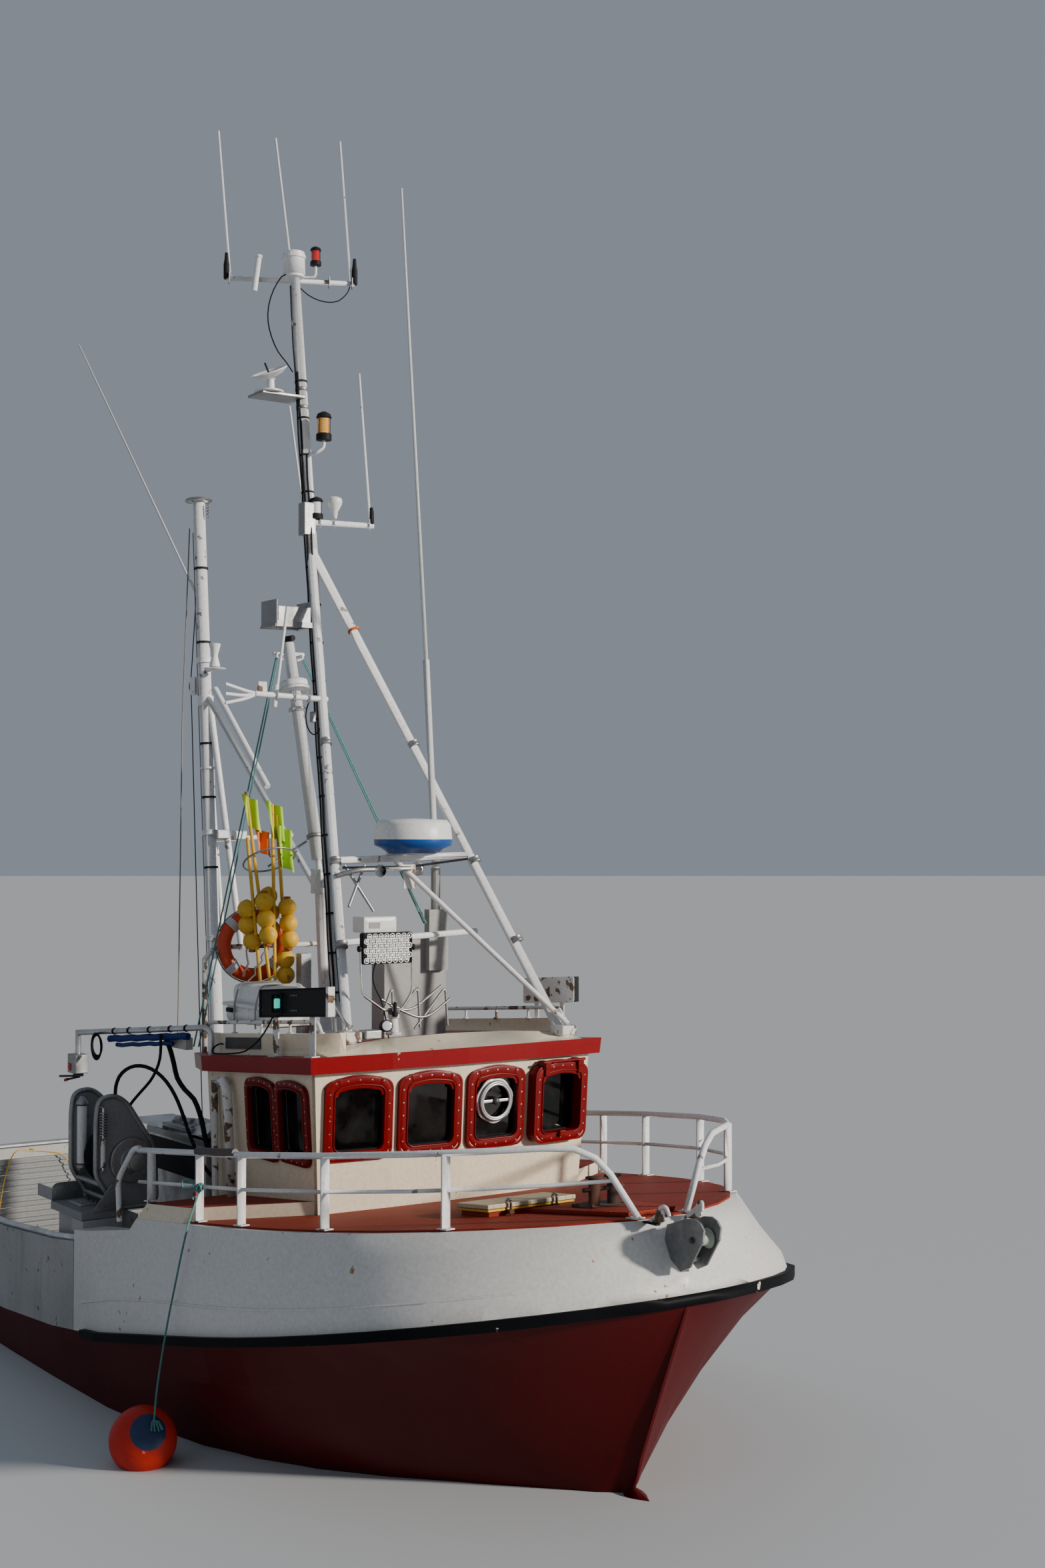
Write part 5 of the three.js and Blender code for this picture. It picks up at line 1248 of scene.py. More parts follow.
def window_ring(name, width, height, arch, corner, band, low, high, edge=0.004):
    """The plate with its middle cut out, thickened from low to high."""
    piece = window_plate(name, width, height, arch, corner)
    edit_all(piece)
    bpy.ops.mesh.select_mode(type="FACE")
    bpy.ops.mesh.inset(thickness=band)
    bpy.ops.mesh.delete(type="FACE")
    bpy.ops.mesh.select_all(action="SELECT")
    bpy.ops.transform.translate(value=(0, 0, low))
    bpy.ops.mesh.extrude_region_move(TRANSFORM_OT_translate={"value": (0, 0, high - low)})
    bpy.ops.mesh.select_all(action="SELECT")
    bpy.ops.mesh.normals_make_consistent(inside=False)
    choose(piece, "FACE", lambda place, normal: normal.z > SQUARE_ON)
    bpy.ops.mesh.region_to_loop()
    bpy.ops.mesh.bevel(offset=edge, segments=2, affect="EDGES")
    done()
    return smooth(piece, 30)


def even_steps(line, count):
    """So many points at equal distances round a closed line."""
    line = [Vector(spot) for spot in line]
    runs = list(zip(line, line[1:] + line[:1]))
    total = sum((end - start).length for start, end in runs)
    spots = []
    passed = 0.0
    for start, end in runs:
        length = (end - start).length
        while len(spots) < count and total * len(spots) / count <= passed + length:
            spots.append(start.lerp(end, (total * len(spots) / count - passed) / max(length, 1e-9)))
        passed += length
    return spots


def ring_bolts(name, width, height, arch, inset, high, count):
    """Bolt heads at even steps along the middle of a window's band."""
    half_w, half_h = width / 2 - inset, height / 2 - inset
    corners = [(-half_w, -half_h, high), (half_w, -half_h, high), (half_w, half_h, high)]
    corners += [(0, half_h + arch, high), (-half_w, half_h, high)]
    spots = even_steps(closed_line(corners, 0.08), count)
    return bolts(name, [(spot, (0, 0, 1)) for spot in spots], 0.0042, "polished_steel")


print("window helpers ready")

# %% [markdown]
# The wheelhouse front is a shallow bow of four flat facets. Each facet gives three directions:
# across it, up it and out of it. A matrix made of these directions carries the flat model onto the
# leaning wall. The fourth window stands further out, because its frame is a deep hinged one.

# %% Places of the windows
HOUSE_HALF = 1.160
HOUSE_BOW = 0.090
HOUSE_LEAN = 0.060


def front_corner(index, z):
    """A corner between two facets of the front, at height z."""
    share = index / 4
    lean = HOUSE_LEAN * (z - 1.6)
    x = HOUSE_FRONT - HOUSE_BOW + HOUSE_BOW * math.sin(share * math.pi) + lean
    return Vector((x, (HOUSE_HALF + lean) * (2 * share - 1), z))


def wall_frame(left, right, above, rise):
    """Matrix of a wall panel: X along it, Y up it, Z out of it, rise metres above its foot."""
    across = (right - left).normalized()
    out = across.cross(above - left).normalized()
    up = out.cross(across)
    middle = (left + right) / 2 + up * rise
    return Matrix.Translation(middle) @ Matrix((across, up, out)).transposed().to_4x4()


def front_frame(index):
    return wall_frame(front_corner(index, 1.6), front_corner(index + 1, 1.6), front_corner(index, 2.6), 0.7)


def side_frame(side, x):
    near, far = Vector((x - 0.3, side * HOUSE_HALF, 1.6)), Vector((x + 0.3, side * HOUSE_HALF, 1.6))
    left, right = (far, near) if side > 0 else (near, far)
    above = left + Vector((0, side * HOUSE_LEAN, 1.0))
    return wall_frame(left, right, above, 0.63 + 0.05 * (x - 2.0))


print("front window 1 stands at", [round(value, 3) for value in front_frame(0).translation])

# %% Front window frames
HINGED = 3

for index in range(4):
    proud = 0.090 if index == HINGED else 0.026
    flange = window_ring("flange", 0.530, 0.604, 0.018, 0.122, 0.020, -0.004, 0.010)
    band = window_ring("band", 0.516, 0.590, 0.018, 0.116, 0.058, 0.004, proud + 0.004, 0.006)
    lip = window_ring("lip", 0.410, 0.484, 0.014, 0.066, 0.010, 0.002, proud + 0.012, 0.003)
    heads = ring_bolts("heads", 0.516, 0.590, 0.018, 0.024, proud + 0.004, 20)
    gasket = window_ring("gasket", 0.396, 0.470, 0.014, 0.060, 0.010, -0.03, 0.004, 0.003)
    sleeve = window_ring("sleeve", 0.540, 0.594, 0.020, 0.080, 0.026, -0.012, proud + 0.002, 0.003)
    sleeve.data.transform(Matrix.Translation((0, -0.008, 0)))
    brow = window_ring("brow", 0.430, 0.500, 0.016, 0.080, 0.042, proud - 0.006, proud + 0.0025, 0.001)
    choose(brow, "FACE", lambda place, normal: place.y < 0.16)
    bpy.ops.mesh.delete(type="FACE")
    done()
    for part in (sleeve, brow, flange, band, lip):
        coat(part, "frame_red")
    coat(gasket, "black_rubber")
    frame_piece = joined(f"front_frame_{index + 1}", [sleeve, brow, flange, band, lip, heads, gasket])
    frame_piece.data.transform(front_frame(index))
    fit(frame_piece, "boat", "front_wall")
print("front window frames: 4")

# %% Side window frames
for side, label in ((-1, "starboard"), (1, "port")):
    for number, x in ((1, 1.875), (2, 2.365)):
        band = window_ring("band", 0.488, 0.590, 0.018, 0.085, 0.052, -0.004, 0.032, 0.006)
        lip = window_ring("lip", 0.394, 0.494, 0.014, 0.055, 0.012, 0.002, 0.037, 0.003)
        heads = ring_bolts("heads", 0.488, 0.590, 0.018, 0.02, 0.032, 22)
        gasket = window_ring("gasket", 0.384, 0.484, 0.014, 0.05, 0.02, -0.03, 0.002, 0.003)
        sleeve = window_ring("sleeve", 0.494, 0.596, 0.016, 0.080, 0.026, -0.012, 0.026, 0.003)
        sleeve.data.transform(Matrix.Translation((0, -0.007, 0)))
        for part in (sleeve, band, lip):
            coat(part, "frame_red")
        coat(gasket, "black_rubber")
        frame_piece = joined(f"side_frame_{label}_{number}", [sleeve, band, lip, heads, gasket])
        frame_piece.data.transform(side_frame(side, x))
        fit(frame_piece, "boat", f"{label}_wall")
print("side window frames: 4")

# %% [markdown]
# The fourth frame opens: two cast hinges with a pin sit over its top edge. The third pane carries a
# clear-view screen, a glass disc in an alloy ring that a motor in the hub spins fast enough to throw
# off spray. It has no joint of its own here, as it is a small fitting.

# %% Hinges of the opening window and the clear-view screen
hinge_parts = []
for x in (-0.17, 0.17):
    hinge_parts.append(block("ear", (x - 0.03, 0.270, 0.02), (x + 0.03, 0.325, 0.118), 0.006))
    hinge_parts.append(block("leaf", (x - 0.022, 0.215, 0.094), (x + 0.022, 0.318, 0.112), 0.005))
hinge_parts.append(rod("pin", (-0.22, 0.322, 0.104), (0.22, 0.322, 0.104), 0.011, sides=12))
hinge_parts.append(block("latch", (-0.03, -0.262, 0.094), (0.03, -0.215, 0.125), 0.006))
hinges = joined("window_hinges", hinge_parts)
coat(hinges, "frame_red")
hinges.data.transform(front_frame(HINGED))
fit(hinges, "boat", "front_wall")

CIRCLE_STEPS = 40


def circle(radius, height, wave):
    """A closed round line; wave makes it lumpy, like sealant laid by hand."""
    turns = [math.tau * index / CIRCLE_STEPS for index in range(CIRCLE_STEPS + 1)]
    return [
        Vector((radius * math.cos(a), radius * math.sin(a), height)) * (1 + wave * math.sin(7 * a))
        for a in turns]


SCREEN_RINGS = [
    # radius of the ring, height, radius of its bar, lumps, finish
    (0.142, 0.004, 0.0150, 0.0, "galvanised"),
    (0.128, 0.010, 0.0100, 0.0, "aluminium_plate"),
    (0.160, -0.014, 0.0110, 0.025, "lens_white"),
]
screen_parts = []
for radius, height, thick, wave, name in SCREEN_RINGS:
    screen_parts.append(coat(pipe("ring", circle(radius, height, wave), thick), name))
hub = turned("hub", [(0.030, -0.02), (0.030, 0.012), (0.022, 0.024), (0.012, 0.030), (0.004, 0.031)], 24)
bar = block("bar", (-0.130, -0.010, -0.006), (0.130, 0.012, 0.006), 0.004)
screen_parts += [coat(hub, "dark_iron"), coat(bar, "aluminium_plate")]
screen = joined("clear_view_screen", screen_parts)
screen.data.transform(front_frame(2) @ Matrix.Translation((0.0, 0.045, 0.012)))
fit(screen, "boat", "front_wall")
print("hinged window and clear-view screen fitted")

# %% [markdown]
# ## On the wheelhouse roof
# The roof falls gently aft, and everything bolted to it leans with it. The pieces are drawn level,
# with heights as they are at the roof's front, and one matrix then lowers them along the slope.

# %% Leaning with the roof
ROOF_SLOPE = Matrix((
    (1, 0, 0, 0),
    (0, 1, 0, 0),
    (HOUSE_SLOPE, 0, 1, -HOUSE_SLOPE * HOUSE_FRONT),
    (0, 0, 0, 1),
))
VISOR_TOP = HOUSE_TOP + 0.12
COAMING_TOP = HOUSE_TOP + 0.285


def on_roof(piece):
    """Lowers a piece, drawn level, along the slope of the roof."""
    piece.data.transform(ROOF_SLOPE)
    return piece


print("visor top at the front:", VISOR_TOP, "coaming top:", COAMING_TOP)

# %% [markdown]
# The starboard sidelight stands in a matt black screen, so that no light crosses the bow. It is a
# shallow tray: a plate whose outer face is inset and pushed in, with the lantern in a small box of
# its own and two white flat legs below.

# %% Starboard light screen
def sidelight_screen(name, x0, x1, y, z0, z1, outward):
    """A plate with a rim on its outer side."""
    plate = block(name, (x0, y - 0.02, z0), (x1, y + 0.02, z1), 0.003)
    choose(
        plate, "FACE",
        lambda place, normal: normal.y * outward > 0.9 and abs(place.z - (z0 + z1) / 2) < 0.02)
    bpy.ops.mesh.inset(thickness=0.012)
    bpy.ops.transform.translate(value=(0, -0.014 * outward, 0))
    done()
    return plate


board = coat(sidelight_screen("board", 1.864, 2.895, -1.215, 3.052, 3.262, -1), "black_plastic")
back = coat(block("back", (1.870, -1.196, 3.056), (2.890, -1.178, 3.258), 0.004), "flaking_white")
end_strip = coat(block("end_strip", (2.890, -1.236, 3.050), (2.925, -1.178, 3.264), 0.004), "flaking_white")
niche = coat(window_ring("niche", 0.15, 0.15, 0.0, 0.006, 0.008, 0.0, 0.024, 0.002), "black_plastic")
lantern = turned("lantern", [(0.030, -0.055), (0.034, -0.05), (0.034, 0.05), (0.026, 0.058)], 20)
lens = coat(
    turned("lens", [(0.026, -0.036), (0.028, -0.03), (0.028, 0.03), (0.022, 0.036)], 20), "lens_green")
coat(lantern, "black_plastic")
lantern.data.transform(Matrix.Translation((2.165, -1.222, 3.156)))
lens.data.transform(Matrix.Translation((2.170, -1.238, 3.156)))
niche.data.transform(Matrix.Translation((2.165, -1.228, 3.156)) @ Matrix.Rotation(math.radians(90), 4, "X"))
legs = [
    coat(
        block("leg", (x - 0.042, -1.206, VISOR_TOP - 0.01), (x + 0.042, -1.196, 3.060), 0.002),
        "flaking_white")
    for x in (2.077, 2.640)]
feet = [
    coat(
        block(
            "foot", (x - 0.055, -1.245, VISOR_TOP - 0.004), (x + 0.055, -1.170, VISOR_TOP + 0.008), 0.003
        ),
        "flaking_white")
    for x in (2.077, 2.640)]
screws = bolts(
    "screws", [((x, -1.226, z), (0, -1, 0)) for x in (2.36, 2.41, 2.39, 2.44) for z in (3.10, 3.21)],
    0.005)
screen_piece = joined(
    "starboard_light_screen", [board, back, end_strip, niche, lantern, lens, *legs, *feet, screws])
fit(on_roof(screen_piece), "boat", "nav_screen_starboard", ["nav_screen_starboard"])
print("starboard light screen fitted")

# %% Port light screen
# The port screen is an older one, its back a scraped white plate with rounded corners.
board = coat(sidelight_screen("board", 1.90, 2.57, 1.215, 3.045, 3.245, 1), "black_plastic")
panel = coat(window_plate("panel", 0.70, 0.205, 0.0, 0.025), "flaking_white")
edit_all(panel)
bpy.ops.mesh.select_mode(type="FACE")
bpy.ops.mesh.extrude_region_move(TRANSFORM_OT_translate={"value": (0, 0, 0.006)})
bpy.ops.mesh.select_all(action="SELECT")
bpy.ops.mesh.normals_make_consistent(inside=False)
done()
panel.data.transform(Matrix.Translation((2.235, 1.178, 3.145)) @ Matrix.Rotation(math.radians(90), 4, "X"))
lens = coat(
    turned("lens", [(0.026, -0.036), (0.028, -0.03), (0.028, 0.03), (0.022, 0.036)], 20), "lens_red")
lens.data.transform(Matrix.Translation((2.05, 1.240, 3.150)))
lantern = coat(
    turned("lantern", [(0.030, -0.055), (0.034, -0.05), (0.034, 0.05), (0.026, 0.058)], 20),
    "black_plastic")
lantern.data.transform(Matrix.Translation((2.05, 1.224, 3.150)))
legs = [
    coat(
        block("leg", (x - 0.026, 1.180, VISOR_TOP - 0.01), (x + 0.026, 1.190, 3.050), 0.002),
        "flaking_white")
    for x in (2.06, 2.41)]
heads = bolts("heads", [((x, 1.171, z), (0, -1, 0)) for x in (1.93, 2.54) for z in (3.07, 3.22)], 0.006)
port_screen = joined("port_light_screen", [board, panel, lens, lantern, *legs, heads])
fit(on_roof(port_screen), "boat", "nav_screen_port", ["nav_screen_port"])
print("port light screen fitted")

# %% [markdown]
# Low grab rails run along both coamings: a tube bent down at its ends, on short posts. A blank
# builder's plate is screwed to the starboard coaming, and the mast leg lands on a stepped shoe.

# %% Grab rails and coaming plate
for side, label, y in ((-1, "starboard", -1.085), (1, "port", 1.085)):
    line = [
        (0.66, y, COAMING_TOP), (0.70, y, COAMING_TOP + 0.085), (2.50, y, COAMING_TOP + 0.085),
        (2.56, y, COAMING_TOP)]
    tube = coat(pipe("tube", rounded(line, 0.06), 0.016), "flaking_white")
    posts = [
        coat(
            rod("post", (x, y, COAMING_TOP - 0.005), (x, y, COAMING_TOP + 0.082), 0.010), "flaking_white")
        for x in (1.16, 1.62, 2.08)]
    collars = [
        coat(
            turned("collar", [(0.026, -0.004), (0.026, 0.006), (0.015, 0.010)], 16, (x, y, COAMING_TOP)),
            "flaking_white")
        for x in (0.66, 1.16, 1.62, 2.08, 2.56)]
    rail = joined(f"grab_rail_{label}", [tube, *posts, *collars])
    fit(on_roof(rail), "boat", "roof")

plate = coat(block("plate", (1.113, -1.142, 2.807), (1.699, -1.128, 2.895), 0.004), "dark_iron")
choose(plate, "FACE", lambda place, normal: normal.y < -SQUARE_ON and abs(place.x - 1.406) < 0.05)
bpy.ops.mesh.inset(thickness=0.010)
bpy.ops.transform.translate(value=(0, 0.004, 0))
done()
screws = bolts("screws", [((x, -1.143, 2.851), (0, -1, 0)) for x in (1.122, 1.690)], 0.004)
fit(on_roof(joined("coaming_plate", [plate, screws])), "boat", "roof")
print("grab rails and blank plate fitted")

# %% [markdown]
# The working lamp is a flat black case full of small round reflectors in staggered rows. One
# reflector is turned as a cup with a lens dome and copied over the face. The case hangs in a bent
# strap on a stub post.

# %% Floodlight case
LAMP_AT = (2.400, -0.442, 3.504)
x, y, z = LAMP_AT
case = block("case", (x - 0.034, y - 0.218, z - 0.118), (x + 0.030, y + 0.218, z + 0.118), 0.014)
choose(case, "FACE", lambda place, normal: normal.x > 0.95 and abs(place.z - z) < 0.02)
bpy.ops.mesh.inset(thickness=0.012)
bpy.ops.transform.translate(value=(-0.010, 0, 0))
done()
coat(case, "black_plastic")
fins = [
    coat(
        block(
            "fin", (x - 0.052, y + shift - 0.003, z - 0.105), (x - 0.030, y + shift + 0.003, z + 0.105),
            0.001),
        "black_plastic")
    for shift in [-0.19 + 0.02 * count for count in range(20)]]

cup = coat(
    turned("cup", [(0.0215, 0.0), (0.0215, 0.012), (0.0185, 0.012), (0.012, 0.002)], 18), "polished_steel"
)
dome = coat(
    turned("dome", [(0.0105, 0.0), (0.0105, 0.006), (0.0080, 0.0105), (0.003, 0.0125)], 12), "lens_glass")
reflector = joined("reflector", [cup, dome])
spots = []
for row in range(6):
    for column in range(8):
        across = (column - 3.5) * 0.0500 + (0.0125 if row % 2 else -0.0125)
        spots.append(((x + 0.018, y + across, z + (row - 2.5) * 0.0360), (1, 0, 0)))
reflectors = joined("reflectors", copies(reflector, spots))
print("reflectors:", len(spots))

# %% Floodlight strap and post
strap_line = [
    (x, y - 0.226, z), (x, y - 0.214, z - 0.336), (x, y - 0.010, z - 0.474), (x, y + 0.130, z - 0.474),
    (x, y + 0.230, z - 0.336), (x, y + 0.226, z)]
strap = coat(pipe("strap", rounded(strap_line, 0.05), 0.010), "polished_steel")
knobs = [coat(turned("knob", [(0.022, -0.004), (0.024, 0.002), (0.024, 0.014), (0.016, 0.018)], 12,
                     (x, y + side * 0.228, z), (0, side, 0)), "black_plastic") for side in (-1, 1)]
post = coat(
    turned(
        "post",
        [(0.060, 0), (0.060, 0.012), (0.040, 0.016), (0.034, 0.120), (0.044, 0.126), (0.044, 0.150)], 20,
        (x, y + 0.064, 2.852)),
    "flaking_white")
clamp = coat(
    block("clamp", (x - 0.03, y + 0.03, z - 0.500), (x + 0.03, y + 0.10, z - 0.455), 0.006), "dark_iron")
lamp = joined("working_floodlight", [case, *fins, reflectors, strap, *knobs, post, clamp])
fit(lamp, "boat", "floodlight", ["floodlight"])
print("working floodlight fitted")

# %% Small lamps and horns by the mast foot
spot = turned("spot", [(0.020, -0.060), (0.042, -0.045), (0.046, 0.0), (0.046, 0.035), (0.040, 0.037)], 20,
              (2.50, -0.506, 2.930), (1, -0.3, 0.1))
coat(spot, "black_plastic")
spot_glass = coat(
    turned(
        "glass", [(0.038, 0), (0.036, 0.008), (0.020, 0.014)], 20, (2.535, -0.516, 2.934), (1, -0.3, 0.1)
    ),
    "lens_glass")
grey_box = coat(block("box", (2.42, -0.70, 2.840), (2.54, -0.56, 2.905), 0.010), "galvanised")
whip_base = coat(
    turned(
        "base", [(0.022, 0), (0.022, 0.03), (0.014, 0.045), (0.014, 0.10), (0.006, 0.11)], 14,
        (2.46, -0.40, 2.990)),
    "black_plastic")
fit(joined("roof_spot_lamp", [spot, spot_glass, grey_box, whip_base]), "boat", "floodlight")


def horn(name, mouth, tail, width):
    """A chromed trumpet between its tail and its mouth."""
    run = Vector(mouth) - Vector(tail)
    profile = [(width * 0.22, 0), (width * 0.24, 0.01), (width * 0.24, run.length * 0.55)]
    profile += [(width * 0.30, run.length * 0.75), (width * 0.55, run.length * 0.92), (width, run.length)]
    profile += [
        (width * 0.94, run.length - 0.002), (width * 0.45, run.length * 0.90),
        (width * 0.2, run.length * 0.78)]
    return coat(turned(name, profile, 24, tail, run), "polished_steel")


upper = horn("upper", (2.100, -0.315, 4.079), (1.800, 0.196, 4.085), 0.050)
driver = coat(
    turned(
        "driver", [(0.050, 0), (0.056, 0.01), (0.056, 0.05), (0.040, 0.06)], 20, (1.800, 0.196, 4.085),
        (-0.5, 0.86, 0)),
    "polished_steel")
fit(joined("upper_horn", [upper, driver]), "boat", "main_mast")
lower = horn("lower", (2.520, -0.834, 2.930), (2.400, -0.876, 3.084), 0.042)
fit(joined("lower_horn", [lower]), "boat", "main_mast")
print("spot lamp and horns fitted")

# %% [markdown]
# The radar sits on its shelf between the mast legs: a blue dish below and a white lid above, with a
# soft shoulder. The CAD part has the real profile, so its skin only needs the two coats.

# %% Radar, raft and other shells
radar = skin("radar_dome", 40, "shell_white", "radar_blue")
paint_faces(radar, 1, lambda place, normal: place.z < 4.312)
fit(radar, "boat", "radar_dome", ["radar_dome"])

lower_half = coat(block("lower", (0.90, -1.045, 2.870), (1.70, -0.635, 3.020), 0.045), "shell_white")
upper_half = coat(block("upper", (0.94, -1.010, 3.000), (1.66, -0.670, 3.180), 0.060), "shell_white")
seam = coat(block("seam", (0.885, -1.060, 3.000), (1.715, -0.620, 3.028), 0.010), "shell_white")
ribs = [coat(block("rib", (x - 0.02, -1.052, 2.872), (x + 0.02, -0.628, 3.012), 0.012), "shell_white")
        for x in (1.05, 1.30, 1.55)]
straps = [
    coat(
        pipe(
            "strap",
            rounded(
                [
                    (x, -1.066, 2.855), (x, -1.070, 3.02), (x, -1.020, 3.187), (x, -0.660, 3.187),
                    (x, -0.612, 3.02), (x, -0.612, 2.855)],
                0.05),
            0.007),
        "grey_strap")
    for x in (1.12, 1.48)]
release = coat(block("release", (1.00, -1.085, 2.955), (1.10, -1.052, 2.990), 0.008), "black_plastic")
cradle = [
    coat(
        block("cradle", (x - 0.02, -1.04, COAMING_TOP - 0.02), (x + 0.02, -0.64, 2.880), 0.004),
        "galvanised")
    for x in (1.04, 1.54)]
raft = joined("life_raft_canister", [lower_half, upper_half, seam, *ribs, *straps, release, *cradle])
fit(smooth(raft, 40), "boat", "life_raft", ["life_raft"])
print("radar and raft fitted")

# %% [markdown]
# ## The masts
# The mainmast leans aft over its two forward legs. What the photograph shows on it is fixed to its
# tube: a drum at the head, lamps on brackets, a cable run held by ties. Places on the mast are worked
# out from its own line, so that a collar sits round the tube wherever it is.

# %% Places along the mast
MAST_FOOT = Vector((0.920, 0.0, 2.740))
MAST_HEAD = Vector((0.080, 0.0, 9.310))
APEX = MAST_FOOT.lerp(MAST_HEAD, 0.615)
STARBOARD_LEG_FOOT = Vector((2.450, -0.795, 2.880))
PORT_LEG_FOOT = Vector((2.600, 1.060, 2.840))
SPAR_FOOT = Vector((0.580, 0.0, 4.010))
SPAR_HEAD = Vector((0.0, 0.0, 6.010))
AFT_FOOT = Vector((-1.180, 0.0, 0.360))
AFT_HEAD = Vector((-1.790, 0.0, 7.490))


def at_height(foot, head, z):
    """The point on a spar's middle line at height z."""
    return foot.lerp(head, (z - foot.z) / (head.z - foot.z))


def mast_radius(z):
    """The mainmast's tube tapers from the roof to its head."""
    return 0.058 - 0.014 * (z - 2.74) / 6.57


def collar(name, spot, run, radius, height, thick):
    """A clamp band round a tube, with a lip at each edge."""
    low, high = -height / 2, height / 2
    profile = [
        (radius, low), (radius + thick, low), (radius + thick * 1.25, low * 0.8),
        (radius + thick, low * 0.6)]
    profile += [
        (radius + thick, high * 0.6), (radius + thick * 1.25, high * 0.8), (radius + thick, high),
        (radius, high)]
    return turned(name, profile, 20, spot, run)


print("apex of the tripod at", [round(value, 3) for value in APEX])

# %% Cable run and its ties
mast_run = MAST_HEAD - MAST_FOOT
runs = []
for index, (shift, top, thick) in enumerate([((0.035, -0.052), 8.33, 0.010), ((0.058, -0.020), 7.60, 0.008),
                                             ((0.010, -0.066), 9.10, 0.006)]):
    spots = []
    for count in range(24):
        z = 2.98 + (top - 2.98) * count / 23
        centre = at_height(MAST_FOOT, MAST_HEAD, z)
        reach = mast_radius(z) / 0.056 * 1.06
        sway = 0.004 * math.sin(count * 1.9 + index)
        spots.append(centre + Vector((shift[0] * reach, shift[1] * reach + sway, 0)))
    runs.append(coat(pipe("run", spots, thick, roundness=2), "black_rubber"))
ties = []
for count in range(17):
    z = 3.05 + 0.325 * count
    centre = at_height(MAST_FOOT, MAST_HEAD, z)
    ties.append(
        coat(collar("tie", centre, mast_run, mast_radius(z) + 0.002, 0.016, 0.005), "black_plastic"))
fit(joined("mast_cable_run", runs + ties), "boat", "main_mast")
print("cable ties:", len(ties))

# %% [markdown]
# The masthead is a drum with a bolted flange lid. A bar with end plates crosses it and carries three
# whips; a red lamp with its cage stands beside it, and a short stub tube on the other side.

# %% Masthead
head = MAST_HEAD + Vector((0, 0, -0.02))
drum = coat(
    turned(
        "drum",
        [
            (0.050, -0.12), (0.088, -0.10), (0.088, 0.060), (0.106, 0.062), (0.106, 0.078),
            (0.100, 0.082), (0.060, 0.084), (0.050, 0.096), (0.010, 0.098)],
        28, head),
    "mast_white")
lid_bolts = bolts(
    "lid_bolts",
    [
        (head + Vector((0.096 * math.cos(a), 0.096 * math.sin(a), 0.081)), (0, 0, 1))
        for a in [math.tau * count / 8 for count in range(8)]],
    0.006)
BAR_ENDS = [Vector((-0.272, -0.470, 9.190)), Vector((0.196, 0.540, 9.190))]
bar_run = (BAR_ENDS[1] - BAR_ENDS[0]).normalized()
plates = []
for share in (0.02, 0.24, 0.80, 0.98):
    centre = BAR_ENDS[0].lerp(BAR_ENDS[1], share)
    plate = block("plate", (-0.045, -0.045, -0.004), (0.045, 0.045, 0.004), 0.003)
    plates.append(coat(place_on(plate, centre, bar_run), "galvanised"))
sockets = [
    coat(
        turned(
            "socket", [(0.022, -0.03), (0.026, -0.02), (0.026, 0.10), (0.018, 0.14), (0.014, 0.20)], 14,
            foot),
        "black_plastic")
    for foot in [BAR_ENDS[0] + Vector((0, 0, 0.02)), BAR_ENDS[1] + Vector((0, 0, 0.02))]]
stub = coat(pipe("stub", [(-0.080, -0.300, 9.060), (-0.070, -0.262, 9.360)], 0.026), "mast_white")
stub_cap = coat(
    turned(
        "cap", [(0.030, 0), (0.032, 0.004), (0.032, 0.02), (0.024, 0.026)], 16, (-0.070, -0.262, 9.352)),
    "shell_white")
fit(joined("masthead_fittings", [drum, lid_bolts, *plates, *sockets, stub, stub_cap]), "boat", "main_mast")


def caged_lamp(name, base, lens_finish, radius, height):
    """A round ship's lamp: a foot, a lens barrel with ribs, four bars and a cap."""
    foot = coat(turned("foot", [(radius * 0.7, 0), (radius * 1.15, 0.004), (radius * 1.15, height * 0.22),
                                (radius, height * 0.25)], 20, base), "black_plastic")
    rings = [(radius * 0.96, height * 0.24)]
    for count in range(7):
        z = height * (0.28 + 0.07 * count)
        rings += [(radius * 0.98, z), (radius * 0.90, z + height * 0.035)]
    barrel = coat(turned("barrel", rings + [(radius * 0.95, height * 0.77)], 20, base), lens_finish)
    cap = coat(
        turned(
            "cap",
            [
                (radius * 1.05, height * 0.76), (radius * 1.15, height * 0.80),
                (radius * 0.95, height * 0.92), (radius * 0.30, height)],
            20, base),
        "black_plastic")
    bars = []
    for count in range(4):
        a = math.tau * count / 4 + 0.4
        side = Vector((math.cos(a), math.sin(a), 0)) * radius * 1.12
        low = Vector(base) + side + Vector((0, 0, height * 0.15))
        bars.append(
            coat(
                rod("bar", low, low + Vector((0, 0, height * 0.68)), radius * 0.07, sides=8, edge=0.001),
                "black_plastic"))
    return joined(name, [foot, barrel, cap, *bars])


red_lamp = caged_lamp("red_masthead_lamp", (0.150, 0.178, 9.300), "lens_red", 0.042, 0.170)
bracket = coat(
    pipe(
        "bracket", rounded([(0.090, 0.090, 9.200), (0.150, 0.178, 9.200), (0.150, 0.178, 9.305)], 0.04),
        0.012),
    "mast_white")
fit(joined("red_masthead_lamp", [red_lamp, bracket]), "boat", "main_mast")
print("masthead fitted")

# %% [markdown]
# Further down come a small dish tilted to the sky on a flat plate, an amber steaming light on an
# elbow, and the yard with its guarded light and a cone aerial.

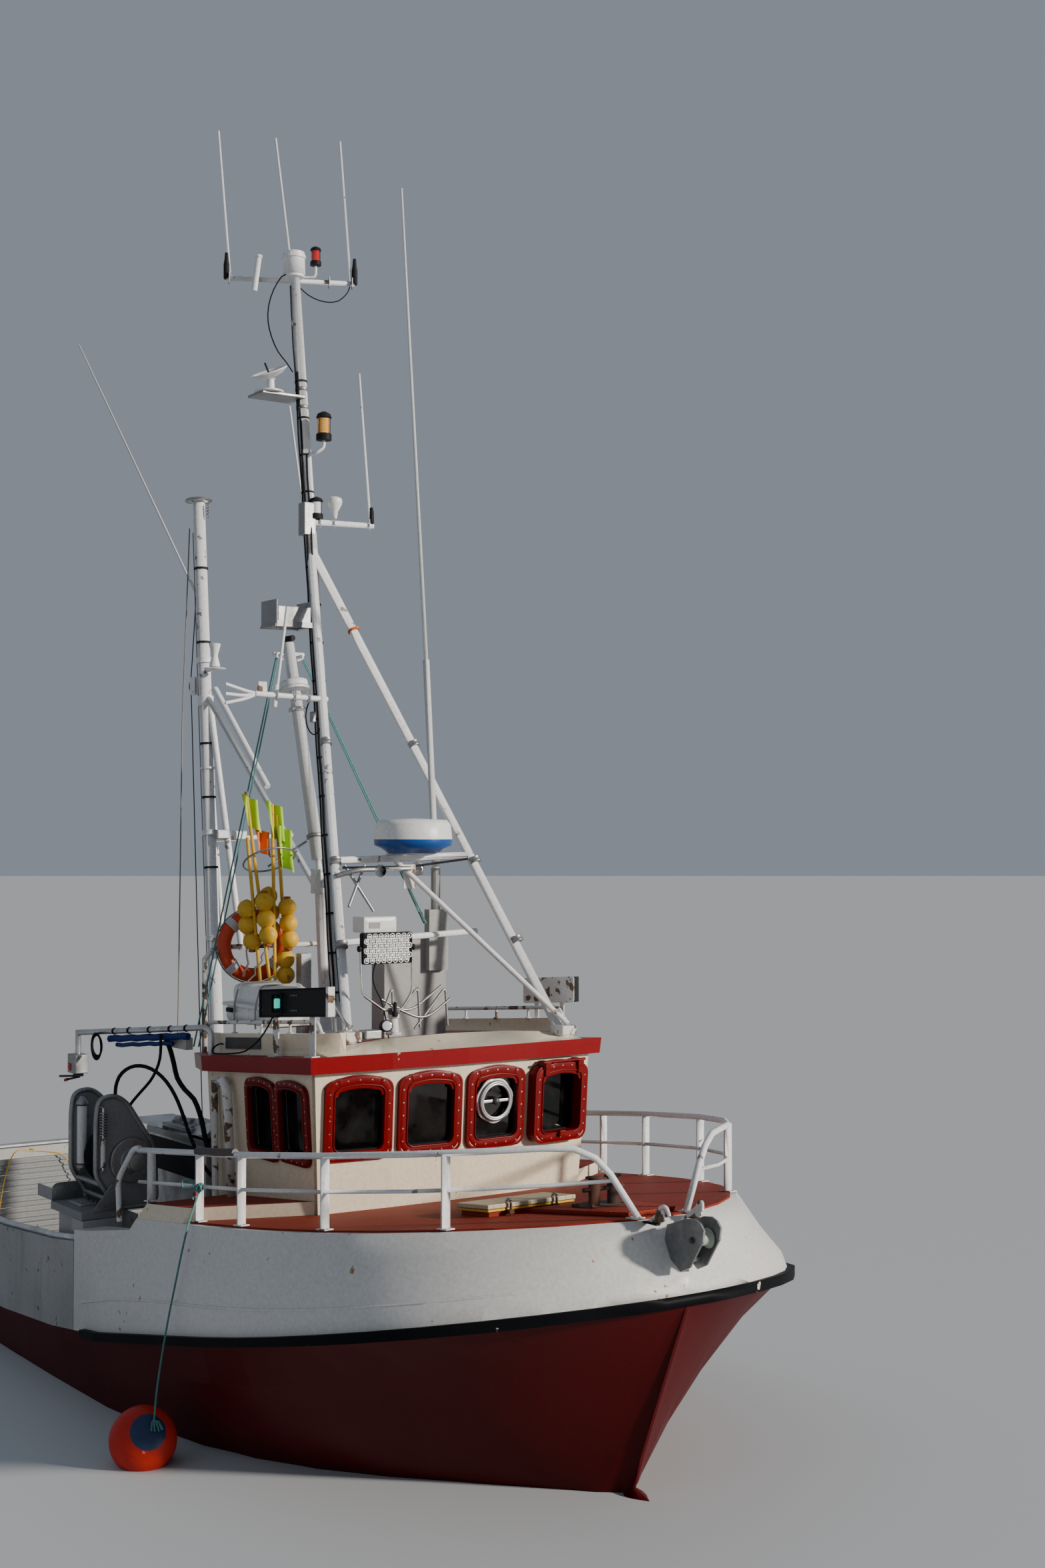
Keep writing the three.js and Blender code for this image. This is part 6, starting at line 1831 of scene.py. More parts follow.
# %% Dish, steaming light and yard
arm = coat(block("arm", (0.060, -0.430, 8.085), (0.340, -0.020, 8.110), 0.006), "galvanised")
plate = coat(
    turned(
        "plate", [(0.110, 0), (0.125, 0.004), (0.125, 0.016), (0.110, 0.020)], 24, (0.260, -0.330, 8.108)
    ),
    "shell_white")
neck = coat(
    turned("neck", [(0.040, 0), (0.034, 0.03), (0.030, 0.09), (0.045, 0.10)], 16, (0.290, -0.330, 8.125)),
    "shell_white")
bowl = coat(
    turned(
        "bowl",
        [
            (0.030, -0.040), (0.110, -0.020), (0.162, 0.014), (0.158, 0.024), (0.106, -0.006),
            (0.030, -0.024)],
        32, (0.300, -0.345, 8.262), (0.10, -0.42, 0.9)),
    "shell_white")
horn_feed = coat(rod("feed", (0.300, -0.345, 8.250), (0.315, -0.400, 8.345), 0.008), "black_plastic")
brackets = [
    coat(
        collar("band", at_height(MAST_FOOT, MAST_HEAD, z), mast_run, mast_radius(z), 0.03, 0.008),
        "galvanised")
    for z in (8.02, 8.18)]
fit(joined("small_dish", [arm, plate, neck, bowl, horn_feed, *brackets]), "boat", "main_mast")

elbow = [(0.300, 0.0, 7.600), (0.420, 0.040, 7.610), (0.450, 0.096, 7.660), (0.450, 0.096, 7.720)]
stem = coat(pipe("stem", rounded(elbow, 0.05), 0.016), "mast_white")
amber = caged_lamp("amber", (0.450, 0.096, 7.715), "lens_amber", 0.058, 0.250)
fit(joined("steaming_light", [stem, amber]), "boat", "main_mast")

YARD = [Vector((0.385, -0.070, 7.020)), Vector((0.494, 0.560, 7.020))]
saddle = coat(block("saddle", (0.330, -0.085, 6.900), (0.440, 0.030, 7.180), 0.008), "galvanised")
guard = caged_lamp("guard", (0.410, 0.045, 7.045), "lens_white", 0.052, 0.190)
cone = coat(
    turned(
        "cone",
        [
            (0.018, 0), (0.022, 0.004), (0.030, 0.060), (0.062, 0.120), (0.068, 0.150), (0.060, 0.176),
            (0.030, 0.190)],
        24, (0.430, 0.212, 7.060)),
    "shell_white")
u_bolts = [
    coat(
        pipe(
            "u",
            rounded(
                [
                    YARD[0].lerp(YARD[1], share) + Vector((0.03, 0.0, -0.05)),
                    YARD[0].lerp(YARD[1], share) + Vector((0.03, 0.0, 0.05))],
                0.0),
            0.006),
        "polished_steel")
    for share in (0.22, 0.42, 0.92)]
yard_socket = coat(
    turned(
        "socket", [(0.020, 0), (0.022, 0.01), (0.020, 0.12), (0.012, 0.16)], 14, (0.490, 0.545, 7.020)),
    "black_plastic")
fit(joined("yard_fittings", [saddle, guard, cone, *u_bolts, yard_socket]), "boat", "main_mast")
slender = coat(pipe("slender", [(-0.083, 0.05, 8.100), (0.276, 0.05, 6.793)], 0.009), "shell_white")
slender_foot = coat(pipe("foot", [(0.262, 0.05, 6.860), (0.300, 0.05, 6.700)], 0.015), "black_plastic")
fit(joined("slender_aerial", [slender, slender_foot]), "boat", "main_mast")
print("dish, steaming light and yard fitted")

# %% [markdown]
# A big galvanised floodlight box looks down from the apex of the tripod, and an aerial arm leaves
# the starboard leg with three bent prongs, U-bolts and a slender white aerial.

# %% Apex floodlight and aerial arm
hood = block("hood", (0.300, -0.400, 6.090), (0.560, -0.080, 6.270), 0.010)
choose(hood, "FACE", lambda place, normal: normal.z < -SQUARE_ON)
bpy.ops.transform.resize(value=(1.18, 1.18, 1), center_override=(0.43, -0.24, 6.09))
bpy.ops.mesh.inset(thickness=0.014)
bpy.ops.transform.translate(value=(0, 0, 0.05))
done()
coat(hood, "galvanised")
hood_glass = coat(block("glass", (0.320, -0.385, 6.112), (0.545, -0.095, 6.122), 0.002), "lens_glass")
hood_arm = coat(block("hood_arm", (0.360, -0.110, 6.160), (0.480, 0.060, 6.200), 0.006), "galvanised")
hood_cheeks = [coat(block("cheek", (0.290, y, 6.100), (0.570, y + 0.012, 6.320), 0.005), "galvanised")
               for y in (-0.415, -0.078)]
fit(joined("apex_floodlight", [hood, hood_glass, hood_arm, *hood_cheeks]), "boat", "main_mast")

arm_line = [(1.080, -0.220, 5.458), (1.080, -0.872, 5.480)]
arm = coat(pipe("arm", arm_line, 0.024), "mast_white")
prongs = [
    coat(
        pipe(
            "prong", rounded([(1.080, -0.850, 5.480), (1.080, -0.960, z0), (1.080, -1.135, z1)], 0.08),
            0.014),
        "mast_white") for z0,
    z1 in ((5.500, 5.548), (5.460, 5.470), (5.435, 5.396))]
u_bolts = []
for y in (-0.687, -0.524, -0.390):
    u_line = [(1.050, y, 5.520), (1.050, y, 5.430), (1.112, y, 5.430), (1.112, y, 5.520)]
    u_bolts.append(coat(pipe("u", rounded(u_line, 0.03), 0.007), "polished_steel"))
tab = coat(block("tab", (1.070, -0.850, 5.490), (1.090, -0.770, 5.580), 0.006), "flaking_white")
aerial = coat(pipe("aerial", [(1.080, -0.690, 5.440), (1.080, -0.587, 6.194)], 0.013), "shell_white")
aerial_foot = coat(pipe("foot", [(1.080, -0.700, 5.380), (1.080, -0.680, 5.560)], 0.020), "shell_white")
lock = coat(block("lock", (0.985, -0.330, 5.270), (1.030, -0.290, 5.360), 0.010), "galvanised")
fit(joined("aerial_arm", [arm, *prongs, *u_bolts, tab, aerial, aerial_foot, lock]), "boat", "main_mast")
print("apex floodlight and aerial arm fitted")

# %% [markdown]
# Between the legs hang the crossbars. Short braces, a blank box of electronics and the curved pipe
# of the horn's air line fill the triangle round the radar.

# %% Braces between the legs
BRACES = [
    # name, radius, bend, finish, points
    ("port_brace", 0.022, 0.0, "mast_white", [(1.850, -0.040, 4.160), (2.630, 1.080, 2.870)]),
    ("diagonal_1", 0.012, 0.0, "galvanised", [(1.830, -0.480, 4.120), (1.900, -0.260, 3.760)]),
    ("diagonal_2", 0.012, 0.0, "galvanised", [(1.830, -0.300, 4.120), (1.900, -0.480, 3.800)]),
    ("air_line", 0.020, 0.08, "galvanised",
     [(1.860, -0.560, 4.040), (1.930, -0.420, 4.085), (1.930, 0.060, 4.090)]),
    ("bar_cable", 0.009, 0.05, "black_rubber",
     [(1.840, -0.500, 4.100), (1.880, 0.100, 4.105), (1.860, 0.640, 4.160)]),
    ("rack_1", 0.010, 0.05, "galvanised",
     [(2.300, -0.420, 2.990), (2.300, -0.330, 3.200), (2.300, -0.315, 2.860)]),
    ("rack_2", 0.010, 0.05, "galvanised",
     [(2.300, -0.400, 2.870), (2.300, -0.100, 3.190), (2.300, -0.080, 2.880)]),
    ("rack_3", 0.010, 0.05, "galvanised",
     [(2.300, -0.130, 2.870), (2.300, 0.150, 3.180), (2.300, 0.170, 2.880)]),
    ("rack_4", 0.010, 0.12, "galvanised",
     [(2.290, -0.420, 3.110), (2.290, -0.180, 2.990), (2.290, 0.120, 3.190)]),
    ("rack_5", 0.010, 0.12, "galvanised",
     [(2.310, -0.350, 3.060), (2.310, -0.050, 2.930), (2.310, 0.190, 3.090)]),
]

for name, radius, bend, finish_name, points in BRACES:
    line = rounded(points, bend) if bend else points
    fit(coat(pipe(name, line, radius), finish_name), "boat", "main_mast")

shelf_plate = coat(
    block("shelf_plate", (1.880, 0.020, 3.930), (1.892, 0.130, 4.120), 0.004), "flaking_white")
instrument = block("instrument", (1.700, -0.335, 3.590), (1.880, -0.035, 3.715), 0.012)
choose(instrument, "FACE", lambda place, normal: normal.x > 0.95 and abs(place.z - 3.65) < 0.02)
bpy.ops.mesh.inset(thickness=0.020)
bpy.ops.transform.translate(value=(0.004, 0, 0))
done()
coat(instrument, "shell_white")
label = coat(block("label", (1.884, -0.290, 3.625), (1.888, -0.190, 3.672), 0.001), "grey_strap")
fit(joined("electronics_box", [shelf_plate, instrument, label]), "boat", "main_mast")

clamps = []
for foot, apex in ((STARBOARD_LEG_FOOT, APEX), (PORT_LEG_FOOT, APEX)):
    for z in (3.52, 4.15, 5.10):
        clamps.append(
            coat(
                collar("clamp", at_height(foot, apex, z), apex - foot, 0.040, 0.045, 0.008), "galvanised")
        )
    shoe = block(
        "shoe", (foot.x - 0.085, foot.y - 0.07, foot.z - 0.055),
        (foot.x + 0.085, foot.y + 0.07, foot.z + 0.020), 0.012)
    clamps.append(coat(shoe, "flaking_white"))
ring_spot = at_height(PORT_LEG_FOOT, APEX, 6.07)
orange_band = coat(collar("band", ring_spot, APEX - PORT_LEG_FOOT, 0.040, 0.02, 0.010), "orange_rope")
fit(joined("leg_clamps", clamps + [orange_band]), "boat", "main_mast")
print("braces:", len(BRACES))

# %% [markdown]
# ## Spar, aft mast and running lines
# The lifting spar carries a small camera and two eyes at its head. From each eye a tackle of two
# parts runs down, one to the corner of the roof and one forward. They bend between the boat and the
# spar when it swings, so their upper ends follow it. The aft mast has a flange lid, a halyard block
# and a deck light whose shade is an hourglass.

# %% Spar head and lamp tray
spar_run = SPAR_HEAD - SPAR_FOOT
spar_parts = [
    coat(collar("band", at_height(SPAR_FOOT, SPAR_HEAD, z), spar_run, radius, 0.030, thick), name) for z,
    radius, thick,
    name in [
        (5.60, 0.068, 0.055, "mast_white"), (5.42, 0.064, 0.020, "polished_steel"),
        (4.34, 0.060, 0.012, "galvanised")]]
camera_body = coat(rod("camera", (-0.055, -0.010, 6.050), (0.070, 0.010, 6.055), 0.026), "black_plastic")
spar_parts.append(camera_body)
for side in (-1, 1):
    eye = [
        (0.020, side * 0.055, 5.910), (0.026, side * 0.120, 5.925), (0.030, side * 0.130, 5.880),
        (0.034, side * 0.070, 5.865)]
    spar_parts.append(coat(pipe("eye", rounded(eye, 0.02), 0.010), "mast_white"))
fit(joined("spar_head", spar_parts), "boom", "boom")

TACKLES = [
    # head on the spar, foot on the boat
    ((0.010, -0.125, 5.880), (0.520, -1.130, 2.640)),
    ((0.040, -0.120, 5.880), (0.560, -1.105, 2.640)),
    ((0.020, 0.125, 5.880), (1.600, 0.390, 3.640)),
    ((0.055, 0.120, 5.880), (1.660, 0.375, 3.640)),
]
for index, (top, foot) in enumerate(TACKLES):
    line = [Vector(top).lerp(Vector(foot), count / 12) for count in range(13)]
    tackle = coat(pipe(f"tackle_{index + 1}", line, 0.0065, roundness=2), "teal_rope")
    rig.slot(tackle, "boom")
    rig.blend(tackle, "boom", "boat", top, foot)
print("spar head and tackles:", len(TACKLES))

# %% Aft mast fittings
aft_run = AFT_HEAD - AFT_FOOT
lid = turned(
    "lid", [(0.060, 0), (0.125, 0.002), (0.130, 0.010), (0.125, 0.018), (0.020, 0.020)], 28, AFT_HEAD,
    aft_run)
aft_parts = [coat(lid, "galvanised")]
for index in range(4):
    z = 7.440 - 0.030 * index
    link = [
        (-1.700 + 0.016 * math.cos(a), 0.050, z + 0.022 * math.sin(a))
        for a in [math.tau * c / 10 for c in range(11)]]
    aft_parts.append(coat(pipe("link", link, 0.005, roundness=2), "galvanised"))
for z, tall in ((5.98, 0.05), (5.60, 0.09), (4.97, 0.02), (4.37, 0.05), (3.40, 0.05)):
    aft_parts.append(
        coat(collar("band", at_height(AFT_FOOT, AFT_HEAD, z), aft_run, 0.064, tall, 0.010), "mast_white"))
for z in (6.85, 6.15, 5.20, 4.70, 4.05):
    aft_parts.append(
        coat(
            collar("tape", at_height(AFT_FOOT, AFT_HEAD, z), aft_run, 0.062, 0.018, 0.004),
            "black_plastic"))
shade = [(0.045, 0), (0.052, 0.004), (0.028, 0.105), (0.030, 0.115), (0.056, 0.215), (0.050, 0.218)]
aft_parts.append(coat(turned("shade", shade, 24, (-1.440, 0.0, 5.905)), "mast_white"))
aft_parts.append(
    coat(
        turned(
            "tray", [(0.100, 0), (0.104, 0.004), (0.100, 0.010), (0.030, 0.014)], 24, (-1.440, 0, 5.885)),
        "mast_white"))
aft_parts.append(coat(rod("tray_arm", (-1.640, 0.0, 5.880), (-1.440, 0.0, 5.885), 0.016), "mast_white"))
ears = [
    coat(block("ear", (-1.800, y - 0.006, 5.660), (-1.700, y + 0.006, 5.830), 0.004), "mast_white")
    for y in (-0.075, -0.050)]
pulley = turned(
    "pulley", [(0.020, -0.010), (0.052, -0.008), (0.046, 0), (0.052, 0.008), (0.020, 0.010)], 20,
    (-1.790, -0.063, 5.745), ACROSS)
aft_parts += [*ears, coat(pulley, "dark_iron")]
for spot in ((-1.340, 0.024, 4.300), (-1.340, 0.208, 4.290)):
    head = Vector(spot)
    aft_parts.append(
        coat(
            block(
                "lamp", head + Vector((-0.03, -0.065, 0.012)), head + Vector((0.045, 0.065, 0.100)), 0.010
            ),
            "galvanised"))
    aft_parts.append(
        coat(
            block(
                "glass", head + Vector((0.040, -0.052, 0.024)), head + Vector((0.050, 0.052, 0.088)),
                0.003),
            "lens_white"))
HALYARDS = [
    # start, end, radius, finish
    ((-1.860, -0.060, 7.240), (-1.980, -0.070, 5.500), 0.006, "grey_rope"),
    ((-1.980, -0.070, 5.500), (-1.560, -0.300, 2.480), 0.006, "grey_rope"),
    ((-1.840, 0.000, 6.600), (-1.790, -0.075, 5.790), 0.005, "black_rubber"),
    ((-1.780, -0.075, 5.700), (-1.340, -0.140, 1.300), 0.005, "black_rubber"),
    ((-1.850, -0.030, 7.200), (-1.290, -0.060, 1.200), 0.005, "grey_rope"),
]
for start, end, radius, name in HALYARDS:
    aft_parts.append(coat(pipe("halyard", sagging(start, end, 0.02, 8), radius, roundness=2), name))
STRUTS = [
    # start, end, radius
    ((-1.430, 0.000, 5.700), (-0.384, 0.000, 4.777), 0.030),
    ((-1.600, 0.020, 5.650), (-1.150, 0.140, 3.300), 0.030),
    ((-1.660, 0.020, 5.600), (-1.560, 0.160, 3.300), 0.022),
]
for start, end, radius in STRUTS:
    aft_parts.append(coat(rod("strut", start, end, radius), "mast_white"))
fit(joined("aft_mast_fittings", aft_parts), "boat", "aft_mast")
print("aft mast parts:", len(aft_parts))

# %% [markdown]
# ## The hauler
# Longline and nets come in over this hauler. Two side plates with thick rolled edges hold a grooved
# sheave, which a hydraulic motor turns. An upright roller leads the line on, and a coil spring keeps
# the lead bar from slamming. The plates are cut to their outline, and a pipe follows it as the edge.

# %% Side plates and sheave
PLATE_OUTLINE = [
    # y, z round a side plate, from the outboard corner
    (-1.920, 1.660), (-1.865, 1.570), (-1.800, 1.480), (-1.790, 1.385), (-1.400, 1.385),
    (-1.420, 1.840), (-1.655, 2.210), (-1.760, 2.285), (-1.900, 2.260), (-1.920, 2.100),
]
SHEAVE_AT = Vector((0.150, -1.635, 1.760))

outline = closed_line([(y, z, 0) for y, z in PLATE_OUTLINE], 0.09)
frame_parts = []
for x in (-0.106, 0.406):
    plate = coat(stand(cut_plate("plate", outline, 0.012), (x, 0, 0), ACROSS, UP), "machine_grey")
    edge = coat(
        pipe("edge", [(x + 0.006, spot.x, spot.y) for spot in outline + outline[:1]], 0.021), "galvanised"
    )
    frame_parts += [plate, edge]
boss = turned(
    "boss", [(0.178, 0), (0.178, 0.030), (0.168, 0.042), (0.100, 0.046), (0.092, 0.060), (0.040, 0.062)],
    36, (0.418, -1.635, 1.760), AHEAD)
motor = turned("motor", [(0.078, 0), (0.078, 0.080), (0.070, 0.090), (0.070, 0.130), (0.050, 0.138)], 20,
               (0.462, -1.635, 1.760), AHEAD)
boss_bolts = [((0.459, -1.635 + 0.142 * math.cos(a), 1.760 + 0.142 * math.sin(a)), AHEAD)
              for a in [math.tau * count / 8 for count in range(8)]]
frame_parts += [coat(boss, "galvanised"), coat(motor, "galvanised"), bolts("boss_bolts", boss_bolts, 0.011)]
FRAME_RODS = [
    # start, end, radius, finish
    ((-0.094, -1.635, 1.760), (0.036, -1.635, 1.760), 0.024, "polished_steel"),
    ((0.264, -1.635, 1.760), (0.406, -1.635, 1.760), 0.024, "polished_steel"),
    ((-0.094, -1.865, 1.580), (0.406, -1.865, 1.580), 0.022, "galvanised"),
    ((-0.094, -1.800, 1.460), (0.406, -1.800, 1.460), 0.022, "galvanised"),
    ((0.455, -1.878, 1.725), (0.455, -1.878, 1.955), 0.019, "flaking_white"),
    ((0.455, -1.878, 1.700), (0.455, -1.878, 2.200), 0.009, "polished_steel"),
    ((-0.045, -1.850, 1.655), (-0.045, -1.850, 1.684), 0.045, "galvanised"),
]
for start, end, radius, name in FRAME_RODS:
    frame_parts.append(coat(rod("bar", start, end, radius), name))
cone = turned("cone", [(0.044, 0), (0.052, 0.006), (0.052, 0.020), (0.030, 0.052), (0.016, 0.070)], 24,
              (-0.045, -1.850, 2.166))
FRAME_BLOCKS = [
    # low corner, high corner, finish
    ((-0.100, -1.885, 1.640), (-0.010, -1.815, 1.656), "galvanised"),
    ((0.418, -1.900, 1.690), (0.480, -1.856, 1.702), "galvanised"),
    ((0.418, -1.900, 2.196), (0.480, -1.856, 2.208), "galvanised"),
    ((-0.190, -2.055, 1.325), (0.455, -1.700, 1.388), "machine_grey"),
    ((-0.150, -2.000, 0.450), (0.420, -1.560, 1.324), "scuffed_white"),
    ((0.240, -2.050, 1.215), (0.470, -1.720, 1.322), "scuffed_white"),
    ((-0.060, -1.960, 1.388), (0.200, -1.820, 1.400), "aluminium_plate"),
    ((-0.860, -1.906, 1.320), (-0.490, -1.894, 1.420), "galvanised"),
]
for low, high, name in FRAME_BLOCKS:
    frame_parts.append(coat(block("part", low, high), name))
tray_back = cut_plate(
    "tray_back", rounded([(-1.720, 1.388), (-1.720, 1.530), (-2.050, 1.530), (-2.050, 1.388)], 0.13),
    0.006)
guard = cut_plate("guard", [(-1.970, 1.388), (-1.700, 1.388), (-1.790, 1.590), (-1.815, 1.590)], 0.006)
frame_parts.append(coat(stand(tray_back, (-0.188, 0, 0), ACROSS, UP), "galvanised"))
frame_parts.append(coat(stand(guard, (0.462, 0, 0), ACROSS, UP), "galvanised"))
frame_parts.append(
    bolts("tray_bolts", [((x, -1.86 + y, 1.400), UP) for x in (-0.04, 0.05, 0.14) for y in (-0.06, 0.06)])
)
coil = [(0.455 + 0.027 * math.cos(turn), -1.878 + 0.027 * math.sin(turn), 1.965 + 0.0215 * turn / math.tau)
        for turn in [math.tau * count / 12 for count in range(9 * 12)]]
frame_parts += [coat(pipe("spring", coil, 0.0055, roundness=2), "galvanised"), coat(cone, "galvanised")]
fit(joined("hauler_side_plates", frame_parts), "boat", "hauler_frame", ["hauler_frame"])

groove = [
    (0.030, -0.110), (0.230, -0.110), (0.237, -0.102), (0.228, -0.086), (0.205, -0.070), (0.212, -0.062)]
groove += [(0.186, -0.046), (0.192, -0.038), (0.158, -0.014), (0.150, 0.0)]
profile = groove + [(radius, -height) for radius, height in reversed(groove[:-1])]
sheave = coat(turned("sheave", profile, 40, SHEAVE_AT, AHEAD), "black_rubber")
fit(sheave, "hauler_sheave", "hauler_sheave", ["hauler_sheave"])
roller = coat(
    turned(
        "roller",
        [(0.014, 0), (0.036, 0.002), (0.040, 0.010), (0.040, 0.455), (0.036, 0.465), (0.014, 0.468)], 28,
        (-0.045, -1.850, 1.691)),
    "shell_white")
fit(roller, "guide_roller", "guide_roller", ["guide_roller"])
print("hauler parts:", len(frame_parts) + 2)

# %% [markdown]
# Behind the hauler a bin of aluminium plate takes the line. Its top is half open and dark inside;
# the fixed half carries the round caps of the hydraulic tank. Beside it a pipe boom reaches out from
# the wheelhouse with the hauler's control box, and hoses in a blue sheath are lashed along it.

# %% Bin, control box and sheath
BIN_BLOCKS = [
    # low corner, high corner, finish
    ((-0.205, -1.205, 0.440), (0.905, -1.195, 1.900), "aluminium_plate"),
    ((-0.210, -1.210, 1.880), (0.910, -1.196, 1.930), "galvanised"),
    ((-0.150, -1.207, 1.600), (0.860, -1.2055, 1.860), "black_plastic"),
    ((-0.540, -1.200, 1.930), (0.080, -0.820, 1.955), "aluminium_plate"),
    ((0.080, -1.200, 1.955), (0.620, -0.820, 1.990), "galvanised"),
    ((0.620, -1.200, 1.915), (0.900, -0.820, 1.955), "aluminium_plate"),
    ((0.310, -1.300, 2.640), (0.730, -1.235, 2.735), "scuffed_white"),
]
bin_parts = [coat(block("bin_part", low, high), name) for low, high, name in BIN_BLOCKS]
for x in (0.170, 0.350, 0.530):
    cap = turned(
        "cap", [(0.070, 0), (0.070, 0.020), (0.050, 0.026), (0.045, 0.046), (0.020, 0.050)], 20,
        (x, -1.08, 1.990))
    bin_parts.append(coat(cap, "galvanised"))
fit(joined("bin_fittings", bin_parts), "boat", "hauling_bin")

arm_line = rounded(
    [(1.010, -1.212, 2.560), (1.010, -1.212, 2.800), (0.960, -1.240, 2.835), (-0.620, -1.650, 2.690)],
    0.05)
arm_parts = [coat(pipe("boom_pipe", arm_line, 0.024), "aluminium_plate")]
arm_parts.append(
    coat(pipe("drop", [(-0.620, -1.650, 2.712), (-0.620, -1.650, 2.505)], 0.024), "aluminium_plate"))
ARM_BLOCKS = [
    ((-0.705, -1.710, 2.352), (-0.545, -1.590, 2.510), "galvanised"),
    ((-0.550, -1.706, 2.356), (-0.532, -1.594, 2.506), "aluminium_plate"),
    ((-0.690, -1.716, 2.372), (-0.625, -1.709, 2.432), "signal_red"),
    ((-0.660, -1.680, 2.325), (-0.570, -1.620, 2.352), "black_plastic"),
]
arm_parts += [coat(block("box", low, high), name) for low, high, name in ARM_BLOCKS]
for start, end in [((-0.600, -1.670, 2.330), (-0.900, -1.700, 2.300)),
    ((-0.610, -1.640, 2.320), (-0.880, -1.650, 2.268))]:
    arm_parts.append(coat(rod("lever", start, end, 0.009), "black_plastic"))
arm_parts.append(coat(rod("knob", (-0.850, -1.648, 2.275), (-0.905, -1.650, 2.262), 0.013), "signal_red"))
arm_start, arm_end = Vector((-0.620, -1.650, 2.690)), Vector((0.960, -1.240, 2.835))
sheath = []
for count in range(15):
    spot = arm_start.lerp(arm_end, 0.26 + 0.044 * count)
    sheath.append(spot + Vector((0, 0.004 * math.sin(count * 1.3), -0.062 + 0.004 * math.sin(count * 2.1))))
arm_parts.append(coat(pipe("sheath", sheath, 0.029), "hose_blue"))
arm_parts.append(
    coat(
        pipe("under_sheath", [spot + Vector((0.03, 0, -0.05)) for spot in sheath[1:-3]], 0.018),
        "hose_blue"))
for share in (0.30, 0.42, 0.58, 0.74, 0.86):
    ring = turned(
        "tie", [(0.026, -0.012), (0.030, 0), (0.026, 0.012)], 16, arm_start.lerp(arm_end, share),
        arm_end - arm_start)
    arm_parts.append(coat(ring, "black_rubber"))
for index in range(4):
    loop = []
    for count in range(19):
        a = math.tau * count / 18
        loop.append((-0.36 + 0.10 * math.cos(a) + 0.022 * index, -1.590 - 0.012 * index,
                     2.600 + (0.085 + 0.008 * index) * math.sin(a)))
    arm_parts.append(coat(pipe("coil", loop, 0.008, roundness=2), "black_rubber"))
fit(joined("control_boom", arm_parts), "boat", "control_arm", ["control_arm"])
print("bin and control boom fitted")

# %% [markdown]
# ## On the foredeck
# The foredeck rises forward, so pieces on it are drawn level at the mast's length and leaned along
# it by one matrix. Rail posts stand on bolted foot plates. The hatch lid is held down by two dogs on
# its forward edge and hinges at its aft edge. A doubler plate stiffens the deck under the bitts.

# %% Leaning with the foredeck
DECK_AT, DECK_Z, DECK_SLOPE = 3.800, 1.741, 0.107
DECK_LEAN = Matrix(
    ((1, 0, 0, 0), (0, 1, 0, 0), (DECK_SLOPE, 0, 1, DECK_Z - DECK_SLOPE * DECK_AT), (0, 0, 0, 1)))
RAIL_POSTS = [
    # x, distance from the middle line, height of its foot over the deck
    (1.275, 1.835, 0.112), (2.100, 1.831, 0.0), (2.705, 1.800, 0.0),
     (3.590, 1.629, 0.0), (4.415, 1.197, 0.0),
    (5.150, 0.215, 0.0),
]


def on_deck(piece):
    """Leans a piece, drawn with the deck at height zero, along the foredeck."""
    piece.data.transform(DECK_LEAN)
    return piece


for side, label in ((-1, "starboard"), (1, "port")):
    feet = []
    for x, reach, step_up in RAIL_POSTS:
        y = side * reach
        foot = block(
            "foot", (x - 0.062, y - 0.034, step_up - 0.002), (x + 0.062, y + 0.034, step_up + 0.008),
            0.002)
        heads = bolts("heads", [((x + dx, y, step_up + 0.007), UP) for dx in (-0.048, 0.048)], 0.007)
        feet += [coat(foot, "flaking_white"), heads]
    fit(on_deck(joined(f"rail_feet_{label}", feet)), "boat", f"bow_rail_{label}")
sleeve = coat(
    pipe("sleeve", [(2.060, -1.832, 2.060), (2.340, -1.822, 2.090), (2.620, -1.806, 2.121)], 0.0285),
    "dark_iron")
tail_line = rounded(
    [(1.060, -1.834, 1.955), (0.985, -1.855, 1.940), (0.914, -1.950, 1.706), (0.960, -1.955, 1.392)], 0.06
)
tail = coat(pipe("rail_tail", tail_line, 0.022), "flaking_white")
fit(joined("rail_sleeve_and_tail", [sleeve, tail]), "boat", "bow_rail_starboard")
print("rail feet:", 2 * len(RAIL_POSTS))

# %% Hatch fittings and doubler
dogs = []
for y in (-0.493, -0.110):
    dogs.append(
        coat(block("lug", (4.098, y - 0.020, 0.010), (4.150, y + 0.020, 0.040), 0.004), "rusty_steel"))
    dogs.append(coat(rod("bolt", (4.135, y, 0.000), (4.135, y, 0.105), 0.009), "rusty_steel"))
    arch = [(4.080, y, 0.080), (4.092, y, 0.106), (4.124, y, 0.110), (4.138, y, 0.084)]
    dogs.append(coat(pipe("dog", rounded(arch, 0.02), 0.010), "galvanised"))
for y in (-0.443, -0.146):
    dogs.append(
        coat(rod("hinge", (3.706, y - 0.035, 0.070), (3.706, y + 0.035, 0.070), 0.013), "rusty_steel"))
dogs.append(coat(block("gasket", (3.722, -0.660, 0.034), (4.108, 0.064, 0.050), 0.004), "float_yellow"))
fit(on_deck(joined("hatch_fittings", dogs)), "boat", "hatch_coaming")
lid = block("lid", (3.717, -0.666, 0.0535), (4.113, 0.070, 0.084), 0.006)
fit(on_deck(coat(lid, "hatch_nonslip")), "hatch_lid", "hatch_lid", ["hatch_lid"])

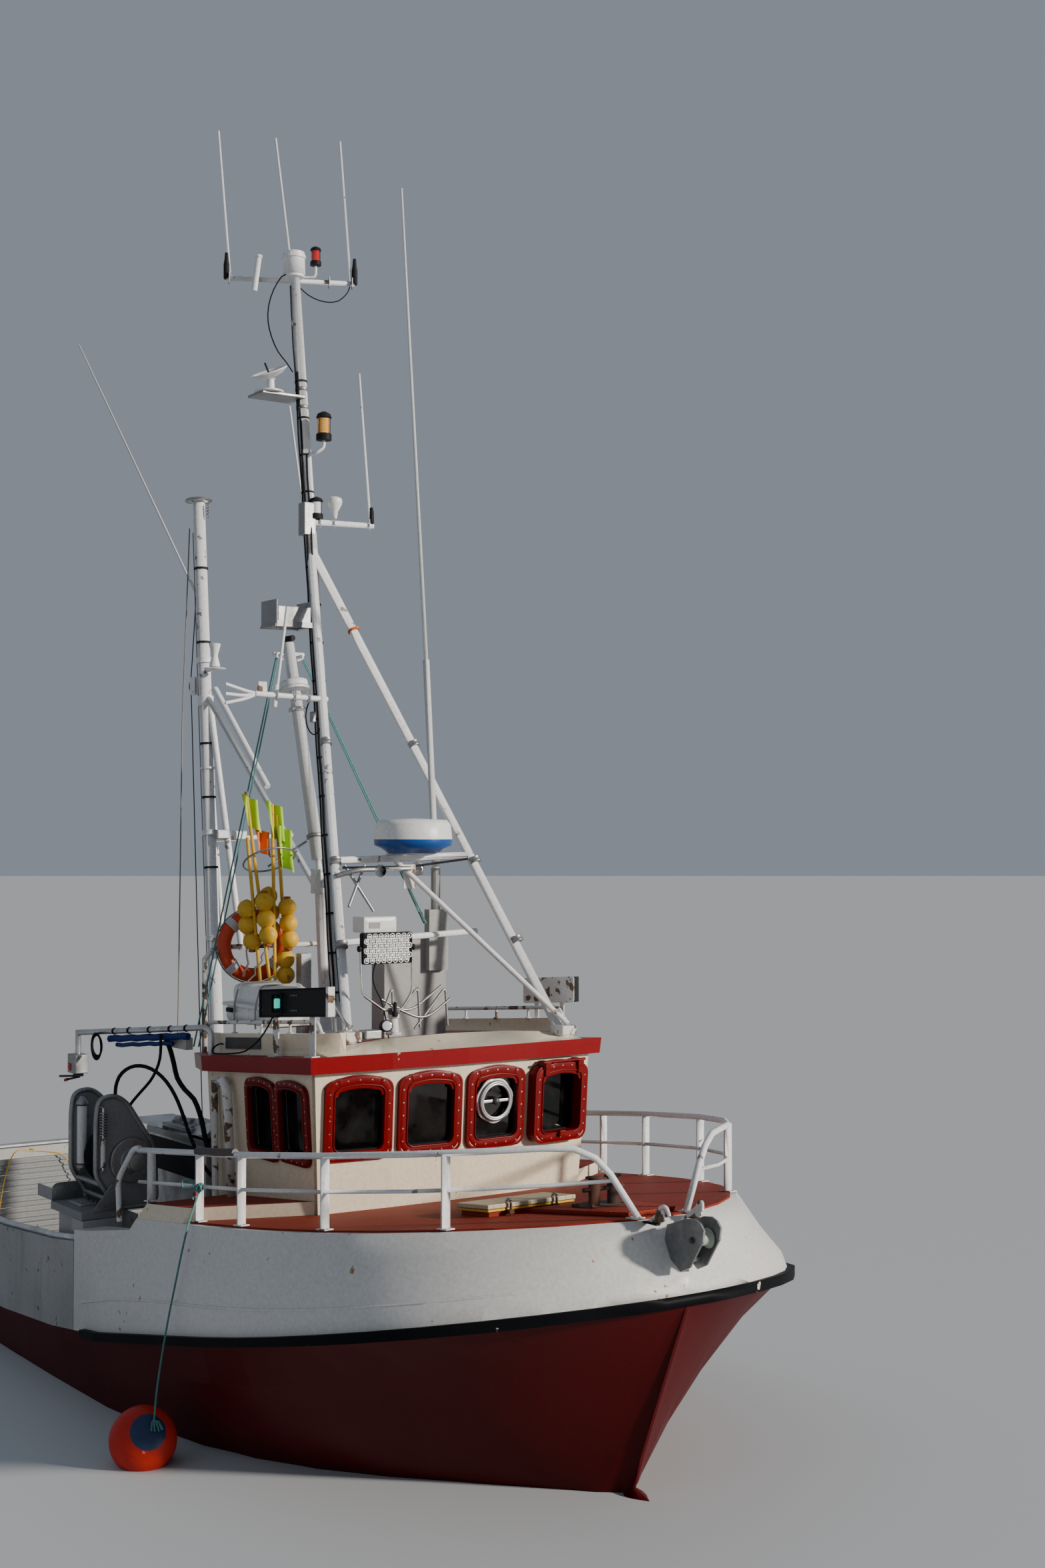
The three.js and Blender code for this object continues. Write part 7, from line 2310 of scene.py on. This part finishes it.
doubler = cut_plate(
    "doubler", [(4.150, -0.345), (5.060, -0.200), (5.060, 0.200), (4.150, 0.345)], 0.034, 0.010)
coat(doubler, "deck_nonslip").data.materials.append(finish["deck_red"])
paint_faces(doubler, 1, lambda place, normal: normal.z < 0.5)
fit(on_deck(doubler), "boat", "foredeck")
tops = [
    coat(
        turned(
            "top", [(0.040, 0), (0.062, 0.004), (0.062, 0.016), (0.056, 0.020)], 24, (4.525, y, 0.218)),
        "rusty_steel")
    for y in (-0.078, 0.078)]
base_bolts = bolts(
    "base_bolts", [((x, y, 0.046), UP) for x in (4.44, 4.61) for y in (-0.16, 0.16)], 0.013, "rusty_steel"
)
fit(on_deck(joined("bitts_tops", [*tops, base_bolts])), "boat", "bitts")
print("hatch and bitts fitted")

# %% [markdown]
# The anchor roller runs between two cheek plates, which take a paler finish along their cut edges.
# Beside each cheek a small fairlead horn is welded to the deck's edge. The line of the fender is
# made fast to the middle rail by a bow knot with a red bead on it.

# %% Stem fittings
cheeks = skin("roller_cheeks", 20, "weathered_zinc", "galvanised")
# The cut edges, the faces that look neither to port nor to starboard, take the paler galvanised finish.
paint_faces(cheeks, 1, lambda place, normal: abs(normal.y) < 0.7)
nuts = [coat(turned("nut", [(0.026, 0), (0.026, 0.004), (0.016, 0.006), (0.016, 0.016), (0.010, 0.019)], 6,
                    (5.555, side * 0.076, 1.796), (0, side, 0)), "dark_iron") for side in (-1, 1)]
fit(joined("anchor_roller_cheeks", [cheeks, *nuts]), "boat", "roller_cheeks", ["roller_cheeks"])
fit(skin("bow_roller", 30, "roller_green"), "bow_roller", "bow_roller", ["bow_roller"])
horns = []
for side in (-1, 1):
    fin = cut_plate(
        "fin",
        [(5.200, 1.872), (5.330, 1.872), (5.392, 1.905), (5.372, 1.968), (5.335, 1.960), (5.250, 1.900)],
        0.014)
    horns.append(coat(stand(fin, (0, side * 0.150, 0), AHEAD, UP), "flaking_white"))
    hoop = [
        (5.300, side * 0.165, 1.900), (5.335, side * 0.162, 1.985), (5.385, side * 0.150, 1.990),
        (5.400, side * 0.135, 1.930)]
    horns.append(coat(pipe("hoop", rounded(hoop, 0.035), 0.013), "flaking_white"))
    horns.append(
        coat(
            block("gap", (5.180, side * 0.170 - 0.020, 1.862), (5.330, side * 0.170 + 0.020, 1.874)),
            "black_rubber"))
fit(joined("fairlead_horns", horns), "boat", "roller_cheeks")

knot = Vector((2.118, -1.846, 1.812))
turns = []
for count in range(3):
    ring = [
        knot + Vector((0.018 * count - 0.020, 0.024 * math.cos(a) + 0.012, 0.024 * math.sin(a)))
        for a in [math.tau * step_on / 12 for step_on in range(13)]]
    turns.append(coat(pipe("turn", ring, 0.007, roundness=2), "teal_rope"))
EARS = [
    [
        (0.00, -0.02, 0.00), (-0.10, -0.03, 0.04), (-0.21, -0.03, 0.02), (-0.20, -0.03, -0.03),
        (-0.10, -0.03, -0.02), (0, -0.02, 0)],
    [
        (0.00, -0.02, 0.00), (0.05, -0.03, 0.03), (0.10, -0.03, 0.01), (0.06, -0.03, -0.03),
        (0.00, -0.02, 0.0)],
    [(0.00, -0.02, 0.00), (-0.02, -0.04, -0.05), (-0.03, -0.03, -0.09)],
]
for ear in EARS:
    line = flowing([knot + Vector(spot) for spot in ear], 4)
    turns.append(coat(pipe("ear", line, 0.0068, roundness=2), "teal_rope"))
bead = turned(
    "bead", [(0.006, -0.013), (0.014, -0.008), (0.017, 0.0), (0.014, 0.008), (0.006, 0.013)], 14,
    knot + Vector((0, -0.026, -0.050)))
turns.append(coat(bead, "signal_red"))
fit(joined("bow_knot", turns), "boat", "bow_rail_starboard")
print("stem fittings and bow knot fitted")

# %% [markdown]
# ## The fender
# An inflated ball fender: a red sphere with a navy end and a moulded rope eye on top. A plain
# sphere takes the navy on its end, and a few teal strands stand for the frayed end of its line;
# the eye is not modelled.

# %% Fender ball
begin()
BALL = Vector((2.410, -2.402, 0.165))
BALL_RADIUS = 0.235
CAP_FACES = Vector((0.842, -0.191, 0.504))
bpy.ops.mesh.primitive_uv_sphere_add(segments=48, ring_count=28, radius=BALL_RADIUS)
ball = bpy.context.object
coat(smooth(ball, 60), "fender_red")
ball.data.materials.append(finish["navy_blue"])
paint_faces(ball, 1, lambda place, normal: normal.z > 0.85)
ball.data.transform(Matrix.Translation(BALL) @ CAP_FACES.to_track_quat("Z", "Y").to_matrix().to_4x4())
print("ball", [round(value, 3) for value in BALL])
LINE_END = BALL + Vector((0.70, 0.02, 0.715)).normalized() * BALL_RADIUS
strands = []
for count in range(9):
    turn = math.tau * count / 9
    out = Vector((0.020 * math.cos(turn) + 0.012, 0.026 * math.sin(turn), 0))
    strand = [
        LINE_END + Vector((0.004, 0, 0.010)), LINE_END + out + Vector((0.018, 0, 0.0)),
        LINE_END + out * 1.6 + Vector((0.034, 0, -0.045))]
    strands.append(coat(pipe("strand", strand, 0.0055, roundness=2), "teal_rope"))
fit(joined("fender_ball", [ball, *strands]), "boat", "fender", ["fender"])

# %% [markdown]
# ## Buoys, marker poles and lifebuoy
# Marker poles stand in a galvanised ring behind the roof. Each pole is a yellow tube with a string
# of round floats lashed on by red cord, and a lime flag rolled round its top. A float is a sphere
# with a moulded neck at each end, modelled once and copied.

# %% Floats and poles
POLES = [
    # foot, top
    ((0.700, -0.624, 3.160), (0.700, -0.745, 4.333)),
    ((0.720, -0.547, 3.160), (0.700, -0.758, 4.709)),
    ((0.740, -0.507, 3.160), (0.700, -0.519, 4.606)),
    ((0.690, -0.365, 3.100), (0.700, -0.476, 4.520)),
]
FLOATS = [
    # x, y, z of each float
    (0.760, -0.619, 3.808), (0.765, -0.607, 3.667), (0.770, -0.588, 3.536), (0.650, -0.672, 3.485),
     (0.640, -0.521, 3.850),
    (0.760, -0.409, 3.758), (0.765, -0.399, 3.627), (0.765, -0.389, 3.496), (0.720, -0.401, 3.330),
     (0.720, -0.400, 3.200),
    (0.640, -0.719, 3.747), (0.630, -0.707, 3.616), (0.650, -0.505, 3.715), (0.650, -0.500, 3.580),
]
pole_parts = [coat(rod("pole", foot, top, 0.0145, sides=10), "float_yellow") for foot, top in POLES]
begin()
bpy.ops.mesh.primitive_uv_sphere_add(segments=28, ring_count=18, radius=0.076)
model = bpy.context.object
choose(model, "VERT", lambda place, normal: abs(place.z) > 0.068)
bpy.ops.transform.resize(value=(0.7, 0.7, 1.06), center_override=(0, 0, 0))
done()
coat(smooth(model, 60), "float_yellow")
pole_parts += copies(
    model, [(spot, (0.06, 0.05 * (index % 3 - 1), 1)) for index, spot in enumerate(FLOATS)])
for spot in (FLOATS[2], FLOATS[3], FLOATS[7], FLOATS[0], FLOATS[5]):
    for level in (-0.082, 0.080):
        ring = [Vector(spot) + Vector((0.020 * math.cos(a), 0.020 * math.sin(a), level)) for a in
                [math.tau * count / 12 for count in range(13)]]
        pole_parts.append(coat(pipe("lashing", ring, 0.010, roundness=2), "orange_rope"))
for start, end in (((0.70, -0.65, 3.93), (0.66, -0.745, 3.20)), ((0.73, -0.50, 3.55), (0.70, -0.72, 3.16))):
    line = [
        Vector(start).lerp(Vector(end), c / 14) + Vector((0, 0.018 * math.sin(c * 1.7), 0))
        for c in range(15)]
    pole_parts.append(coat(pipe("loose_cord", line, 0.008, roundness=2), "grey_rope"))
ring = [(0.700 + 0.19 * math.cos(a), -0.545 + 0.215 * math.sin(a), 4.150 + 0.10 * math.cos(a)) for a in
        [math.tau * count / 36 for count in range(37)]]
pole_parts.append(coat(pipe("pole_ring", ring, 0.008), "galvanised"))
pole_parts.append(
    coat(rod("ring_arm", (0.535, -0.470, 4.090), (0.560, -0.120, 4.300), 0.010), "galvanised"))
fit(joined("marker_poles", pole_parts), "boat", "dan_buoys", ["dan_buoys"])
print("floats:", len(FLOATS))

# %% [markdown]
# A flag is thin cloth with no weight to speak of: it hangs in folds from its pole. A grid is bent
# fold by fold and left as a single surface.

# %% Flags
def flag(name, width, length, corner, lean, folds, depth, colour):
    """A hanging cloth of width by length from its upper corner, in folds."""
    begin()
    bpy.ops.mesh.primitive_grid_add(x_subdivisions=16, y_subdivisions=16, size=1)
    cloth = bpy.context.object
    cloth.name = name
    for point in cloth.data.vertices:
        u, v = point.co.x + 0.5, point.co.y + 0.5
        sway = math.sin(u * folds * math.tau + v * 2.0) * depth
        point.co = Vector(corner) + Vector(
            (sway, u * width * 0.62 + lean * v, -v * length - 0.25 * u * width))
    bpy.ops.object.shade_smooth()
    coat(cloth, colour)
    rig.ride(cloth, "boat")
    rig.slot(cloth, "dan_buoys")
    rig.sheet(cloth, flat=(width, length), held="hung", rests_on=["marker_poles"])
    return cloth


FLAGS = [
    # name, width, length, upper corner, lean, folds, depth, finish
    ("lime_flag_1", 0.24, 0.26, (0.700, -0.800, 4.690), 0.05, 1.5, 0.030, "lime_cloth"),
    ("lime_flag_2", 0.26, 0.30, (0.710, -0.590, 4.640), 0.06, 1.5, 0.034, "lime_cloth"),
    ("lime_flag_3", 0.24, 0.34, (0.730, -0.500, 4.440), 0.04, 1.5, 0.032, "lime_cloth"),
    ("orange_flag", 0.22, 0.20, (0.660, -0.660, 4.420), 0.03, 1.5, 0.030, "orange_cloth"),
]
flags = [flag(*row) for row in FLAGS]
print("flags:", [cloth.name for cloth in flags])

# %% Lifebuoy
RING_AT = Vector((0.489, -0.580, 3.440))
RING_TURN = Matrix.Rotation(-0.25, 4, "Z")
begin()
bpy.ops.mesh.primitive_torus_add(
    major_radius=0.245, minor_radius=0.058, major_segments=56, minor_segments=20)
ring = bpy.context.object
coat(smooth(ring, 60), "buoy_orange")
bands = []
for count in range(4):
    a = math.tau * count / 4 + 0.785
    spots = [
        (
            0.245 * math.cos(a) + 0.0605 * math.cos(b) * math.cos(a),
            0.245 * math.sin(a) + 0.0605 * math.cos(b) * math.sin(a), 0.0605 * math.sin(b))
        for b in [math.tau * c / 20 for c in range(21)]]
    for shift in (-0.024, -0.012, 0.0, 0.012, 0.024):
        side_step = Vector((-math.sin(a), math.cos(a), 0)) * shift
        bands.append(
            coat(
                pipe("band", [Vector(spot) + side_step for spot in spots], 0.0075, roundness=1),
                "reflective_tape"))
    line = [
        (0.312 * math.cos(a + c * 0.098), 0.312 * math.sin(a + c * 0.098), 0.012 * math.sin(c * 0.6))
        for c in range(17)]
    bands.append(coat(pipe("grab_line", line, 0.006, roundness=2), "grey_rope"))
buoy = joined("lifebuoy_ring", [ring, *bands])
buoy.data.transform(Matrix.Translation(RING_AT) @ RING_TURN @ Matrix.Rotation(math.radians(90), 4, "Y"))
fit(buoy, "boat", "lifebuoy", ["lifebuoy"])
print("lifebuoy fitted")

# %% [markdown]
# ## Hold boards and the crease of the topside
# Ribbed aluminium boards close off the aft end of the deck, one on another, with a thin yellow hose
# thrown over them. The topside has a pressed crease a hand above the rub rail: a slim bead lies on
# the plating there, found by looking in from the side at each step.

# %% Hold boards
BOARDS_X = -3.200
BOARD_HEIGHT = 0.155
board_parts = []
for index in range(6):
    foot = 0.326 + index * BOARD_HEIGHT
    board_parts.append(
        block("board", (BOARDS_X - 0.020, -1.600, foot), (BOARDS_X + 0.020, 0.600, foot + 0.148), 0.008))
    for level in (0.045, 0.100):
        low, high = (BOARDS_X + 0.014, -1.580, foot + level), (
            BOARDS_X + 0.034, 0.580, foot + level + 0.022)
        board_parts.append(block("rib", low, high, 0.006))
for y in (-1.610, 0.590):
    board_parts.append(
        block("post", (BOARDS_X - 0.035, y - 0.030, 0.326), (BOARDS_X + 0.045, y + 0.050, 1.280), 0.006))
for part in board_parts:
    coat(part, "machine_grey")
HOSE_OVER_BOARDS = [
    (-3.110, -1.450, 0.360), (-3.120, -1.420, 0.700), (-3.130, -1.360, 1.050), (-3.150, -1.280, 1.270),
    (-3.200, -1.180, 1.330), (-3.240, -1.050, 1.300), (-3.200, -0.900, 1.285), (-3.120, -0.760, 1.240),
    (-3.090, -0.620, 1.000), (-3.080, -0.560, 0.650), (-3.060, -0.520, 0.350),
]
board_parts.append(
    coat(pipe("thin_hose", flowing(HOSE_OVER_BOARDS, 3), 0.006, roundness=2), "float_yellow"))
fit(joined("hold_boards", board_parts), "boat", "working_deck")
print("board parts:", len(board_parts))

# %% Crease of the topside
plating = nodes["forecastle"]
corners = [plating.matrix_world @ point.co for point in plating.data.vertices]
faces_in = BVHTree.FromPolygons(corners, [face.vertices[:] for face in plating.data.polygons])
CREASE_LINE = [
    (0.64, -5, 0.735), (1.20, -5, 0.860), (2.00, -5, 1.000), (3.20, -5, 1.170), (4.20, -5, 1.335),
    (5.00, -5, 1.485),
]
crease = []
for spot in flowing(CREASE_LINE, 8):
    place, normal = faces_in.ray_cast(spot, ACROSS)[:2]
    if place:
        crease.append(place - 0.004 * normal)
fit(
    joined("topside_crease", [coat(pipe("bead", crease, 0.011, roundness=2), "topside_white")]), "boat",
    "forecastle")
print("crease points:", len(crease))

# %% [markdown]
# ## Declaring the cords
# Each cord gets its finish here and is declared with its true length and thickness, so that who uses
# the boat can swap it for a simulated one.

# %% Cord finishes and facts
for name, route, diameter, far_end, stiffness, lay in CORDS:
    coat(cords[name], "teal_rope" if name == "fender_line" else "black_rubber")
    line = flowing(route, 2)
    print(name, "is", round(length_of(line), 2), "m long,", diameter * 1000, "mm thick")
    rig.cord(cords[name], exit=line[0], length=length_of(line), diameter=diameter, far_end=far_end,
            stiffness=stiffness, lay=lay)
    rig.slot(cords[name], "hauler_hose" if "hose" in name else "main_mast")
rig.replaces(cords["hauler_hose_piece"], "hauler_hose")

# %% [markdown]
# ## The size
# The dressed boat must still be the size of its frame, so both sizes are written down.

# %% Sizes and finish
size_after = [list(corner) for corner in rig.bounds()]
with open("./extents.json", "w") as report:
    json.dump({"before": size_before, "after": size_after}, report)
print("size before:", size_before)
print("size after:", size_after)
